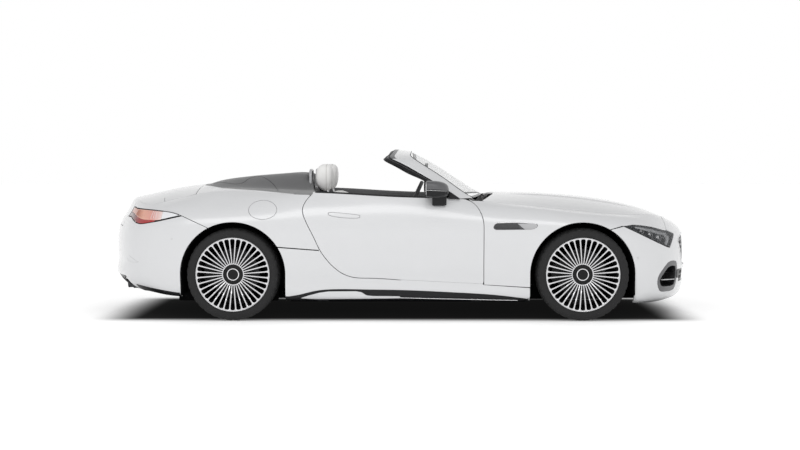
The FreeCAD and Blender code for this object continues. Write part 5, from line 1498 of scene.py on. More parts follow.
    # shallow dimples round the hub disc
    dim = []
    for k in range(5):
        a = 2 * math.pi * k / 5 + 0.3
        dim.append(lathe("d", [(out - 31.2, 9.5), (out - 29.8, 9.2), (out - 29.2, 8.0), (out - 29.0, 6.6), (out - 30.6, 6.2), (out - 31.8, 0.01)], (61 * math.cos(a), 0, 61 * math.sin(a)), (0, 1, 0), [M_WDARK], n=24, closed=False))
    rim = joined("rim_%s.wheel" % tag, [web, lip, barrel, hub, ring] + dim)
    # ventilated rotor with drilled face and its bell
    y0 = out - 165
    holes = []
    for k in range(30):
        a = 2 * math.pi * k / 30
        for j, r in enumerate((132, 150, 168)):
            aa = a + j * 0.09
            cx, cz = r * math.cos(aa), r * math.sin(aa)
            holes.append(np.array([(cx + 3.4 * math.cos(t), cz + 3.4 * math.sin(t)) for t in np.linspace(0, 2 * math.pi, 8, endpoint=False)]))
    holes.append(np.array([(112 * math.cos(t), 112 * math.sin(t)) for t in np.linspace(0, 2 * math.pi, 60, endpoint=False)]))

    def flat(yv, s):
        def f(q):
            return np.stack([q[:, 0], np.full(len(q), yv), q[:, 1]], -1), np.tile([0, s, 0.0], (len(q), 1))
        return f
    disc = panel("k", flat(y0 + 31, 1.0), np.array([(193 * math.cos(t), 193 * math.sin(t)) for t in np.linspace(0, 2 * math.pi, 120, endpoint=False)]), holes, t=30, r=1.2, gap=16, mats=[M_STEEL])
    bell = lathe("e", [(y0 + 31, 113), (y0 + 34, 112), (y0 + 60, 100), (y0 + 66, 96), (y0 + 66, 60), (out - 72, 58), (out - 72, 20), (y0 + 4, 20), (y0 + 4, 113)], (0, 0, 0), (0, 1, 0), [M_CAST], n=72)
    rotor = joined("rim_%s.rotor" % tag, [disc, bell])
    return tyre, rim, rotor


def wheels():
    for tag, xa, tr, w in (("front", X_FRONT_AXLE, 1605.0, 275.0), ("rear", X_REAR_AXLE, 1585.0, 305.0)):
        parts = wheel_parts(tag + "_left", tr, w)
        for ob in parts:
            ob.data.transform(Matrix.Translation((xa / 1000, 0, R_TYRE / 1000)))
        right = [mirrored(o, o.name.replace("_left", "_right")) for o in parts]
        for side_, ps in (("left", parts), ("right", right)):
            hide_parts("tyre_%s_%s" % (tag, side_))
            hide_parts("rim_%s_%s" % (tag, side_))
            on("wheel_%s_%s" % (tag, side_), *ps)


wheels()
# ---------------------------------------------------------------- windscreen
WS_C = natural([0, 0.28, 0.5, 0.78, 1.0], [682, 581, 442, 234, 96]), natural([0, 0.28, 0.5, 0.78, 1.0], [968, 1026, 1116, 1244, 1314])
WS_S = [natural([0, 0.25, 0.5, 0.75, 1.0], c) for c in ([574, 478, 350, 221, 118], [780, 745, 700, 655, 614], [946, 1009, 1100, 1184, 1249])]


def glass_pt(a, b):
    cx, cz = WS_C[0](b), WS_C[1](b)
    sx, sy, sz = (f(b) for f in WS_S)
    return (cx + (sx - cx) * a * a, a * sy, cz + (sz - cz) * a * a)


def glass_surf(q):
    """q: (across -1..1 times 760, up 0..1 times 620)."""
    a, b = q[:, 0] / 760.0, q[:, 1] / 620.0
    p = np.array([glass_pt(x, y) for x, y in zip(a, b)])
    e = 0.004
    pa = np.array([glass_pt(x + e, y) for x, y in zip(a, b)]) - np.array([glass_pt(x - e, y) for x, y in zip(a, b)])
    pb = np.array([glass_pt(x, y + e) for x, y in zip(a, b)]) - np.array([glass_pt(x, y - e) for x, y in zip(a, b)])
    n = unit(np.cross(pa, pb))
    return p, n * np.sign(n[:, 2:3])


def round_rect(x0, x1, y0, y1, r, step=14):
    out = []
    for cx, cy, a0 in ((x1 - r, y1 - r, 0), (x0 + r, y1 - r, 90), (x0 + r, y0 + r, 180), (x1 - r, y0 + r, 270)):
        out += arc(cx, cy, r, a0, a0 + 90, step)
    return dense(out, step, closed=True)


go = np.array(round_rect(-0.968 * 760, 0.968 * 760, 10, 0.985 * 620, 62, 14))
glass = panel("windscreen.glass", lambda q: (lambda p, n: (p - n * 1.2, n))(*glass_surf(q)), go, [], t=4.4, r=0.8, gap=26, mats=[M_GLASS])
# painted border band inside the glass edge
band_in = np.array(round_rect(-0.968 * 760 + 24, 0.968 * 760 - 24, 46, 0.985 * 620 - 30, 46, 14))
band = panel("windscreen.border", lambda q: (lambda p, n: (p - n * 6.4, n))(*glass_surf(q)), go, [band_in], t=1.0, r=0.3, gap=14, mats=[M_BLACK])

A_R = [(574, 780, 946), (478, 745, 1009), (350, 700, 1100), (221, 655, 1184), (126, 613, 1246), (94, 550, 1272), (90, 430, 1292), (94, 220, 1309), (96, 0, 1314)]
B_R = [(466, 836, 944), (388, 800, 1004), (240, 748, 1096), (99, 700, 1178), (2, 664, 1228), (-58, 618, 1256), (-60, 490, 1290), (-40, 250, 1322), (-25, 0, 1331)]
C_R = [(416, 800, 925), (330, 768, 975), (195, 722, 1074), (66, 672, 1132), (-40, 630, 1190), (-128, 580, 1238), (-112, 470, 1264), (-86, 240, 1298), (-70, 0, 1306)]
D_R = [(520, 700, 925), (430, 672, 985), (300, 632, 1075), (170, 592, 1150), (78, 552, 1205), (36, 500, 1228), (30, 410, 1246), (40, 220, 1268), (44, 0, 1272)]


def rail(pts, m):
    full = pts + [(x, -y, z) for x, y, z in reversed(pts[:-1])]
    t = chord(full)
    f = [natural(t, [p[c] for p in full]) for c in range(3)]
    return np.array([[g(t[-1] * i / (m - 1)) for g in f] for i in range(m)])


def frame_rings(m=121):
    return [rail(r, m) for r in (A_R, B_R, C_R, D_R)]


def lerp(a, b, t):
    return a * (1 - t) + b * t


def ws_frame():
    m = 161
    A, B, C, D = frame_rings(m)
    # section: outer face from the glass edge (A) over to the rear corner (B), rubber step, inner trim back to the glass
    cen = (A + B + C + D) / 4

    def pin(P, k):
        return P + (cen - P) * k
    sec = [pin(A, .02), lerp(A, B, .03), lerp(A, B, .5), lerp(A, B, .80), lerp(A, B, .97), pin(B, .03), lerp(B, C, .06)]
    rub = [lerp(B, C, .10), lerp(B, C, .16), lerp(B, C, .5) , lerp(B, C, .9), pin(C, .05), lerp(C, D, .08), lerp(C, D, .3)]
    inn = [lerp(C, D, .34), lerp(C, D, .66), pin(D, .08), lerp(D, A, .2), lerp(D, A, .8), lerp(D, A, .97)]
    rings = np.stack(sec + rub + inn, 1)
    k1, k2 = len(sec), len(sec) + len(rub)

    def fm(i, j):
        y = abs(cen[i][1])
        header = y < 585
        if j < k1 - 1:
            if header and j >= 3:
                return 1          # rear cap of the header
            return 0
        if j < k2 - 1:
            return 2
        if j < len(rings[0]) - 2:
            return 3
        return 2
    ob = loft_mesh("windscreen_frame.shell", rings, [M_PAINT, M_GREY, M_BLACK, M_TOPTRIM], True, True, 28, fm)
    return ob


wsf = ws_frame()
# seals along the pillar: two thin lips and a fine bright line between
def along_pillar(name, mix, r, mat, i0=4, i1=157, m=161):
    A, B, C, D = frame_rings(m)
    P = mix(A, B, C, D)
    return sweep(name, P[i0:i1], r, [mat], n=8)


seal1 = along_pillar("windscreen_frame.seal_upper", lambda A, B, C, D: lerp(B, C, .16), 3.4, M_PLAST)
seal2 = along_pillar("windscreen_frame.seal_lower", lambda A, B, C, D: lerp(B, C, .62), 5.0, M_PLAST)
line1 = along_pillar("windscreen_frame.bright_line", lambda A, B, C, D: lerp(B, C, .34), 1.6, M_GREY)
rim1 = along_pillar("windscreen.moulding", lambda A, B, C, D: lerp(A, B, .0) + np.array([0, 0, .6]), 2.2, M_PLAST, 3, 158)
# ---------------------------------------------------------------- trays and bands let into the body side
def lifted(surf, d):
    def s(q):
        p, n = surf(q)
        return p + n * d, n
    return s


def ring_pts(surf, q, d, inset=0.0):
    p, n = surf(q)
    t = unit(np.roll(p, -1, 0) - np.roll(p, 1, 0))
    o = unit(np.cross(t, n))
    c = p.mean(0)
    if ((p - c) * o).sum() < 0:
        o = -o
    return p + n * d - o * inset


def wall_band(name, surf, q, d0, d1, w, mats, inset=0.0, taper=0.0):
    """Closed wall round an outline, from depth d0 to depth d1."""
    r = [ring_pts(surf, q, d0, inset), ring_pts(surf, q, d1, inset + taper), ring_pts(surf, q, d1, inset + taper + w), ring_pts(surf, q, d0, inset + w)]
    R = np.array(r)
    m = R.shape[1]
    fs = [(i * m + j, i * m + (j + 1) % m, ((i + 1) % 4) * m + (j + 1) % m, ((i + 1) % 4) * m + j) for i in range(4) for j in range(m)]
    return sharp(outward(new_mesh(name, R.reshape(-1, 3), fs, None, True, mats)), 40)


def shrink(q, d):
    """Domain outline moved inwards by about d."""
    q = np.asarray(q, float)
    a = 0.5 * (np.roll(q, -1, 0) - np.roll(q, 1, 0))
    a /= np.maximum(np.linalg.norm(a, axis=1, keepdims=True), 1e-9)
    s = np.sign(((q - np.roll(q, 1, 0))[:, 0] * (q + np.roll(q, 1, 0))[:, 1]).sum())
    o = np.stack([a[:, 1], -a[:, 0]], -1) * s
    return q + o * d


def even(q, step):
    """Closed outline with evenly spaced points."""
    q = np.asarray(q, float)
    c = np.concatenate([q, q[:1]])
    s = np.concatenate([[0], np.cumsum(np.linalg.norm(np.diff(c, axis=0), axis=1))])
    m = max(8, int(round(s[-1] / step)))
    t = np.linspace(0, s[-1], m, endpoint=False)
    return np.stack([np.interp(t, s, c[:, 0]), np.interp(t, s, c[:, 1])], -1)


# ---------------------------------------------------------------- right rear quarter and the fuel flap
def ell(k):
    return [(-1050 + (108 + k) * math.cos(t), 858 + (72 + k) * math.sin(t)) for t in np.linspace(0, 2 * math.pi, 72, endpoint=False)]


flap_hole = xz(ell(3.2), (50, 62))
quarter_r = panel("rear_quarter_left.skin", surf_side, quarter_out, [flap_hole], t=8, gap=16, mirror="only", mats=[M_PAINT])
flap_q = xz(ell(-1.8), (50, 62))
flap = panel("fuel_flap_left.skin", surf_side, flap_q, [], t=5, gap=14, mirror="only", mats=[M_PAINT])
fin_q = xz([(-1050 + 92 * math.cos(t), 858 + 56 * math.sin(t)) for t in np.linspace(0, 2 * math.pi, 60, endpoint=False)], (50, 62))
flap_in = panel("fuel_flap_left.inner", lifted(surf_side, -5.2), fin_q, [], t=4, r=1.0, gap=16, mirror="only", mats=[M_PLAST])
pocket_q = xz(ell(9), (50, 62))
pocket = [wall_band("fuel_pocket_left.wall", surf_side, pocket_q, -9, -46, 3, [M_PLAST], taper=8), panel("fuel_pocket_left.floor", lifted(surf_side, -44), xz(ell(0), (50, 62)), [], t=3, r=.6, gap=18, mats=[M_PLAST])]
pc, pn = surf_side(xz([(-1060, 856)], (50, 62)))
pc, pn = pc[0], pn[0]
cap_prof = [(-43, 0.01), (-43, 38), (-34, 38), (-33, 36), (-32, 31), (-30.5, 30), (-22, 29.4), (-20.5, 28), (-20, 25), (-20, 0.01)]
pocket.append(lathe("fuel_pocket_left.cap", cap_prof, pc, pn, [M_LINER], n=48, closed=False))
pocket.append(slab("fuel_pocket_left.grip", "xz", [(-1084, 850), (-1036, 850), (-1036, 862), (-1084, 862)], pc[1] - 22, pc[1] - 12, [M_PLAST], bevel=3))
pocket_r = []
for o in pocket:
    pocket_r.append(mirrored(o, o.name.replace("_left", "")))
    me_ = o.data
    bpy.data.objects.remove(o)
    bpy.data.meshes.remove(me_)

# ---------------------------------------------------------------- flush door handles
handle_in = even(shrink(handle_q, 6.4), 8)
handles = panel("door_left.handle", lifted(surf_side, 0.4), handle_in, [], t=7, r=1.2, gap=9, mirror=True, mats=[M_PAINT])
hb = wall_band("door_left.handle_recess", surf_side, even(shrink(handle_q, -3), 9), -8.6, -22, 2.5, [M_BLACK])
hf = panel("door_left.handle_floor", lifted(surf_side, -20), even(shrink(handle_q, -2), 9), [], t=2, r=.5, gap=16, mats=[M_BLACK])
handle_back = joined("door_left.handle_box", [hb, hf])
handle_back = [handle_back, mirrored(handle_back, "door_right.handle_box")]

# ---------------------------------------------------------------- side vents
def vent_depth(p, n, q, surf):
    x = p[:, 0]
    k = np.clip((x - 925) / 135.0, 0, 1)
    k = k * k * (3 - 2 * k)
    d = -15.0 + 13.0 * k
    return p + n * d[:, None], n


VD = [(727, 727), (738, 746), (757, 755), (840, 757), (905, 757), (925, 740), (962, 706), (950, 706), (820, 705), (746, 705), (731, 713)]
VL = [(911, 757), (1000, 755), (1058, 748), (1064, 738), (1057, 724), (1038, 713), (1018, 708), (968, 707), (930, 741)]
vent_dark = panel("side_vent_left.duct", surf_side, even(xz(dense(VD, 8, closed=True), MID), 9), [], t=3, r=.6, gap=12, mirror=True, mats=[M_GREY], shape=vent_depth)
vent_light = panel("side_vent_left.blade", surf_side, even(xz(dense(VL, 8, closed=True), MID), 9), [], t=3, r=.8, gap=10, mirror=True, mats=[M_SILVER], shape=vent_depth)
vent_wall = wall_band("side_vent_left.wall", surf_side, even(shrink(vent_q, -2.5), 9), -7.5, -19, 2, [M_BLACK])
vent_wall = [vent_wall, mirrored(vent_wall, "side_vent_right.wall")]


def on_side(pts, d, near=MID, plane="xz"):
    q = locate(plane, pts, near)
    p, n = surf_side(q)
    return p + n * d


vl = []
vl.append(sweep("side_vent_left.strip", on_side(smooth_run([(742, 756), (760, 759.5), (840, 762.5), (919, 763.5), (1000, 759.5), (1062, 752.5)], 14), 0.5), 2.3, [M_CHROME], n=10))
for k in range(4):
    z = 714 + 10 * k
    vl.append(sweep("side_vent_left.slat%d" % k, on_side([(738 + 4 * abs(k - 1.5), z), (820, z + 2), (926 + 6 * (2 - k), z + 2)], -11.5), 2.2, [M_BLACK], n=8, flat=0.5))
vent_trim = joined("side_vent_left.trim", vl)
vent_trim = [vent_trim, mirrored(vent_trim, "side_vent_right.trim")]

# ---------------------------------------------------------------- sill strips
ST_TOP = [(-876, 186), (-780, 200), (-699, 220), (-620, 236), (-544, 243), (-299, 243), (8, 238), (446, 219), (784, 196), (1000, 168)]
st_up = xz(smooth_run(ST_TOP, 14), MID)
st_lo = line_q((st_up[0][0], 4.0), (st_up[-1][0], 4.0), 14)
st_up = st_up[st_up[:, 1] > 8]
strip_q = join(st_up, st_lo[::-1])
sill_strip = panel("sills.strip_left", lifted(surf_side, 2.2), strip_q, [], t=3, r=1.0, gap=18, mirror=True, mats=[M_BLACK])
BLADE = [(-756, 178), (-700, 196), (-613, 219), (-540, 228), (-330, 229), (-290, 222), (-250, 197), (-200, 192), (8, 190), (8, 177), (-300, 173), (-640, 171)]
blade = panel("sills.blade_left", lifted(surf_side, 5.6), even(xz(dense(BLADE, 10, closed=True), MID), 10), [], t=3.6, r=1.2, gap=14, mirror=True, mats=[M_PAINT])
bright = sweep("sills.bright_left", on_side(smooth_run([(8, 180), (446, 170), (919, 160)], 30), 4.4), 2.6, [M_CHROME], n=10)
bright = [bright, mirrored(bright, "sills.bright_right")]

# ---------------------------------------------------------------- parking sensors
sens = []
for x, z in ((1843, 487), (-1750, 634)):
    p_, n_ = surf_side(xz([(x, z)], (3, 30) if x > 0 else (55, 76)))
    sens.append(lathe("sensor_left", [(-3, 9.5), (0.6, 9.4), (1.1, 8.6), (1.2, 7.8), (0.9, 7.2), (1.1, 6.4), (1.2, 0.01), (-3, 0.01)], p_[0], n_[0], [M_JAMB], n=32))
sensors = joined("bumper_sensors_left", sens)
sensors = [sensors, mirrored(sensors, "bumper_sensors_right")]

# ---------------------------------------------------------------- headlamps
LT = smooth_run([(1742, 731.5), (1814, 741), (1890, 733), (1962, 721), (2030, 704), (2092, 686)], 12)
lt = xz(offset_line(LT, -GV - 0.6), (3, 22))
LB = smooth_run([(1733, 731), (1827, 688), (1941, 634), (2060, 580), (2127, 552)], 12)
lb = xz(offset_line(LB, GV + 0.6)[1:], (3, 22))
lf_ = xz(LAMP_F, (2, 14))
c_in = np.array([xz([(2040, 650)], (3, 22))[0]])
# front edge of the lamp, moved back by the gap
lf_in = lf_ + (c_in - lf_) / np.linalg.norm(c_in - lf_, axis=1, keepdims=True) * 6.4
lt = lt[lt[:, 0] > lf_in[-1][0] + 4]
lb = lb[lb[:, 0] > lf_in[0][0] + 4]
lamp_q = even(join(lb, lf_in, lt[::-1]), 9)
lamp_cover = panel("headlamp_left.cover", surf_side, lamp_q, [], t=3, r=1.0, gap=16, mirror=True, mats=[M_COVERGLASS])
lamp_floor = panel("headlamp_left.housing", lifted(surf_side, -46), even(shrink(lamp_q, 2), 12), [], t=3, r=.6, gap=22, mats=[M_LAMPD])
lamp_wall = wall_band("headlamp_left.wall", surf_side, lamp_q, -4.5, -48, 3, [M_LAMPD], inset=0.5, taper=2.0)
dr = []
DRL_T = smooth_run([(1835, 733), (1890, 727), (1962, 714), (2030, 698), (2092, 680), (2130, 668)], 12)
DRL_B = smooth_run([(1835, 727), (1890, 713), (1962, 694), (2030, 676), (2080, 664), (2118, 652)], 12)
drl_q = even(join(xz(DRL_T, (3, 20)), xz(DRL_B, (3, 20))[::-1]), 8)
dr.append(panel("lw", lifted(surf_side, -14), drl_q, [], t=8, r=2.4, gap=10, mats=[M_LAMPW]))
FR_T = [(2104, 655), (2140, 650), (2152, 640), (2150, 620), (2132, 590), (2118, 574), (2104, 588), (2122, 620)]
dr.append(panel("lf", lifted(surf_side, -16), even(xz(dense(FR_T, 8, closed=True), (2, 16)), 8), [], t=7, r=2.0, gap=10, mats=[M_LAMPW]))
for x, z, r in ((1905, 690, 17), (1985, 664, 24), (2062, 634, 30)):
    p_, n_ = surf_side(xz([(x, z)], (3, 22)))
    n_ = unit(n_[0] * np.array([1, 1, .4]) + np.array([0.5, 0, 0]))
    dr.append(lathe("lm", [(-44, r + 2), (-19, r + 2), (-17, r + 1), (-17, r - 1), (-19, r - 3), (-21, r - 3.4), (-18, r - 6), (-14, r * .6), (-11.5, r * .3), (-10.8, 0.01), (-44, 0.01)], p_[0] - n_ * 4, n_, [M_CHROME, M_LAMPD], n=48, face_mat=lambda j: 0 if j < 4 else 1))
lamp_parts = joined("headlamp_left.modules", dr)
lamp_body = joined("headlamp_left.body", [lamp_floor, lamp_wall])
lamp_pair = [lamp_body, mirrored(lamp_body, "headlamp_right.body"), lamp_parts, mirrored(lamp_parts, "headlamp_right.modules")]

# ---------------------------------------------------------------- tail lamps
TT = smooth_run([(-1675, 811), (-1737, 833), (-1799, 844), (-1900, 853), (-2000, 858), (-2090, 862)], 12)
TB = smooth_run(TLB, 12)
tt = xz(offset_line(TT, GV + 0.6)[2:], (55, 76))
tb = xz(offset_line(TB, -GV - 0.6)[2:], (55, 76))
ty = locate("yz", [(y_, 866 - GV + (560 - y_) * 0.05) for y_ in (600, 560, 520, 490, 478)], (66, 78, 12, 20))
by = locate("yz", [(y_, 795.9) for y_ in (690, 640, 600, 560, 520, 490, 478)], (66, 80, 10, 20))
ty = ty[ty[:, 0] > tt[-1][0] + 6]
by = by[by[:, 0] > tb[-1][0] + 6]
lens_top = np.concatenate([tt, ty])
lens_bot = np.concatenate([tb, by])
tail_q = even(join(lens_top, line_q(ty[-1], by[-1], 9), lens_bot[::-1]), 9)


def at_u(run, u):
    o = np.argsort(run[:, 0])
    return np.array([u, np.interp(u, run[o, 0], run[o, 1])])


def part_between(u0, u1, top, bot, step=9):
    us = np.linspace(u0, u1, max(3, int((u1 - u0) / step)))
    return even(join(np.array([at_u(top, u) for u in us]), np.array([at_u(bot, u) for u in us])[::-1]), step)


u_tip = xz([(-1688, 813)], (55, 76))[0, 0]
u_w = xz([(-1838, 812)], (55, 76))[0, 0]
u_end = min(ty[-1][0], by[-1][0]) - 1.0
us_ = np.linspace(u_w, u_end, 60)
# curve between the pale upper field and the deep red lower one
split_v = []
for u in us_:
    a_, b_ = at_u(lens_top, u)[1], at_u(lens_bot, u)[1]
    k = (u - u_w) / (u_end - u_w)
    f = 0.02 + 0.52 * (k ** 0.8)
    split_v.append(b_ + (a_ - b_) * f)
split_run = np.stack([us_, np.array(split_v)], -1)
top_in = lens_top + np.array([0, -1.0])
wtip = part_between(u_tip + 4, u_w - 2, top_in, lens_bot + np.array([0, 9.0]))
pale_q = part_between(u_w + 2, u_end, top_in + np.array([0, -3.0]), split_run + np.array([0, 2.5]))
u_r = u_w + (u_end - u_w) * 0.10
red_q = part_between(u_r, u_end, split_run + np.array([0, -2.5]), lens_bot + np.array([0, 2.0]))
tl_lens = [panel("tw", lifted(surf_side, -1.0), wtip, [], t=5, r=1.2, gap=10, mats=[M_LAMPW]),
           panel("tp", lifted(surf_side, -1.2), pale_q, [], t=6, r=1.6, gap=10, mats=[M_REDTOP]),
           panel("tr", lifted(surf_side, -0.8), red_q, [], t=6, r=1.6, gap=10, mats=[M_RED])]
# fine ribs of the light guides
for k in range(2, 16):
    f = k / 17.0
    u = u_w + (u_end - u_w) * 0.72 * f + 8
    a_, b_ = at_u(lens_top, u), at_u(split_run, u)
    qq = np.array([[u - 5 + 10 * t, b_[1] + 10 + (a_[1] - b_[1] - 20) * t] for t in np.linspace(0, 1, 5)])
    pp, nn = surf_side(qq)
    tl_lens.append(sweep("tg", pp - nn * 0.2, 1.5, [M_LAMPW if k < 5 else M_REDTOP], n=6))
tail_lens = joined("tail_lamp_left.lenses", tl_lens)
tl_floor = panel("tf", lifted(surf_side, -20), even(shrink(tail_q, 2), 12), [], t=3, r=.6, gap=22, mats=[M_BLACK])
tl_wall = wall_band("tb", surf_side, tail_q, -1.5, -22, 2.5, [M_BLACK], inset=0.3)
tl_body = joined("tail_lamp_left.body", [tl_floor, tl_wall])
tail_pair = [tl_body, mirrored(tl_body, "tail_lamp_right.body"), tail_lens, mirrored(tail_lens, "tail_lamp_right.lenses")]

# ---------------------------------------------------------------- grille, intakes, lower mesh
def hexes(q, pitch, size):
    lo, hi = q.min(0), q.max(0)
    out = []
    rows = np.arange(lo[1], hi[1], pitch * 0.866)
    for r, yv in enumerate(rows):
        for xv in np.arange(lo[0], hi[0], pitch):
            c = np.array([xv + (pitch / 2 if r % 2 else 0.0), yv])
            h = np.array([c + size * np.array([math.cos(t), math.sin(t)]) for t in np.linspace(math.pi / 6, 2 * math.pi + math.pi / 6, 6, endpoint=False)])
            if inside(q, h).all() and seg_dist(q, h).min() > 6:
                out.append(h)
    return out


gri_q = even(shrink(grille_q, -4), 14)
mesh_g = panel("grille.mesh", lifted(surf_side, -26), gri_q, hexes(gri_q, 40, 17.5), t=6, r=1.0, gap=30, mats=[M_BLACK])
low_q = even(shrink(lower_q, -4), 14)
mesh_l = panel("grille.lower_mesh", lifted(surf_side, -11), low_q, hexes(low_q, 36, 15.5), t=5, r=1.0, gap=30, mats=[M_BLACK])
g_wall = wall_band("grille.surround", surf_side, even(shrink(grille_q, -1.5), 12), -9, -40, 3, [M_BLACK])
l_wall = wall_band("grille.lower_surround", surf_side, even(shrink(lower_q, -1.5), 12), -9, -40, 3, [M_BLACK])
gp_ = ring_pts(surf_side, even(grille_q, 12), 0.5, 4.0)
g_rim = sweep("grille.bright_rim", gp_, 4.2, [M_CHROME], n=10, closed=True)
bars = []
for k, z in enumerate((600, 560, 520, 480, 440)):
    half = {600: 452, 560: 455, 520: 440, 480: 420, 440: 392}[z]
    pts = [(y, z) for y in np.linspace(-half, half, 41)]
    pl_, nl_ = surf_side(np.stack([locate("yz", [(abs(a), b)], (0, 14, 0.3, 19))[0] * np.array([1 if a >= 0 else -1, 1]) for a, b in pts]))
    bars.append(sweep("gb", pl_ - nl_ * 20, 6.0, [M_GREY], n=10, flat=1.5))
zs_ = np.linspace(388, 650, 40)
ps_, ns_ = surf_side(locate("yz", [(0.0, z) for z in zs_], (0, 14, 0.3, 19)))
bars.append(sweep("gv", ps_ - ns_ * 5.0, 6.5, [M_SILVER], n=12, flat=1.2))
g_bars = joined("grille.bars", bars)
BRG = [(458, 364), (478, 371), (506, 371), (519, 352), (519, 318), (505, 303), (478, 300), (457, 306)]
bridge = panel("grille.bridge_left", lifted(surf_side, 2.6), even(locate("yz", dense(BRG, 8, closed=True), (0, 16, 0.3, 17)), 8), [], t=3.2, r=1.0, gap=12, mirror=True, mats=[M_BLACK])
# side intakes: grey surround, dark duct, body-coloured fin
ring_o = even(shrink(intake_q, 2.2), 9)
ring_i = even(shrink(intake_q, 34), 9)
in_ring = panel("intake_left.surround", lifted(surf_side, -1.5), ring_o, [ring_i], t=6, r=1.6, gap=12, mirror=True, mats=[M_GREY])
duct = [wall_band("iw", surf_side, even(shrink(intake_q, 30), 9), -7, -92, 3, [M_BLACK], taper=12),
        wall_band("iv", surf_side, even(shrink(intake_q, -1.5), 9), -8, -20, 3, [M_BLACK])]
fl_q = even(shrink(intake_q, 40), 9)
duct.append(panel("im", lifted(surf_side, -90), fl_q, hexes(fl_q, 26, 10.5), t=4, r=.8, gap=24, mats=[M_PLAST]))
duct.append(panel("ib", lifted(surf_side, -98), fl_q, [], t=3, r=.6, gap=26, mats=[M_LINER]))
duct = joined("intake_left.duct", duct)
duct = [duct, mirrored(duct, "intake_right.duct")]
fin = []
for zc, d0, th in ((298, -4, 5.0), (250, -16, 3.6), (350, -24, 3.0), (400, -30, 3.0)):
    ys = np.linspace(528, 724, 15)
    pf, nf = surf_side(locate("yz", [(y, zc + 6 * (y - 640) / 100) for y in ys], (0, 17, 0.3, 17)))
    fin.append(sweep("if", pf + nf * (d0 - 10), 12.0, [M_PAINT if zc == 298 else M_BLACK], n=10, flat=th / 12.0))
fins = joined("intake_left.fins", fin)
fins = [fins, mirrored(fins, "intake_right.fins")]

# ---------------------------------------------------------------- rear valance, tips, plate, lower trim and creases
VAL = [(0, 321), (300, 321), (560, 322), (632, 322), (640, 316), (654, 250), (662, 222)]
vq = locate("yz", dense(VAL, 12), (60, 80.5, 0, 9))
val_half = join(vq[1:], [(vq[-1][0] - 1, 2.0)])
tips_q = []
TIPS = [(488, 262), (592, 266)]
for y_, z_ in TIPS:
    e = locate("yz", [(y_ + 49 * math.cos(t), z_ + 49 * math.sin(t)) for t in np.linspace(0, 2 * math.pi, 40, endpoint=False)], (60, 80.5, 0, 9))
    tips_q.append(e)
val_out = join(val_half, [(2 * UM - p[0], p[1]) for p in val_half[::-1]])
th = [t for t in tips_q] + [np.stack([2 * UM - t[:, 0], t[:, 1]], -1)[::-1] for t in tips_q]
slots = []
for k in range(6):
    yc_ = -270 + 108 * k
    sl_ = locate("yz", [(abs(y), z) for y, z in dense([(yc_ - 42, 244), (yc_ + 42, 244), (yc_ + 42, 292), (yc_ - 42, 292)], 10, closed=True)], (60, 80.5, 0, 9))
    src = dense([(yc_ - 42, 244), (yc_ + 42, 244), (yc_ + 42, 292), (yc_ - 42, 292)], 10, closed=True)
    slots.append(np.array([[q[0] if s[0] >= 0 else 2 * UM - q[0], q[1]] for q, s in zip(sl_, src)]))
valance = panel("rear_valance.skin", lifted(surf_side, -5), val_out, th + slots, t=8, r=1.6, gap=18, mats=[M_BLACK])
val_back = panel("rear_valance.backing", lifted(surf_side, -40), join(locate("yz", dense([(0, 300), (330, 300), (330, 236), (0, 236)], 12), (60, 80.5, 0, 9))[1:-1], [(2 * UM - p[0], p[1]) for p in locate("yz", dense([(0, 300), (330, 300), (330, 236), (0, 236)], 12), (60, 80.5, 0, 9))[1:-1][::-1]]), [], t=3, r=.6, gap=26, mats=[M_LINER])
tips = []
for y_, z_ in TIPS:
    x0 = -2165 + (y_ - 488) * 0.6
    prof = [(0, 41), (-3.5, 43), (-6.5, 42.4), (-7, 40), (-5, 37.4), (0, 36.4), (90, 35), (133, 35), (133, 41)]
    for s_ in (1, -1):
        tips.append(lathe("tip", [(a - 3, r) for a, r in prof], (x0, s_ * y_, z_), (1, 0, 0), [M_CHROME, M_GREY], n=64, face_mat=lambda j: 0 if 2 <= j < 5 else 1))
tips = joined("exhaust.tips", tips)
plate = [wall_band("rear_plate.recess", surf_side, even(pl, 12), -8.5, -17, 3, [M_PAINT], inset=-0.5),
         panel("rear_plate.floor", lifted(surf_side, -13), even(shrink(pl, -1.5), 14), [], t=3, r=.6, gap=26, mats=[M_PAINT]),
         panel("rear_plate.blank", lifted(surf_side, -9.5), even(shrink(pl, 4), 12), [], t=2, r=.8, gap=22, mats=[M_LAMPW])]
TRIM_T = [(-1700, 214), (-1800, 228), (-1900, 243), (-2000, 258), (-2070, 268)]
tq_ = xz(smooth_run(TRIM_T, 14), (55, 76))
lowtrim_q = join(tq_, [(tq_[-1][0], 3.0)], line_q((tq_[-1][0], 3.0), (tq_[0][0], 3.0), 14)[1:])
lowtrim = panel("rear_bumper.lower_trim_left", lifted(surf_side, 1.6), even(lowtrim_q, 12), [], t=2.6, r=.8, gap=16, mirror=True, mats=[M_BLACK])
cr = [sweep("c1", on_side(smooth_run([(-2128, 496), (-2100, 480), (-2060, 458), (-2030, 448)], 12), -0.2, (60, 80)), 2.0, [M_JAMB], n=8),
      sweep("c2", on_side(smooth_run([(-2150, 470), (-2130, 452), (-2090, 442), (-2035, 446)], 12), -0.2, (60, 80)), 1.6, [M_JAMB], n=8)]
crease = joined("rear_bumper.creases_left", cr)
crease = [crease, mirrored(crease, "rear_bumper.creases_right")]

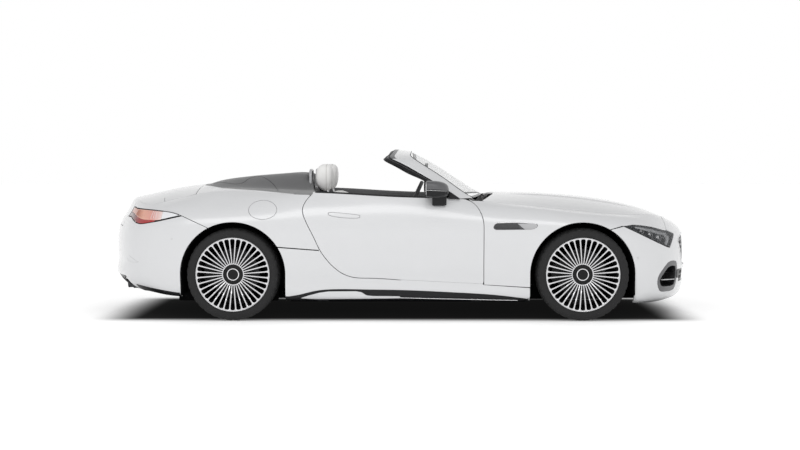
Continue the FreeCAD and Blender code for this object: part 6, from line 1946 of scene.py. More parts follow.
# ---------------------------------------------------------------- door top edge and the small sail
us_d = np.linspace(door_out[:, 0].min() / SU + 0.05, door_out[:, 0].max() / SU, 60)
dt_p = side_eval(us_d, np.full(60, 19.9))[0]
dt_p = dt_p[(dt_p[:, 0] < 452) & (dt_p[:, 0] > -655)]
belt = loft_mesh("door_left.belt_moulding", [[p + np.array(o) for o in ((0, 1.5, -9), (0, 3.2, 0), (0, 2.2, 5), (0, -4, 8), (0, -11, 6), (0, -13, 0), (0, -13, -9))] for p in dt_p], [M_PLAST], True, True, 40)
belt = [belt, mirrored(belt, "door_right.belt_moulding")]
sail = slab("door_left.sail", "xz", [(384, 998), (396, 996), (440, 966), (472, 944), (468, 938), (384, 942)], 838, 852, [M_BLACK], bevel=3)
sail = [sail, mirrored(sail, "door_right.sail")]

# ---------------------------------------------------------------- mirrors
def super_ring(x, yc, zc, ry, rz, n=4.0, k=64):
    out = []
    for i in range(k):
        a = 2 * math.pi * i / k
        c, d = math.cos(a), math.sin(a)
        out.append((x, yc + ry * math.copysign(abs(c) ** (2 / n), c), zc + rz * math.copysign(abs(d) ** (2 / n), d)))
    return out


MS = [(210, 959, 1020, 78, 52, 4), (208.5, 959, 1020, 85, 59, 4), (211, 959, 1020, 88, 62, 4), (224, 960, 1019, 90, 63.5, 4), (250, 960, 1018, 90.6, 65, 3.8), (280, 959, 1017, 90, 65, 3.6), (310, 956, 1015.5, 86, 62.5, 3.3), (335, 952, 1013.5, 78, 58.5, 3.0), (354, 948, 1012, 67, 52, 2.8), (368, 944, 1010.5, 54, 44, 2.6), (377, 940, 1009, 40, 33, 2.4), (382, 938, 1008, 20, 16, 2.2)]
mh = loft_mesh("door_left.mirror_head", [super_ring(*r) for r in MS], [M_GREY, M_BLACK, M_PLAST], True, True, 40,
               lambda i, j: (2 if i < 1 else (0 if math.copysign(abs(math.sin(2 * math.pi * (j + .5) / 64)) ** (2 / 4.0), math.sin(2 * math.pi * (j + .5) / 64)) > -0.12 else 1)))
mg = panel("mg", lambda q: (np.stack([np.full(len(q), 206.5), q[:, 0] + 959, q[:, 1] + 1020], -1), np.tile([-1.0, 0, 0], (len(q), 1))),
           even([(76 * math.copysign(abs(math.cos(t)) ** .5, math.cos(t)), 50 * math.copysign(abs(math.sin(t)) ** .5, math.sin(t))) for t in np.linspace(0, 2 * math.pi, 60, endpoint=False)], 9), [], t=2.4, r=.8, gap=16, mats=[M_MIRROR])
m_line = sweep("ml", [r for r in [(MS[i][0], MS[i][1] - 0 + MS[i][3] * 1.004, MS[i][2] - MS[i][4] * 0.13) for i in range(2, 10)]], 1.5, [M_CHROME], n=8)
foot = loft_mesh("mf", [[(256, 884, 893), (256, 906, 893), (256, 922, 905), (256, 936, 962), (256, 880, 968), (256, 868, 905)]] +
                 [[(x, 884 - 3, 893 - k), (x, 906 + k, 893 - k), (x, 924, 904), (x, 942, 966), (x, 872, 972), (x, 862, 905)] for x, k in ((262, 3), (300, 4), (352, 3))] +
                 [[(366, 884, 896), (366, 902, 896), (366, 916, 906), (366, 934, 962), (366, 882, 966), (366, 870, 905)]], [M_PLAST], True, True, 50)
mir = joined("mirror_left.head", [mh, m_line, foot])
mirror_pair = [mir, mirrored(mir, "mirror_right.head")]
mir_glass = [mg, mirrored(mg, "mirror_right.glass")]
mg.name = "mirror_left.glass"

# ---------------------------------------------------------------- scuttle grille and wipers
def cowl_z(x, y):
    return bonnet_z(max(x, 655), y) - 30 - 0.10 * max(0.0, 700 - x)


cw = [(bonnet_rear(y) - 9, y) for y in np.linspace(-676, 676, 80)] + [(glass_pt(y / 780.0, 0.0)[0] - 34, y) for y in np.linspace(676, -676, 80)]
cw = even(np.array(cw), 14)
cw_slots = []
for k in range(23):
    y0_ = -560 + k * 50.9
    x0_ = glass_pt(y0_ / 780.0, 0.0)[0] + 4
    x1_ = bonnet_rear(y0_) - 24
    if x1_ - x0_ > 18:
        cw_slots.append(np.array(dense([(x0_, y0_ - 15), (x1_, y0_ - 15), (x1_, y0_ + 15), (x0_, y0_ + 15)], 12, closed=True)))
cowl = panel("scuttle.grille", height_surf(cowl_z), cw, cw_slots, t=8, r=1.0, gap=20, mats=[M_PLAST])
cowl_back = panel("scuttle.tray", height_surf(lambda x, y: cowl_z(x, y) - 12), even(shrink(cw, 6), 18), [], t=2, r=.5, gap=34, mats=[M_LINER])
wp = []
for yp, yq in ((520, 20), (-60, -560)):
    ts = np.linspace(0, 1, 24)
    ys_ = yp + (yq - yp) * ts
    xs_ = 724 - 60 * (ys_ / 700.0) ** 2 + (698 - 724) * ts
    zs_ = np.array([cowl_z(x, y) + 13 - 10 * (abs(y) / 560.0) ** 1.5 for x, y in zip(xs_, ys_)])
    arm = np.stack([xs_, ys_, zs_], -1)
    wp.append(sweep("wa", arm[:15] + np.array([2, 0, 1]), 6.0, [M_PLAST], n=10, flat=0.55, taper=np.linspace(1.35, 0.8, 15)))
    wp.append(sweep("wb", arm[2:] + np.array([-9, 0, -2]), 4.6, [M_PLAST], n=10, flat=1.5, taper=np.r_[0.6, np.ones(20), 0.6]))
    wp.append(sweep("wr", arm[2:] + np.array([-11, 0, -9]), 2.2, [M_TYRE], n=6, flat=2.0))
    wp.append(lathe("wp", [(-14, 0.01), (-14, 15), (-2, 15), (2, 13.5), (4, 10), (4.5, 0.01)], (xs_[0] + 2, yp, zs_[0] + 1), (0.05, 0, 1), [M_PLAST], n=32, closed=False))
wipers = joined("wipers.blades", wp)
# ---------------------------------------------------------------- door opening: painted jamb with its rubber
def jamb():
    run = offset_line(rear_run[2:] + bot_run[1:], -GV - 1.5)
    fr_ = offset_line(front_run, -GV - 1.5)
    pts = [p for p in run if p[0] < 650 and p[1] < 975] + [(661, 280)] + [p for p in fr_ if p[1] > 292 and p[1] < 938]
    q = xz(pts, MID)
    q[:, 1] = np.minimum(q[:, 1], 19.7 * SV)
    p, n = surf_side(q)
    a = p - n * 6
    t = unit(np.gradient(p, axis=0))
    o = unit(np.cross(t, np.tile([0, 1.0, 0], (len(t), 1))))
    c = np.array([-50.0, 0, 600.0])
    if ((p - c) * o * np.array([1, 0, 1])).sum() < 0:
        o = -o
    b = p.copy()
    b[:, 1] = 752.0
    m_ = p.copy()
    m_[:, 1] = 800.0
    rings = [[a_, m1, b_, b_ + o_ * 4, m1 + o_ * 4, a_ + o_ * 4] for a_, m1, b_, o_ in zip(a, m_, b, o)]
    skin = loft_mesh("j1", rings, [M_JAMB], True, True, 50)
    rub = sweep("j2", b + o * 1.0 + np.array([0, 6, 0]), 7.0, [M_PLAST], n=10, up=(0, 1, 0), flat=1.3)
    return joined("door_opening_left.jamb", [skin, rub])


jamb_l = jamb()
jambs = [jamb_l, mirrored(jamb_l, "door_opening_right.jamb")]

# ---------------------------------------------------------------- dark panels under the nose and the tail
und = []
und.append(loft_mesh("u1", [[(x, y, z) for y in (-w, w)] + [(x, w, z + 5), (x, -w, z + 5)] for x, w, z in ((-1705, 640, 214), (-1800, 640, 210), (-1930, 640, 214), (-2040, 630, 226), (-2110, 600, 238))], [M_LINER], True, True, 40))
for y in (-330, -110, 110, 330):
    und.append(slab("u2", "xz", [(-2150, 262), (-2100, 200), (-1980, 186), (-1860, 204), (-1860, 214), (-2140, 268)], y - 3, y + 3, [M_PLAST], bevel=1.5))
und.append(loft_mesh("u3", [[(x, -w, z), (x, w, z), (x, w, z + 5), (x, -w, z + 5)] for x, w, z in ((1835, 640, 196), (1900, 690, 168), (2000, 660, 158), (2100, 560, 152), (2200, 420, 150))], [M_LINER], True, True, 40))
under_panels = joined("undertray.ends", und)

# ---------------------------------------------------------------- inner shields behind the wheels: dark liner plates, partly real liner and partly a dark sheet standing in for the shade under the car, reaching low to hide the lit floor beyond
shl = []
for xc, yi, xa, xb in ((1350.0, 456, -392, 392), (-1350.0, 600, -402, 392)):
    for s_ in (1, -1):
        out_ = [(xc + xa, 134), (xc + xa + 12, 126), (xc + xb - 12, 126), (xc + xb, 134)] + [(xc + 392 * math.cos(t), 352 + 300 * math.sin(t)) for t in np.linspace(0.15, math.pi - 0.15, 30)]
        shl.append(slab("ih", "xz", out_, min(s_ * yi, s_ * (yi + 5)), max(s_ * yi, s_ * (yi + 5)), [M_LINER], bevel=1.5))
liner_shade_plates = joined("wheel_liners.inner", shl)

# ---------------------------------------------------------------- a painted shade line on the boot lid, and seams on the roof cover
shade_tick = []
# painted shade: a short dark grey strip where a thin line of shade falls near the side of the lid
for s_ in (1, -1):
    run = [(-1846 - 0.16 * (690 - y), s_ * y) for y in np.linspace(690, 600, 8)]
    shade_tick.append(sweep("k1", [(x, y, deck_z(x, y) + edge_lift(x, y, deck_z) - 0.4) for x, y in run], 2.0, [M_GREY], n=6))
lid_shade_lines = joined("boot_lid.shade_lines", shade_tick)
seam = []
for s_ in (1, -1):
    for pts in ([(-1500, 430), (-1400, 480), (-1290, 520), (-1245, 500), (-1205, 440), (-1140, 420), (-1060, 470), (-985, 560), (-960, 640), (-952, 712)],):
        r_ = smooth_run(pts, 16)
        seam.append(sweep("k2", [(x, s_ * y, tonneau_z(x, s_ * y) - 0.6) for x, y in r_], 1.8, [M_PLAST], n=6))
cover_lines = joined("tonneau_cover.seams", seam)
# ---------------------------------------------------------------- doors from inside
def door_inner_pts(p, n):
    q = p.copy()
    z = p[:, 2]
    k = np.clip((372.0 - z) / 34.0, 0, 1)
    q[:, 1] = np.minimum(p[:, 1] - 7.0, 794.0 + 32.0 * k)
    return q


din = panel("door_left.frame", lifted(surf_side, -9.3), even(shrink(door_out, 15), 15), [], t=6, r=1.2, gap=26, mats=[M_JAMB], inner=door_inner_pts)
xs_t = np.linspace(-628, 440, 60)


def top_edge(x):
    i = np.argsort(dt_p[:, 0])
    return np.interp(x, dt_p[i, 0], dt_p[i, 1]), np.interp(x, dt_p[i, 0], dt_p[i, 2])


roll = []
for x in xs_t:
    y, z = top_edge(x)
    e = min(1.0, (x + 640) / 40.0, (456 - x) / 40.0)
    h = 7.0 * e
    roll.append([(x, y - 15, z - 14), (x, y - 15.5, z - 2), (x, y - 20, z + h * .5), (x, y - 30, z + h), (x, y - 44, z + h), (x, max(y - 58, 786), z + h * .4 - 3), (x, 782, z - 14), (x, 779, z - 34), (x, 779, z - 92), (x, 782, z - 98), (x, 795, z - 99), (x, 797, z - 40)])
top_roll = loft_mesh("door_left.top_roll", roll, [M_TOPTRIM], True, True, 50)
roll_line = sweep("rl", [(x, 778.6, top_edge(x)[1] - 70) for x in xs_t[2:-2]], 1.1, [M_THREAD], n=6)
card = slab("c1", "xz", smooth_run([(-600, 868), (-560, 640), (-470, 470), (-380, 404)], 20) + dense([(-360, 398), (560, 372)], 24) + smooth_run([(580, 380), (590, 600), (560, 760), (420, 842), (200, 856), (-200, 868), (-598, 874)], 24), 781, 795, [M_LEATHD], bevel=6)
insert = slab("c2", "xz", round_rect(-500, 330, 640, 800, 50, 22), 773, 784, [M_LEATHER], bevel=5)
rest = loft_mesh("c3", [[(x, 796, 640 + d), (x, 742 - w, 640 + d), (x, 733 - w, 634 + d), (x, 731 - w, 618 + d), (x, 738 - w, 596 + d), (x, 768, 566 + d), (x, 796, 556 + d)] for x, w, d in ((-470, -48, 0), (-462, -22, 0), (-430, -6, 0), (-380, 0, 0), (-200, 0, 2), (-20, 0, 6), (60, -8, 12), (120, -26, 20), (150, -50, 26))], [M_LEATHER], True, True, 45)
pull = sweep("c4", [(x, 762, z) for x, z in smooth_run([(60, 662), (100, 690), (170, 708), (250, 716)], 14)], 9, [M_CHROME], n=12, flat=0.6)
pocket_ = loft_mesh("c5", [[(x, 797, z1), (x, 756, z1), (x, 748, z1 - 12), (x, 752, z0 + 14), (x, 762, z0), (x, 797, z0)] for x, z0, z1 in ((-300, 430, 500), (-290, 424, 506), (-100, 420, 512), (180, 418, 512), (350, 424, 506), (362, 432, 498))], [M_LEATHD], True, True, 40)
spk_holes = [np.array([(420 + a * 11 + (b % 2) * 5.5 + 3.2 * math.cos(t), 560 + b * 9.6 + 3.2 * math.sin(t)) for t in np.linspace(0, 2 * math.pi, 6, endpoint=False)]) for a in range(-7, 8) for b in range(-8, 9) if math.hypot(a * 11 + (b % 2) * 5.5, b * 9.6) < 72]
spk_outer = np.array([(420 + 82 * math.cos(t), 560 + 82 * math.sin(t)) for t in np.linspace(0, 2 * math.pi, 60, endpoint=False)])
grillep = panel("c6", lambda q: (np.stack([q[:, 0], np.full(len(q), 777.0), q[:, 1]], -1), np.tile([0, -1.0, 0], (len(q), 1))), spk_outer, spk_holes, t=3, r=0.8, gap=18, mats=[M_STEEL])
stitch = sweep("c7", [(x, 731 + (6 if x < -400 else 0), 634) for x in np.linspace(-420, 50, 40)], 1.2, [M_THREAD], n=6)
switches = [slab("c8", "xy", round_rect(-60 + 36 * k, -32 + 36 * k, 750, 776, 5, 6), 640, 648, [M_BLACK], bevel=2) for k in range(3)]
dcard = joined("door_left.card", [card, insert, rest, pull, pocket_, grillep, stitch, roll_line] + switches)
lining = [[din, mirrored(din, "door_right.frame")], [top_roll, mirrored(top_roll, "door_right.top_roll")], [dcard, mirrored(dcard, "door_right.card")]]

# ---------------------------------------------------------------- dashboard
D_TOP = [(345, 905), (362, 938), (420, 955), (520, 950), (600, 932), (660, 902)]


def dash_ring(y):
    """Section of the dashboard at y, front to back over the top and round underneath."""
    a = abs(y)
    hood = 26.0 * math.exp(-((y - 370.0) / 150.0) ** 4)
    end = min(1.0, (772 - a) / 60.0)
    dip = 8 * (1 - end)
    ring = [(652, min(894, cowl_z(655, min(a, 700)) - 30)), (600, min(926, cowl_z(655, min(a, 700)) - 12)), (540, 944 - dip), (470, 952 - dip + hood * .5), (415, 953 - dip + hood), (378, 947 - dip + hood), (360, 934 - dip + hood * .9), (350 + hood * .8, 914 - dip + hood * .4),
            (352 + hood, 880), (362 + hood * .6, 848), (366, 838), (360, 828), (352, 800), (352, 770), (366, 722), (392, 660), (440, 612), (520, 620), (600, 690), (650, 780)]
    return [(x, y, z) for x, z in ring]


ys_d = np.concatenate([np.linspace(-766, -700, 6), np.linspace(-680, 680, 61), np.linspace(700, 766, 6)])
dash = loft_mesh("dashboard.body", [dash_ring(y) for y in ys_d], [M_LEATHD, M_LEATHER, M_BLACK], True, True, 38,
                 lambda i, j: 1 if 11 <= j <= 14 else (2 if 9 <= j <= 10 else 0))
dd = []
# blade of bright trim across the dashboard
dd.append(sweep("d1", [(359, y, 829.5) for y in np.linspace(-700, 700, 60)], 3.0, [M_CHROME], n=8))
dd.append(sweep("d2", [(349.5 + 26 * math.exp(-((y - 370.0) / 150.0) ** 4) * 0.8, y, 910) for y in np.linspace(-740, 740, 90)], 1.3, [M_THREAD], n=6))
for yv in (-640, -200, 200, 640):
    ax_ = unit(np.array([-1.0, 0, 0.12]))
    c_ = np.array([358 + (18 if yv == 200 else 0), yv, 872])
    dd.append(lathe("v1", [(-22, 38), (4, 39), (8, 37.5), (9, 34), (6, 31), (-6, 30), (-20, 30)], c_, ax_, [M_CHROME, M_PLAST], n=48, face_mat=lambda j: 0 if j < 4 else 1))
    dd.append(lathe("v2", [(-10, 0.01), (-10, 29), (-14, 29), (-14, 0.01)], c_, ax_, [M_LINER], n=32, closed=False))
    dd.append(lathe("v3", [(-8, 0.01), (-8, 8), (3, 8), (6, 6), (7, 0.01)], c_, ax_, [M_CHROME], n=24, closed=False))
    for k in range(6):
        a = math.pi * k / 6
        d_ = np.array([0, math.cos(a), math.sin(a)])
        dd.append(sweep("v4", [c_ + ax_ * 1 - d_ * 29, c_ + ax_ * 1 + d_ * 29], 1.8, [M_PLAST], n=6))
# instrument display and its frame
dd.append(loft_mesh("i1", [[(404 - k, 370 + w * a, 905 + h * b) for a, b in ((-1, -.86), (-.9, -1), (.9, -1), (1, -.86), (1, .86), (.9, 1), (-.9, 1), (-1, .86))] for k, w, h in ((0, 148, 44), (20, 152, 48), (54, 152, 48), (57, 149, 45), (56, 140, 38), (54, 138, 37))], [M_BLACK], True, True, 40))
# centre display, upright and leaning back
cs = []
for k, g in ((0, 0.0), (4, 0.4), (10, 1.0), (14, 1.0), (17, 0.5), (17.2, 0.0)):
    w, h = 92 - 5 * (1 - g), 150 - 5 * (1 - g)
    r_ = []
    for a in range(40):
        t = 2 * math.pi * a / 40
        yy = w * math.copysign(abs(math.cos(t)) ** .3, math.cos(t))
        zz = h * math.copysign(abs(math.sin(t)) ** .3, math.sin(t))
        r_.append((338 - k + zz * 0.30, yy, 790 + zz * 0.95))
    cs.append(r_)
dd.append(loft_mesh("s1", cs, [M_GREY, M_BLACK], True, True, 50, lambda i, j: 0 if i < 3 else 1))
dash_trim = joined("dashboard.trim", dd)

# ---------------------------------------------------------------- centre console
def con_ring(x):
    z = np.interp(x, [-580, -560, -540, 60, 200, 270, 340, 392], [520, 542, 552, 545, 572, 640, 705, 742])
    w = np.interp(x, [-580, -540, 392], [88, 100, 104])
    zb = np.interp(x, [-580, 300, 350, 392], [410, 402, 560, 630])
    return [(x, w * a, zb + (z - zb) * b) for a, b in ((-.96, 0), (-1, .12), (-1.0, .80), (-.97, .93), (-.9, .985), (-.8, 1), (-.4, 1.0), (0, 1.0), (.4, 1.0), (.8, 1), (.9, .985), (.97, .93), (1.0, .80), (1, .12), (.96, 0))]


console = loft_mesh("centre_console.body", [con_ring(x) for x in np.linspace(-580, 392, 50)], [M_LEATHD, M_BLACK], True, True, 40, lambda i, j: 1 if 5 <= j <= 8 and i > 24 else 0)
kk = []
for s_ in (-1, 1):
    lid = [[(x, s_ * (4 + 84 * a), 546 + 34 * b * e) for a, b in ((0.02, 0), (0.01, .75), (.06, .95), (.5, 1.0), (.93, .93), (1.0, .7), (1.0, 0))] for x, e in ((-548, .2), (-540, .7), (-520, .95), (-480, 1), (-260, 1), (-215, .95), (-195, .7), (-188, .2))]
    kk.append(loft_mesh("a1", lid, [M_LEATHER], True, True, 45))
kk.append(sweep("a2", [(x, 93, 556) for x in np.linspace(-540, -190, 20)], 1.2, [M_THREAD], n=6))
kk.append(sweep("a3", [(x, -93, 556) for x in np.linspace(-540, -190, 20)], 1.2, [M_THREAD], n=6))
for yk_ in (-42, 42):
    kk.append(lathe("cup", [(-60, .01), (-60, 36), (2, 38), (5, 40), (5, 43), (1, 44), (-64, 40), (-64, .01)], (96, yk_, 556), (0.02, 0, 1), [M_STEEL, M_LINER], n=48, closed=False, face_mat=lambda j: 0 if 2 <= j <= 4 else 1))
kk.append(slab("pad", "xy", round_rect(-120, 20, -58, 58, 14, 8), 548, 560, [M_BLACK], bevel=4))
for k in range(5):
    kk.append(slab("key", "xy", round_rect(-160, -134, -60 + 26 * k - 10, -60 + 26 * k + 10, 3, 6), 548, 557, [M_GREY], bevel=2))
con_trim = joined("centre_console.trim", kk)

# ---------------------------------------------------------------- steering wheel and column
SWC = np.array([112.0, 370.0, 895.0])
AX = np.array([-math.cos(math.radians(25)), 0.0, math.sin(math.radians(25))])
SY = np.array([0, 1.0, 0])
SZ = np.cross(AX, SY) * -1
SZ = SZ if SZ[2] > 0 else -SZ
sw = []


def on_wheel(a, r, d=0.0):
    return SWC + SY * (r * math.cos(a)) + SZ * (r * math.sin(a)) + AX * d


rim_pts = []
for k in range(120):
    a = 2 * math.pi * k / 120
    flat_ = 1.0 if math.sin(a) > -0.80 else 1.0 - 0.06 * (abs(math.sin(a)) - .8) / .2
    rim_pts.append(on_wheel(a, 172 * flat_, 0))
rim_ = sweep("w1", rim_pts, 14.5, [M_LEATHD], n=16, closed=True, up=tuple(AX), flat=1.08)
sw.append(rim_)
sw.append(sweep("w3", [on_wheel(a, 172 - 14.6, 2.0) for a in np.linspace(0, 2 * math.pi, 120, endpoint=False)], 1.0, [M_THREAD], n=5, closed=True, up=tuple(AX)))
hubr = []
for d, rr in ((-42, 46), (-30, 58), (-16, 66), (-4, 66), (6, 60), (11, 46), (13, 20)):
    hubr.append([SWC + SY * (rr * 1.12 * math.copysign(abs(math.cos(t)) ** .7, math.cos(t))) + SZ * (rr * .86 * math.copysign(abs(math.sin(t)) ** .8, math.sin(t)) - 6) + AX * d for t in np.linspace(0, 2 * math.pi, 48, endpoint=False)])
sw.append(loft_mesh("w4", hubr, [M_LEATHD], True, True, 50))
sw.append(sweep("w5", [SWC + SY * (45 * 1.12 * math.cos(t)) + SZ * (45 * .86 * math.sin(t) - 6) + AX * 11.5 for t in np.linspace(0, 2 * math.pi, 48, endpoint=False)], 1.4, [M_CHROME], n=6, closed=True, up=tuple(AX)))
for a0, twin in ((0.10, 1), (math.pi - 0.10, 1), (-math.pi / 2, 0)):
    for s_ in ((-0.07, 0.11) if twin else (-0.09, 0.09)):
        a1 = a0 + s_ * (1.2 if twin else 1.6)
        p0, p1 = on_wheel(a0 + s_ * 2.2, 56, -8), on_wheel(a1, 162, -2)
        sw.append(sweep("w6", [p0 * (1 - t) + p1 * t + AX * (-6 * math.sin(math.pi * t)) for t in np.linspace(0, 1, 8)], 8.5, [M_GREY], n=12, up=tuple(AX), flat=0.55))
    if twin:
        p0, p1 = on_wheel(a0, 74, -2), on_wheel(a0, 128, 0)
        sw.append(sweep("w7", [p0 * (1 - t) + p1 * t for t in np.linspace(0, 1, 5)], 13, [M_BLACK], n=14, up=tuple(AX), flat=0.4))
steer = joined("steering_wheel.rim", sw)
col = []
C0 = SWC - AX * 49
crings = []
for d, w_, h_ in ((2, 50, 40), (-8, 56, 46), (-60, 60, 52), (-150, 62, 56), (-230, 60, 58), (-250, 56, 54)):
    crings.append([C0 + AX * d + SY * (w_ * math.copysign(abs(math.cos(t)) ** .8, math.cos(t))) + SZ * (h_ * math.copysign(abs(math.sin(t)) ** .8, math.sin(t)) - 4) for t in np.linspace(0, 2 * math.pi, 40, endpoint=False)])
col.append(loft_mesh("k1", crings, [M_PLAST], True, True, 50))
for s_ in (-1, 1):
    q0 = C0 - AX * 26 + SY * (s_ * 50)
    col.append(sweep("k2", [q0, q0 + SY * s_ * 40 + SZ * 4, q0 + SY * s_ * 90 + SZ * 10, q0 + SY * s_ * 122 + SZ * 12], 6.5, [M_PLAST], n=10, taper=[1, .9, 1.0, 1.25], up=tuple(AX)))
column = joined("steering_column.cowl", col)

# ---------------------------------------------------------------- pedals, mats, bulkhead trim, hoops, mirror, visors
pd = []
for y, w, z0 in ((300, 34, 300), (412, 44, 290)):
    pts = round_rect(-w / 2, w / 2, 0, 90, 8, 8)
    base = np.array([[560 + 0.42 * b, y + a, z0 + 0.9 * b] for a, b in pts])
    pd.append(loft_mesh("p1", [base, base + np.array([7, 0, -3])], [M_STEEL], True, True, 40))
    for k in range(5):
        zz = 14 + 15 * k
        pd.append(sweep("p2", [(559 + .42 * zz - 1, y - w / 2 + 6, z0 + .9 * zz), (559 + .42 * zz - 1, y + w / 2 - 6, z0 + .9 * zz)], 3, [M_TYRE], n=8))
    pd.append(sweep("p3", [(572 + 0.42 * 60, y, z0 + 60), (640, y, z0 + 190), (660, y, z0 + 290)], 7, [M_CAST], n=10))
pd.append(loft_mesh("p4", [[(560 + .55 * b + k, 600 + a, 200 + .84 * b) for a, b in round_rect(-40, 40, 0, 230, 12, 14)] for k in (0, 12)], [M_STEEL], True, True, 40))
pedals = joined("pedals", pd)
mats_ = []
for s_ in (-1, 1):
    out = smooth_run([(-20, 140), (400, 130), (600, 150), (640, 250), (640, 520), (600, 640), (400, 668), (0, 668)], 24) + [(-40, 640), (-40, 170)]
    pts = [(x, s_ * y) for x, y in out]
    if s_ < 0:
        pts = pts[::-1]
    mats_.append(slab("m1", "xy", pts, 182.5, 192, [M_CARPET], bevel=3.5))
    mats_.append(sweep("m2", [(x, y, 191) for x, y in dense(pts, 30, closed=True)], 3.2, [M_LEATHD], n=6, closed=True))
    mats_.append(slab("m3", "xy", round_rect(120, 420, min(s_ * 300, s_ * 480), max(s_ * 300, s_ * 480), 24, 14), 190, 194, [M_TYRE], bevel=1.5))
floor_mats = joined("floor_mats", mats_)

BK = [(-782, 420), (782, 420), (790, 700), (786, 920), (776, 962), (700, 980), (600, 992), (520, 1002), (482, 1012), (430, 1052), (370, 1070), (310, 1056), (258, 1016), (150, 1004), (0, 1004)]
bk = smooth_run(BK[3:], 14)
bk_out = [(-782, 420), (782, 420), (790, 700)] + bk + [(-y, z) for y, z in bk[::-1]][1:] + [(-790, 700)]


def bk_shape(p, n, q, surf):
    x = -701.0 - 12.0 * np.clip((p[:, 2] - 900) / 170.0, -1, 1)
    p = p.copy()
    p[:, 0] = x
    d = np.clip(1 - np.abs(p[:, 1]) / 150.0, 0, 1)
    p[:, 0] += 14 * d * d * (3 - 2 * d)
    return p, n


bulk = panel("cabin.rear_trim", lambda q: (np.stack([np.full(len(q), -704.0), q[:, 0], q[:, 1]], -1), np.tile([1.0, 0, 0], (len(q), 1))), even(np.array(bk_out), 20), [], t=8, r=3.0, gap=26, mats=[M_LEATHD], shape=bk_shape)
bb = []
for y in (-560, -180, 180, 560):
    bb.append(sweep("b1", [(-697 - 12 * max(-1, min(1, (z - 900) / 170.0)) + (5 if abs(y) < 200 else 0), y, z) for z in np.linspace(470, 960, 20)], 1.3, [M_THREAD], n=6))
side_trim = []
for s_ in (-1, 1):
    side_trim.append(slab("b2", "xz", smooth_run([(-702, 300), (-640, 420), (-628, 600), (-664, 800), (-690, 940)], 20) + [(-712, 944), (-712, 300)], min(s_ * 742, s_ * 786), max(s_ * 742, s_ * 786), [M_LEATHD], bevel=8))
    side_trim.append(slab("b3", "xz", [(690, 200), (690, 800), (640, 830), (420, 800), (380, 640), (440, 420), (520, 300), (560, 200)], min(s_ * 744, s_ * 770), max(s_ * 744, s_ * 770), [M_CARPET], bevel=8))
    side_trim.append(slab("b4", "xz", round_rect(-650, 560, 302, 326, 10, 24), min(s_ * 700, s_ * 776), max(s_ * 700, s_ * 776), [M_LINER], bevel=4))
trims = joined("cabin.side_trim", bb + side_trim)

hp = []
for yc in (370, -370):
    path = dense([(yc - 112, 1056), (yc - 112, 1112)], 9)[:-1] + [(yc - 112 + 48 * (1 - math.cos(t)), 1112 + 48 * math.sin(t)) for t in np.linspace(0, math.pi / 2, 8)] + [(yc + 64 + 48 * math.sin(t), 1112 + 48 * math.cos(t)) for t in np.linspace(0, math.pi / 2, 8)] + dense([(yc + 112, 1106), (yc + 112, 1056)], 9)
    hp.append(sweep("h1", [(-712, y, z) for y, z in path], 11.5, [M_SILVER], n=16, up=(1, 0, 0)))
    inner = [(-712, y, z) for y, z in round_rect(yc - 99, yc + 99, 1070, 1148, 30, 12)]
    hp.append(sweep("h2", inner, 3.0, [M_PLAST], n=8, closed=True, up=(1, 0, 0)))
    hole = [np.array([(yc - 84 + 14 * a + (7 if b % 2 else 0) + 4.6 * math.cos(t), 1080 + 12 * b + 4.6 * math.sin(t)) for t in np.linspace(0, 2 * math.pi, 6, endpoint=False)]) for a in range(13) for b in range(6) if yc - 84 + 14 * a + (7 if b % 2 else 0) < yc + 88]
    hp.append(panel("h3", lambda q: (np.stack([np.full(len(q), -709.0), q[:, 0], q[:, 1]], -1), np.tile([1.0, 0, 0], (len(q), 1))), np.array(round_rect(yc - 97, yc + 97, 1072, 1146, 28, 10)), hole, t=3, r=.6, gap=20, mats=[M_PLAST]))
hoops = joined("roll_hoops.pair", hp)

rv = []
mr_ = []
for k, g in ((0, .9), (5, 1.0), (18, .98), (28, .86), (34, .5)):
    mr_.append([(152 + k, 112 * g * math.copysign(abs(math.cos(t)) ** .55, math.cos(t)), 1122 + 34 * g * math.copysign(abs(math.sin(t)) ** .6, math.sin(t))) for t in np.linspace(0, 2 * math.pi, 48, endpoint=False)])
rv.append(loft_mesh("r1", mr_, [M_PLAST], True, True, 50))
rv.append(sweep("r2", [(176, 0, 1130), (196, 0, 1146), (207, 0, 1166), (220, 0, 1196)], 8, [M_PLAST], n=12, up=(0, 1, 0)))
rv.append(slab("r3", "yz", round_rect(-30, 30, 1172, 1216, 12, 8), 208, 234, [M_PLAST], bevel=5))
rview = joined("cabin_mirror.housing", rv)
rglass = loft_mesh("cabin_mirror.glass", [[(x, 105 * math.copysign(abs(math.cos(t)) ** .55, math.cos(t)), 1122 + 29 * math.copysign(abs(math.sin(t)) ** .6, math.sin(t))) for t in np.linspace(0, 2 * math.pi, 48, endpoint=False)] for x in (150.8, 152.4)], [M_MIRROR], True, True, 50)
vs_ = []
for s_ in (-1, 1):
    c0 = np.array([52.0, s_ * 330, 1246.0])
    e1, e2 = np.array([0.0, 1, 0]), unit(np.array([0.9, 0, -0.42]))
    e3 = np.cross(e1, e2)
    ring = round_rect(-170, 170, -66, 70, 34, 14)
    vs_.append(loft_mesh("vz", [[c0 + e1 * a * g + e2 * (b * g + 60) + e3 * k for a, b in ring] for k, g in ((-7, .95), (-5, .99), (0, 1.0), (5, .99), (7, .95))], [M_LEATHD], True, True, 50))
visors = joined("sun_visors", vs_)
# ---------------------------------------------------------------- padded pieces
from mathutils.bvhtree import BVHTree


def settled(ob):
    """The mesh as its modifiers leave it, with none left on the piece."""
    dg = bpy.context.evaluated_depsgraph_get()
    me = bpy.data.meshes.new_from_object(ob.evaluated_get(dg))
    ob.modifiers.clear()
    old = ob.data
    ms = [m for m in old.materials]
    ob.data = me
    bpy.data.meshes.remove(old)
    me.materials.clear()
    for m in ms:
        me.materials.append(m)
    return ob


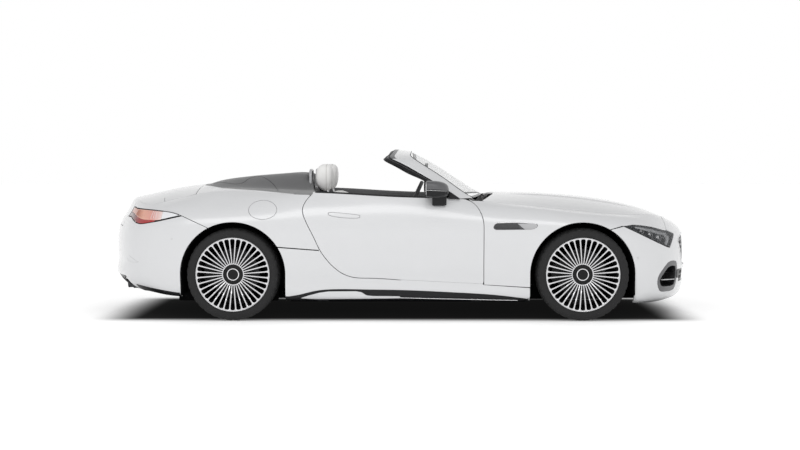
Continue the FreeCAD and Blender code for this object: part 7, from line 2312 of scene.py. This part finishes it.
def puff(ob, voxel=0.0085, pressure=4.0, cap=0.010, frames=18):
    m = ob.modifiers.new("even", "REMESH")
    m.mode = "VOXEL"
    m.voxel_size = voxel
    settled(ob)
    sm = ob.modifiers.new("soft", "SMOOTH")
    sm.factor = 0.6
    sm.iterations = 3
    settled(ob)
    sc = bpy.context.scene
    base = np.array([tuple(v.co) for v in ob.data.vertices])
    c = ob.modifiers.new("cloth", "CLOTH")
    s = c.settings
    s.quality = 4
    s.mass = 0.4
    s.tension_stiffness = s.compression_stiffness = 22.0
    s.shear_stiffness = 12.0
    s.bending_stiffness = 2.0
    s.use_pressure = True
    s.uniform_pressure_force = pressure
    s.effector_weights.gravity = 0.0
    c.collision_settings.use_collision = False
    c.collision_settings.use_self_collision = False
    c.point_cache.frame_start = 1
    c.point_cache.frame_end = frames
    for f in range(1, frames + 1):
        sc.frame_set(f)
    dg = bpy.context.evaluated_depsgraph_get()
    ev = ob.evaluated_get(dg)
    now = np.array([tuple(v.co) for v in ev.data.vertices])
    ob.modifiers.clear()
    d = now - base
    n = np.linalg.norm(d, axis=1, keepdims=True)
    d = d * np.minimum(1.0, cap / np.maximum(n, 1e-9))
    ob.data.vertices.foreach_set("co", (base + d).ravel())
    ob.data.update()
    sc.frame_set(1)
    ob.data.polygons.foreach_set("use_smooth", [True] * len(ob.data.polygons))
    return ob


def press(ob, fn):
    """Moves points along their normals by fn(x, y, z, n) millimetres."""
    me = ob.data
    co = np.array([tuple(v.co) for v in me.vertices]) * 1000
    nr = np.array([tuple(v.normal) for v in me.vertices])
    d = fn(co[:, 0], co[:, 1], co[:, 2], nr)
    me.vertices.foreach_set("co", ((co + nr * d[:, None]) * 0.001).ravel())
    me.update()


def onto(ob, pts, direction, lift=0.0):
    """Points thrown onto the piece along a direction."""
    t = BVHTree.FromPolygons([v.co for v in ob.data.vertices], [p.vertices[:] for p in ob.data.polygons])
    d = Vector(direction).normalized()
    out = []
    for p in pts:
        h = t.ray_cast(Vector(p) * 0.001 - d * 0.6, d)
        if h[0] is not None:
            out.append(np.array(tuple(h[0])) * 1000 + np.array(tuple(h[1])) * lift)
    return np.array(out)


def dip(v, width):
    """Soft groove profile: 1 in the middle, 0 at the width."""
    t = np.clip(np.abs(v) / width, 0, 1)
    return (1 - t * t) ** 2


def ring_back(z, xf, xb, w, b, k=56):
    xm = (xf + xb) / 2
    out = []
    for i in range(k):
        a = 2 * math.pi * i / k
        c, s = math.cos(a), math.sin(a)
        y = w * math.copysign(abs(c) ** 0.55, c)
        if s >= 0:
            x = xm + (xf - xm) * abs(s) ** 0.5 + b * (abs(y) / w) ** 3 * abs(s) ** 0.5
        else:
            x = xm - (xm - xb) * abs(s) ** 0.55
        out.append((x, y, z))
    return out


def interp_rows(rows, n):
    t = np.linspace(0, len(rows) - 1, n)
    cols = [pchip(list(range(len(rows))), [r[c] for r in rows]) for c in range(len(rows[0]))]
    return [[f(u) for f in cols] for u in t]


BACK = [(498, -352, -470, 196, 10), (512, -330, -482, 224, 30), (560, -318, -500, 248, 46), (640, -322, -528, 258, 54), (740, -350, -560, 260, 54), (820, -380, -584, 258, 50), (880, -402, -600, 248, 42), (925, -422, -608, 230, 28), (955, -440, -612, 204, 14), (972, -464, -604, 166, 5)]
HEAD = [(994, -582, -612, 66, 0), (1004, -566, -632, 96, 0), (1028, -550, -656, 122, 3), (1062, -541, -672, 137, 6), (1100, -537, -678, 142, 8), (1140, -537, -674, 138, 7), (1175, -543, -660, 126, 5), (1197, -555, -642, 104, 3), (1209, -572, -624, 74, 0)]


def seat_parts():
    back = loft_mesh("seat_left.back", [ring_back(*r) for r in interp_rows(BACK, 34)], [M_LEATHER], True, True, 60)
    head = loft_mesh("seat_left.headrest", [ring_back(*r) for r in interp_rows(HEAD, 26)], [M_LEATHER], True, True, 60)
    rows = [(-398, 352, 470, 206, 6), (-384, 346, 494, 232, 16), (-330, 342, 512, 248, 34), (-220, 340, 526, 254, 46), (-100, 340, 538, 256, 46), (0, 342, 552, 254, 34), (58, 350, 556, 246, 18), (90, 372, 545, 230, 8), (104, 400, 520, 206, 0)]
    rings = []
    for x, z0, z1, w, b in interp_rows(rows, 34):
        zm = (z0 + z1) / 2
        r = []
        for i in range(56):
            a = 2 * math.pi * i / 56
            c, s = math.cos(a), math.sin(a)
            y = w * math.copysign(abs(c) ** 0.5, c)
            if s >= 0:
                z = zm + (z1 - zm) * abs(s) ** 0.5 + b * (abs(y) / w) ** 3 * abs(s) ** 0.5
            else:
                z = zm - (zm - z0) * abs(s) ** 0.4
            r.append((x, y, z))
        rings.append(r)
    cush = loft_mesh("seat_left.cushion", rings, [M_LEATHER], True, True, 60)
    for ob, cap in ((back, 0.009), (head, 0.005), (cush, 0.009)):
        puff(ob, cap=cap)
    # sewn channels and the seams beside the bolsters

    def back_fn(x, y, z, n):
        front = np.clip((n[:, 0] - 0.15) / 0.3, 0, 1)
        d = np.zeros(len(x))
        mid = (np.abs(y) < 148) & (z > 560) & (z < 915)
        ph = (z - 560) / 45.0
        d -= np.where(mid, dip((ph - np.round(ph)) * 45.0, 11) * 4.5, 0) * front
        d -= dip(np.abs(y) - 150, 12) * 6.0 * front * ((z > 530) & (z < 925))
        d -= dip(z - 920, 11) * 4 * front * (np.abs(y) < 150)
        return d

    def cush_fn(x, y, z, n):
        up = np.clip((n[:, 2] - 0.15) / 0.3, 0, 1)
        d = np.zeros(len(x))
        mid = (np.abs(y) < 148) & (x > -350) & (x < 40)
        ph = (x + 350) / 49.0
        d -= np.where(mid, dip((ph - np.round(ph)) * 49.0, 11) * 4.5, 0) * up
        d -= dip(np.abs(y) - 150, 12) * 6.0 * up * (x < 60)
        d -= dip(x - 44, 11) * 4 * up * (np.abs(y) < 150)
        return d

    def head_fn(x, y, z, n):
        side_ = np.abs(x + 585)
        return -dip(side_, 10) * 3.0
    press(back, back_fn)
    press(cush, cush_fn)
    press(head, head_fn)
    for o in (back, cush, head):
        sm = o.modifiers.new("soft", "SMOOTH")
        sm.factor = 0.4
        sm.iterations = 1
        settled(o)
        o.data.polygons.foreach_set("use_smooth", [True] * len(o.data.polygons))
    pip = []
    for s_ in (-1, 1):
        pb = onto(back, [(0, s_ * 150, z) for z in np.linspace(536, 918, 60)], (-1, 0, 0), 0.6)
        if len(pb) > 3:
            pip.append(sweep("p", pb, 2.0, [M_THREAD], n=6))
        pc_ = onto(cush, [(x, s_ * 150, 0) for x in np.linspace(-350, 44, 60)], (0, 0, -1), 0.6)
        if len(pc_) > 3:
            pip.append(sweep("p", pc_, 2.0, [M_THREAD], n=6))
    # piping round the headrest between its front pad and its shell
    loop = []
    for t in np.linspace(0, 2 * math.pi, 72, endpoint=False):
        d_ = np.array([0, -math.cos(t), -math.sin(t)])
        h = onto(head, [(-585, 0, 1104)], d_, 1.2)
        if len(h):
            loop.append(h[0])
    if len(loop) > 20:
        loop = np.array(loop)
        loop[:, 0] = -585
        pip.append(sweep("p", loop, 2.2, [M_THREAD], n=8, closed=True, up=(1, 0, 0)))
    piping = joined("seat_left.piping", pip)
    hard = []
    # backrest shell, headrest stays, base frame with rails, buckle and two chrome caps
    shell = [[(xb - 10 if s < 0 else xb + 14, y, z) for y, s in ((-w, 1), (-w * .97, -.2), (-w * .7, -1), (0, -1), (w * .7, -1), (w * .97, -.2), (w, 1), (w * .6, .6), (-w * .6, .6))] for z, xf, xb, w, b in [r for r in BACK[1:-1]]]
    hard.append(loft_mesh("s1", shell, [M_PLAST], True, True, 50))
    for s_ in (-1, 1):
        hard.append(sweep("s2", [(-566, s_ * 46, 940), (-594, s_ * 46, 1034)], 7, [M_CHROME], n=12))
        hard.append(slab("s3", "xz", round_rect(-380, 60, 300, 356, 16, 20), min(s_ * 232, s_ * 252), max(s_ * 232, s_ * 252), [M_PLAST], bevel=5))
        hard.append(slab("s4", "xz", round_rect(-390, 70, 184, 212, 6, 30), min(s_ * 172, s_ * 206), max(s_ * 172, s_ * 206), [M_CAST], bevel=3))
        for x in (-340, 0):
            hard.append(slab("s5", "xz", [(x, 210), (x + 44, 210), (x + 30, 306), (x - 14, 306)], min(s_ * 178, s_ * 200), max(s_ * 178, s_ * 200), [M_CAST], bevel=3))
    hard.append(slab("s6", "yz", round_rect(-262, -236, 500, 580, 8, 8), -300, -276, [M_BLACK], bevel=4))
    hard.append(slab("s7", "yz", round_rect(-259, -239, 574, 586, 4, 6), -298, -280, [M_RED], bevel=2))
    for s_ in (-1, 1):
        hard.append(lathe("s8", [(0, 0.01), (0, 24), (6, 23), (8, 20), (8.5, .01)], (-455, s_ * 262, 520), (0, s_, 0), [M_CHROME], n=32, closed=False))
    frame_ = joined("seat_left.frame", hard)
    return back, head, cush, piping, frame_


seat_l = list(seat_parts())
for o in seat_l:
    o.data.transform(Matrix.Translation((0, 0.370, 0)))
seat_r = [mirrored(o, o.name.replace("_left", "_right")) for o in seat_l]

# belt webbing: from the guide behind the shoulder down to the sill anchor
bl = []
for s_ in (-1, 1):
    g0 = np.array([-655, s_ * 640.0, 948.0])
    path = np.array([g0, g0 + [4, s_ * 10, -60], g0 + [18, s_ * 30, -220], g0 + [40, s_ * 44, -420], g0 + [60, s_ * 50, -600]])
    t = chord([tuple(p) for p in path])
    f = [natural(t, [p[c] for p in path]) for c in range(3)]
    P = np.array([[g(t[-1] * i / 39) for g in f] for i in range(40)])
    rings = [[p + np.array([dx, dy * s_, 0]) for dx, dy in ((-23.5, -.3), (-23.0, .7), (-12, 1.0), (0, .8), (12, 1.0), (23.0, .7), (23.5, -.3), (23, -1.0), (12, -.8), (0, -1.0), (-12, -.8), (-23, -1.0))] for p in P]
    bl.append(loft_mesh("bw", rings, [M_LINER], True, True, 50))
webbing = joined("belts.webbing", bl)
gd = []
for s_ in (-1, 1):
    gd.append(slab("g1", "xz", round_rect(-684, -626, 936, 972, 12, 10), min(s_ * 628, s_ * 654), max(s_ * 628, s_ * 654), [M_PLAST], bevel=6))
    gd.append(slab("g2", "xz", round_rect(-622, -560, 330, 366, 8, 10), min(s_ * 676, s_ * 704), max(s_ * 676, s_ * 704), [M_PLAST], bevel=5))
guides = joined("belts.guides", gd)
# ---------------------------------------------------------------- exhaust: silencer, baffles and pipes
ex_ = [slab("e1", "xz", round_rect(-2112, -1845, 216, 334, 40, 8), -415, 415, [M_STEEL], bevel=10)]
for x in (-2060, -1980, -1900):
    ex_.append(slab("e2", "yz", round_rect(-418, 418, 213, 337, 40, 16), x - 4, x + 4, [M_CAST], bevel=2))
for y_, z_ in TIPS:
    for s_ in (1, -1):
        xt = -2165 + (y_ - 488) * 0.6
        run = [(xt + 118, s_ * y_, z_), (xt + 150, s_ * y_, z_), (-1996, s_ * (y_ - 26), z_), (-1980, s_ * 440, 262), (-1976, s_ * 400, 262)]
        ex_.append(sweep("e3", [tuple(p) for p in np.stack([[natural([0, 1, 2, 3, 4], [q[c] for q in run])(t) for t in np.linspace(0, 4, 26)] for c in range(3)], -1)], 24, [M_STEEL], n=20))
for s_ in (1, -1):
    ex_.append(sweep("e4", [(-1850, s_ * 60, 262), (-1780, s_ * 60, 262), (-1700, s_ * 60, 260), (-1620, s_ * 60, 248), (-1562, s_ * 60, 235)], 27, [M_STEEL], n=20))
silencer = joined("exhaust.silencer", ex_)

# ---------------------------------------------------------------- bonnet and boot linings, and the boot lid's arms
def low_bonnet(x, y):
    return bonnet_look(x, y) - 14.5


bl_out = even(shrink(bonnet_out, 44), 26)
b_holes = []
for x0_, x1_, y0_, y1_ in ((1180, 1560, 60, 300), (1620, 1980, 50, 240), (860, 1110, 80, 420)):
    for s_ in (1, -1):
        b_holes.append(np.array(round_rect(x0_, x1_, min(s_ * y0_, s_ * y1_), max(s_ * y0_, s_ * y1_), 30, 20)))
bonnet_in = panel("bonnet.frame", height_surf(low_bonnet), bl_out, b_holes, t=5, r=1.5, gap=30, mats=[M_JAMB])
bonnet_pad = panel("bonnet.mat", height_surf(lambda x, y: low_bonnet(x, y) - 1.0), even(shrink(bonnet_out, 70), 34), [], t=3, r=1.0, gap=44, mats=[M_LINER])
boot_in = panel("boot_lid.lining", lifted(boot_surf, -12.6), even(shrink(boot_out, 34), 24), [], t=6, r=2.0, gap=26, mats=[M_CARPET])
hl = []
for s_ in (1, -1):
    hl.append(slab("h1", "xz", [(-1612, 962), (-1624, 972), (-1700, 962), (-1790, 942), (-1786, 926), (-1700, 940), (-1630, 942)], min(s_ * 556, s_ * 572), max(s_ * 556, s_ * 572), [M_JAMB], bevel=3))
boot_arms = joined("boot_lid.arms", hl)
bt = []
# boot floor lining with ribs, and its side nets' rails
bt.append(slab("t1", "xy", round_rect(-2048, -1652, -532, 532, 40, 20), 461, 467, [M_CARPET], bevel=2))
for y in (-300, 0, 300):
    bt.append(slab("t2", "xy", round_rect(-2040, -1660, y - 6, y + 6, 4, 20), 466, 471, [M_CAST], bevel=1.5))
rim_loop = [(x, y, 836) for x, y in round_rect(-2066, -1634, -551, 551, 40, 16)]
bt.append(sweep("t3", rim_loop, 6.5, [M_PLAST], n=10, closed=True))
boot_trim = joined("boot_tub.trim", bt)
# engine: covers, rocker lids and ribs on the plain block
eg = []
for s_ in (1, -1):
    eg.append(slab("g1", "xy", round_rect(880, 1280, min(s_ * 150, s_ * 276), max(s_ * 150, s_ * 276), 26, 14), 788, 806, [M_CAST], bevel=6))
    for k in range(5):
        eg.append(slab("g2", "xy", round_rect(905 + 75 * k, 945 + 75 * k, min(s_ * 168, s_ * 258), max(s_ * 168, s_ * 258), 8, 10), 804, 811, [M_GREY], bevel=2))
eg.append(slab("g3", "xy", round_rect(890, 1290, -128, 128, 40, 14), 788, 822, [M_PLAST], bevel=8))
for k in range(7):
    eg.append(sweep("g4", [(920 + 55 * k, -104, 823), (920 + 55 * k, 104, 823)], 4.5, [M_GREY], n=8))
eg.append(slab("g5", "xy", round_rect(1310, 1490, -236, 236, 30, 14), 718, 738, [M_CAST], bevel=6))
engine_top = joined("engine_block.covers", eg)

# ---------------------------------------------------------------- what is kept of the CAD pieces gets its own material
CAD_LOOK = {
    "floor_tub": M_CARPET, "undertray": M_LINER, "boot_tub": M_LINER, "engine_block": M_CAST, "front_wheel_liners": M_LINER, "rear_wheel_liners": M_LINER,
    "front_suspension": M_CAST, "rear_suspension": M_CAST, "front_knuckle_left": M_CAST, "front_knuckle_right": M_CAST,
}
for name, look in CAD_LOOK.items():
    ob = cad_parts[name]
    if not ob.material_slots:
        ob.data.materials.append(look)
    for sl_ in ob.material_slots:
        sl_.material = look

# ---------------------------------------------------------------- what each piece stands for and rides on
lights_and_camera()
for k, side_ in enumerate(("left", "right")):
    d_ = "door_" + side_
    on(d_, door_skin[k], handles[k], handle_back[k], belt[k], sail[k], mirror_pair[k], mir_glass[k], lining[0][k], lining[1][k], lining[2][k])
    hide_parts(d_)
    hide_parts("mirror_" + side_)
    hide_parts("front_fender_" + side_)
on("body", fender, quarter, quarter_r, sill, nose, tail, tonneau, wsf, glass, band, seal1, seal2, line1, rim1)
on("body", pocket_r, vent_dark, vent_light, vent_wall, vent_trim, sill_strip, blade, bright, sensors, lamp_cover, lamp_pair, tail_pair, mesh_g, mesh_l, g_wall, l_wall, g_rim, g_bars)
on("body", in_ring, duct, fins, valance, val_back, tips, silencer, plate, lowtrim, crease, cowl, cowl_back, wipers, boot_trim, engine_top, deck_corner, jambs, under_panels, liner_shade_plates, bridge, cover_lines)
on("body", dash, dash_trim, console, con_trim, column, pedals, floor_mats, bulk, trims, hoops, rview, rglass, visors, seat_l, seat_r, webbing, guides)
on("fuel_flap", flap, flap_in)
on("bonnet", bonnet, bonnet_in, bonnet_pad)
on("boot_lid", boot, boot_in, boot_arms, lid_shade_lines)
on("steering_wheel", steer)
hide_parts("windscreen_frame")
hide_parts("windscreen_glass")
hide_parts("rear_quarter_left")
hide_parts("rear_quarter_right")
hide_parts("fuel_flap")
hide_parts("sills")
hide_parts("front_bumper")
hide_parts("rear_bumper")
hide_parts("bonnet")
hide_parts("boot_lid")
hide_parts("tonneau_cover")
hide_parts("headlamps")
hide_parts("tail_lamps")
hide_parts("grille")
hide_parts("rear_valance")
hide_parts("exhaust")
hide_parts("scuttle_panel")
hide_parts("wipers")
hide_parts("dashboard")
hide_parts("centre_console")
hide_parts("steering_column")
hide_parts("steering_wheel")
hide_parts("roll_hoops")
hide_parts("seat_left")
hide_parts("seat_right")
for seat in (seat_l, seat_r):
    for ob, fill in zip(seat[:3], (0.85, 0.9, 0.85)):
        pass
for slot_, obs in (("body_paint", door_skin + fender + sill + handles + blade + deck_corner + [quarter, quarter_r, flap, nose, tail, bonnet, boot, wsf]),
                   ("roof_cover", [tonneau]), ("glass", [glass]), ("lamp_glass", lamp_cover), ("red_lamp", [tail_lens, tail_pair[3]]), ("mirror", mir_glass + [rglass]),
                   ("leather_white", seat_l[:3] + seat_r[:3]), ("leather_black", [dash, console, steer, bulk]), ("chrome", [tips] + bright), ("black_trim", sill_strip + [valance, cowl])):
    for ob in obs:
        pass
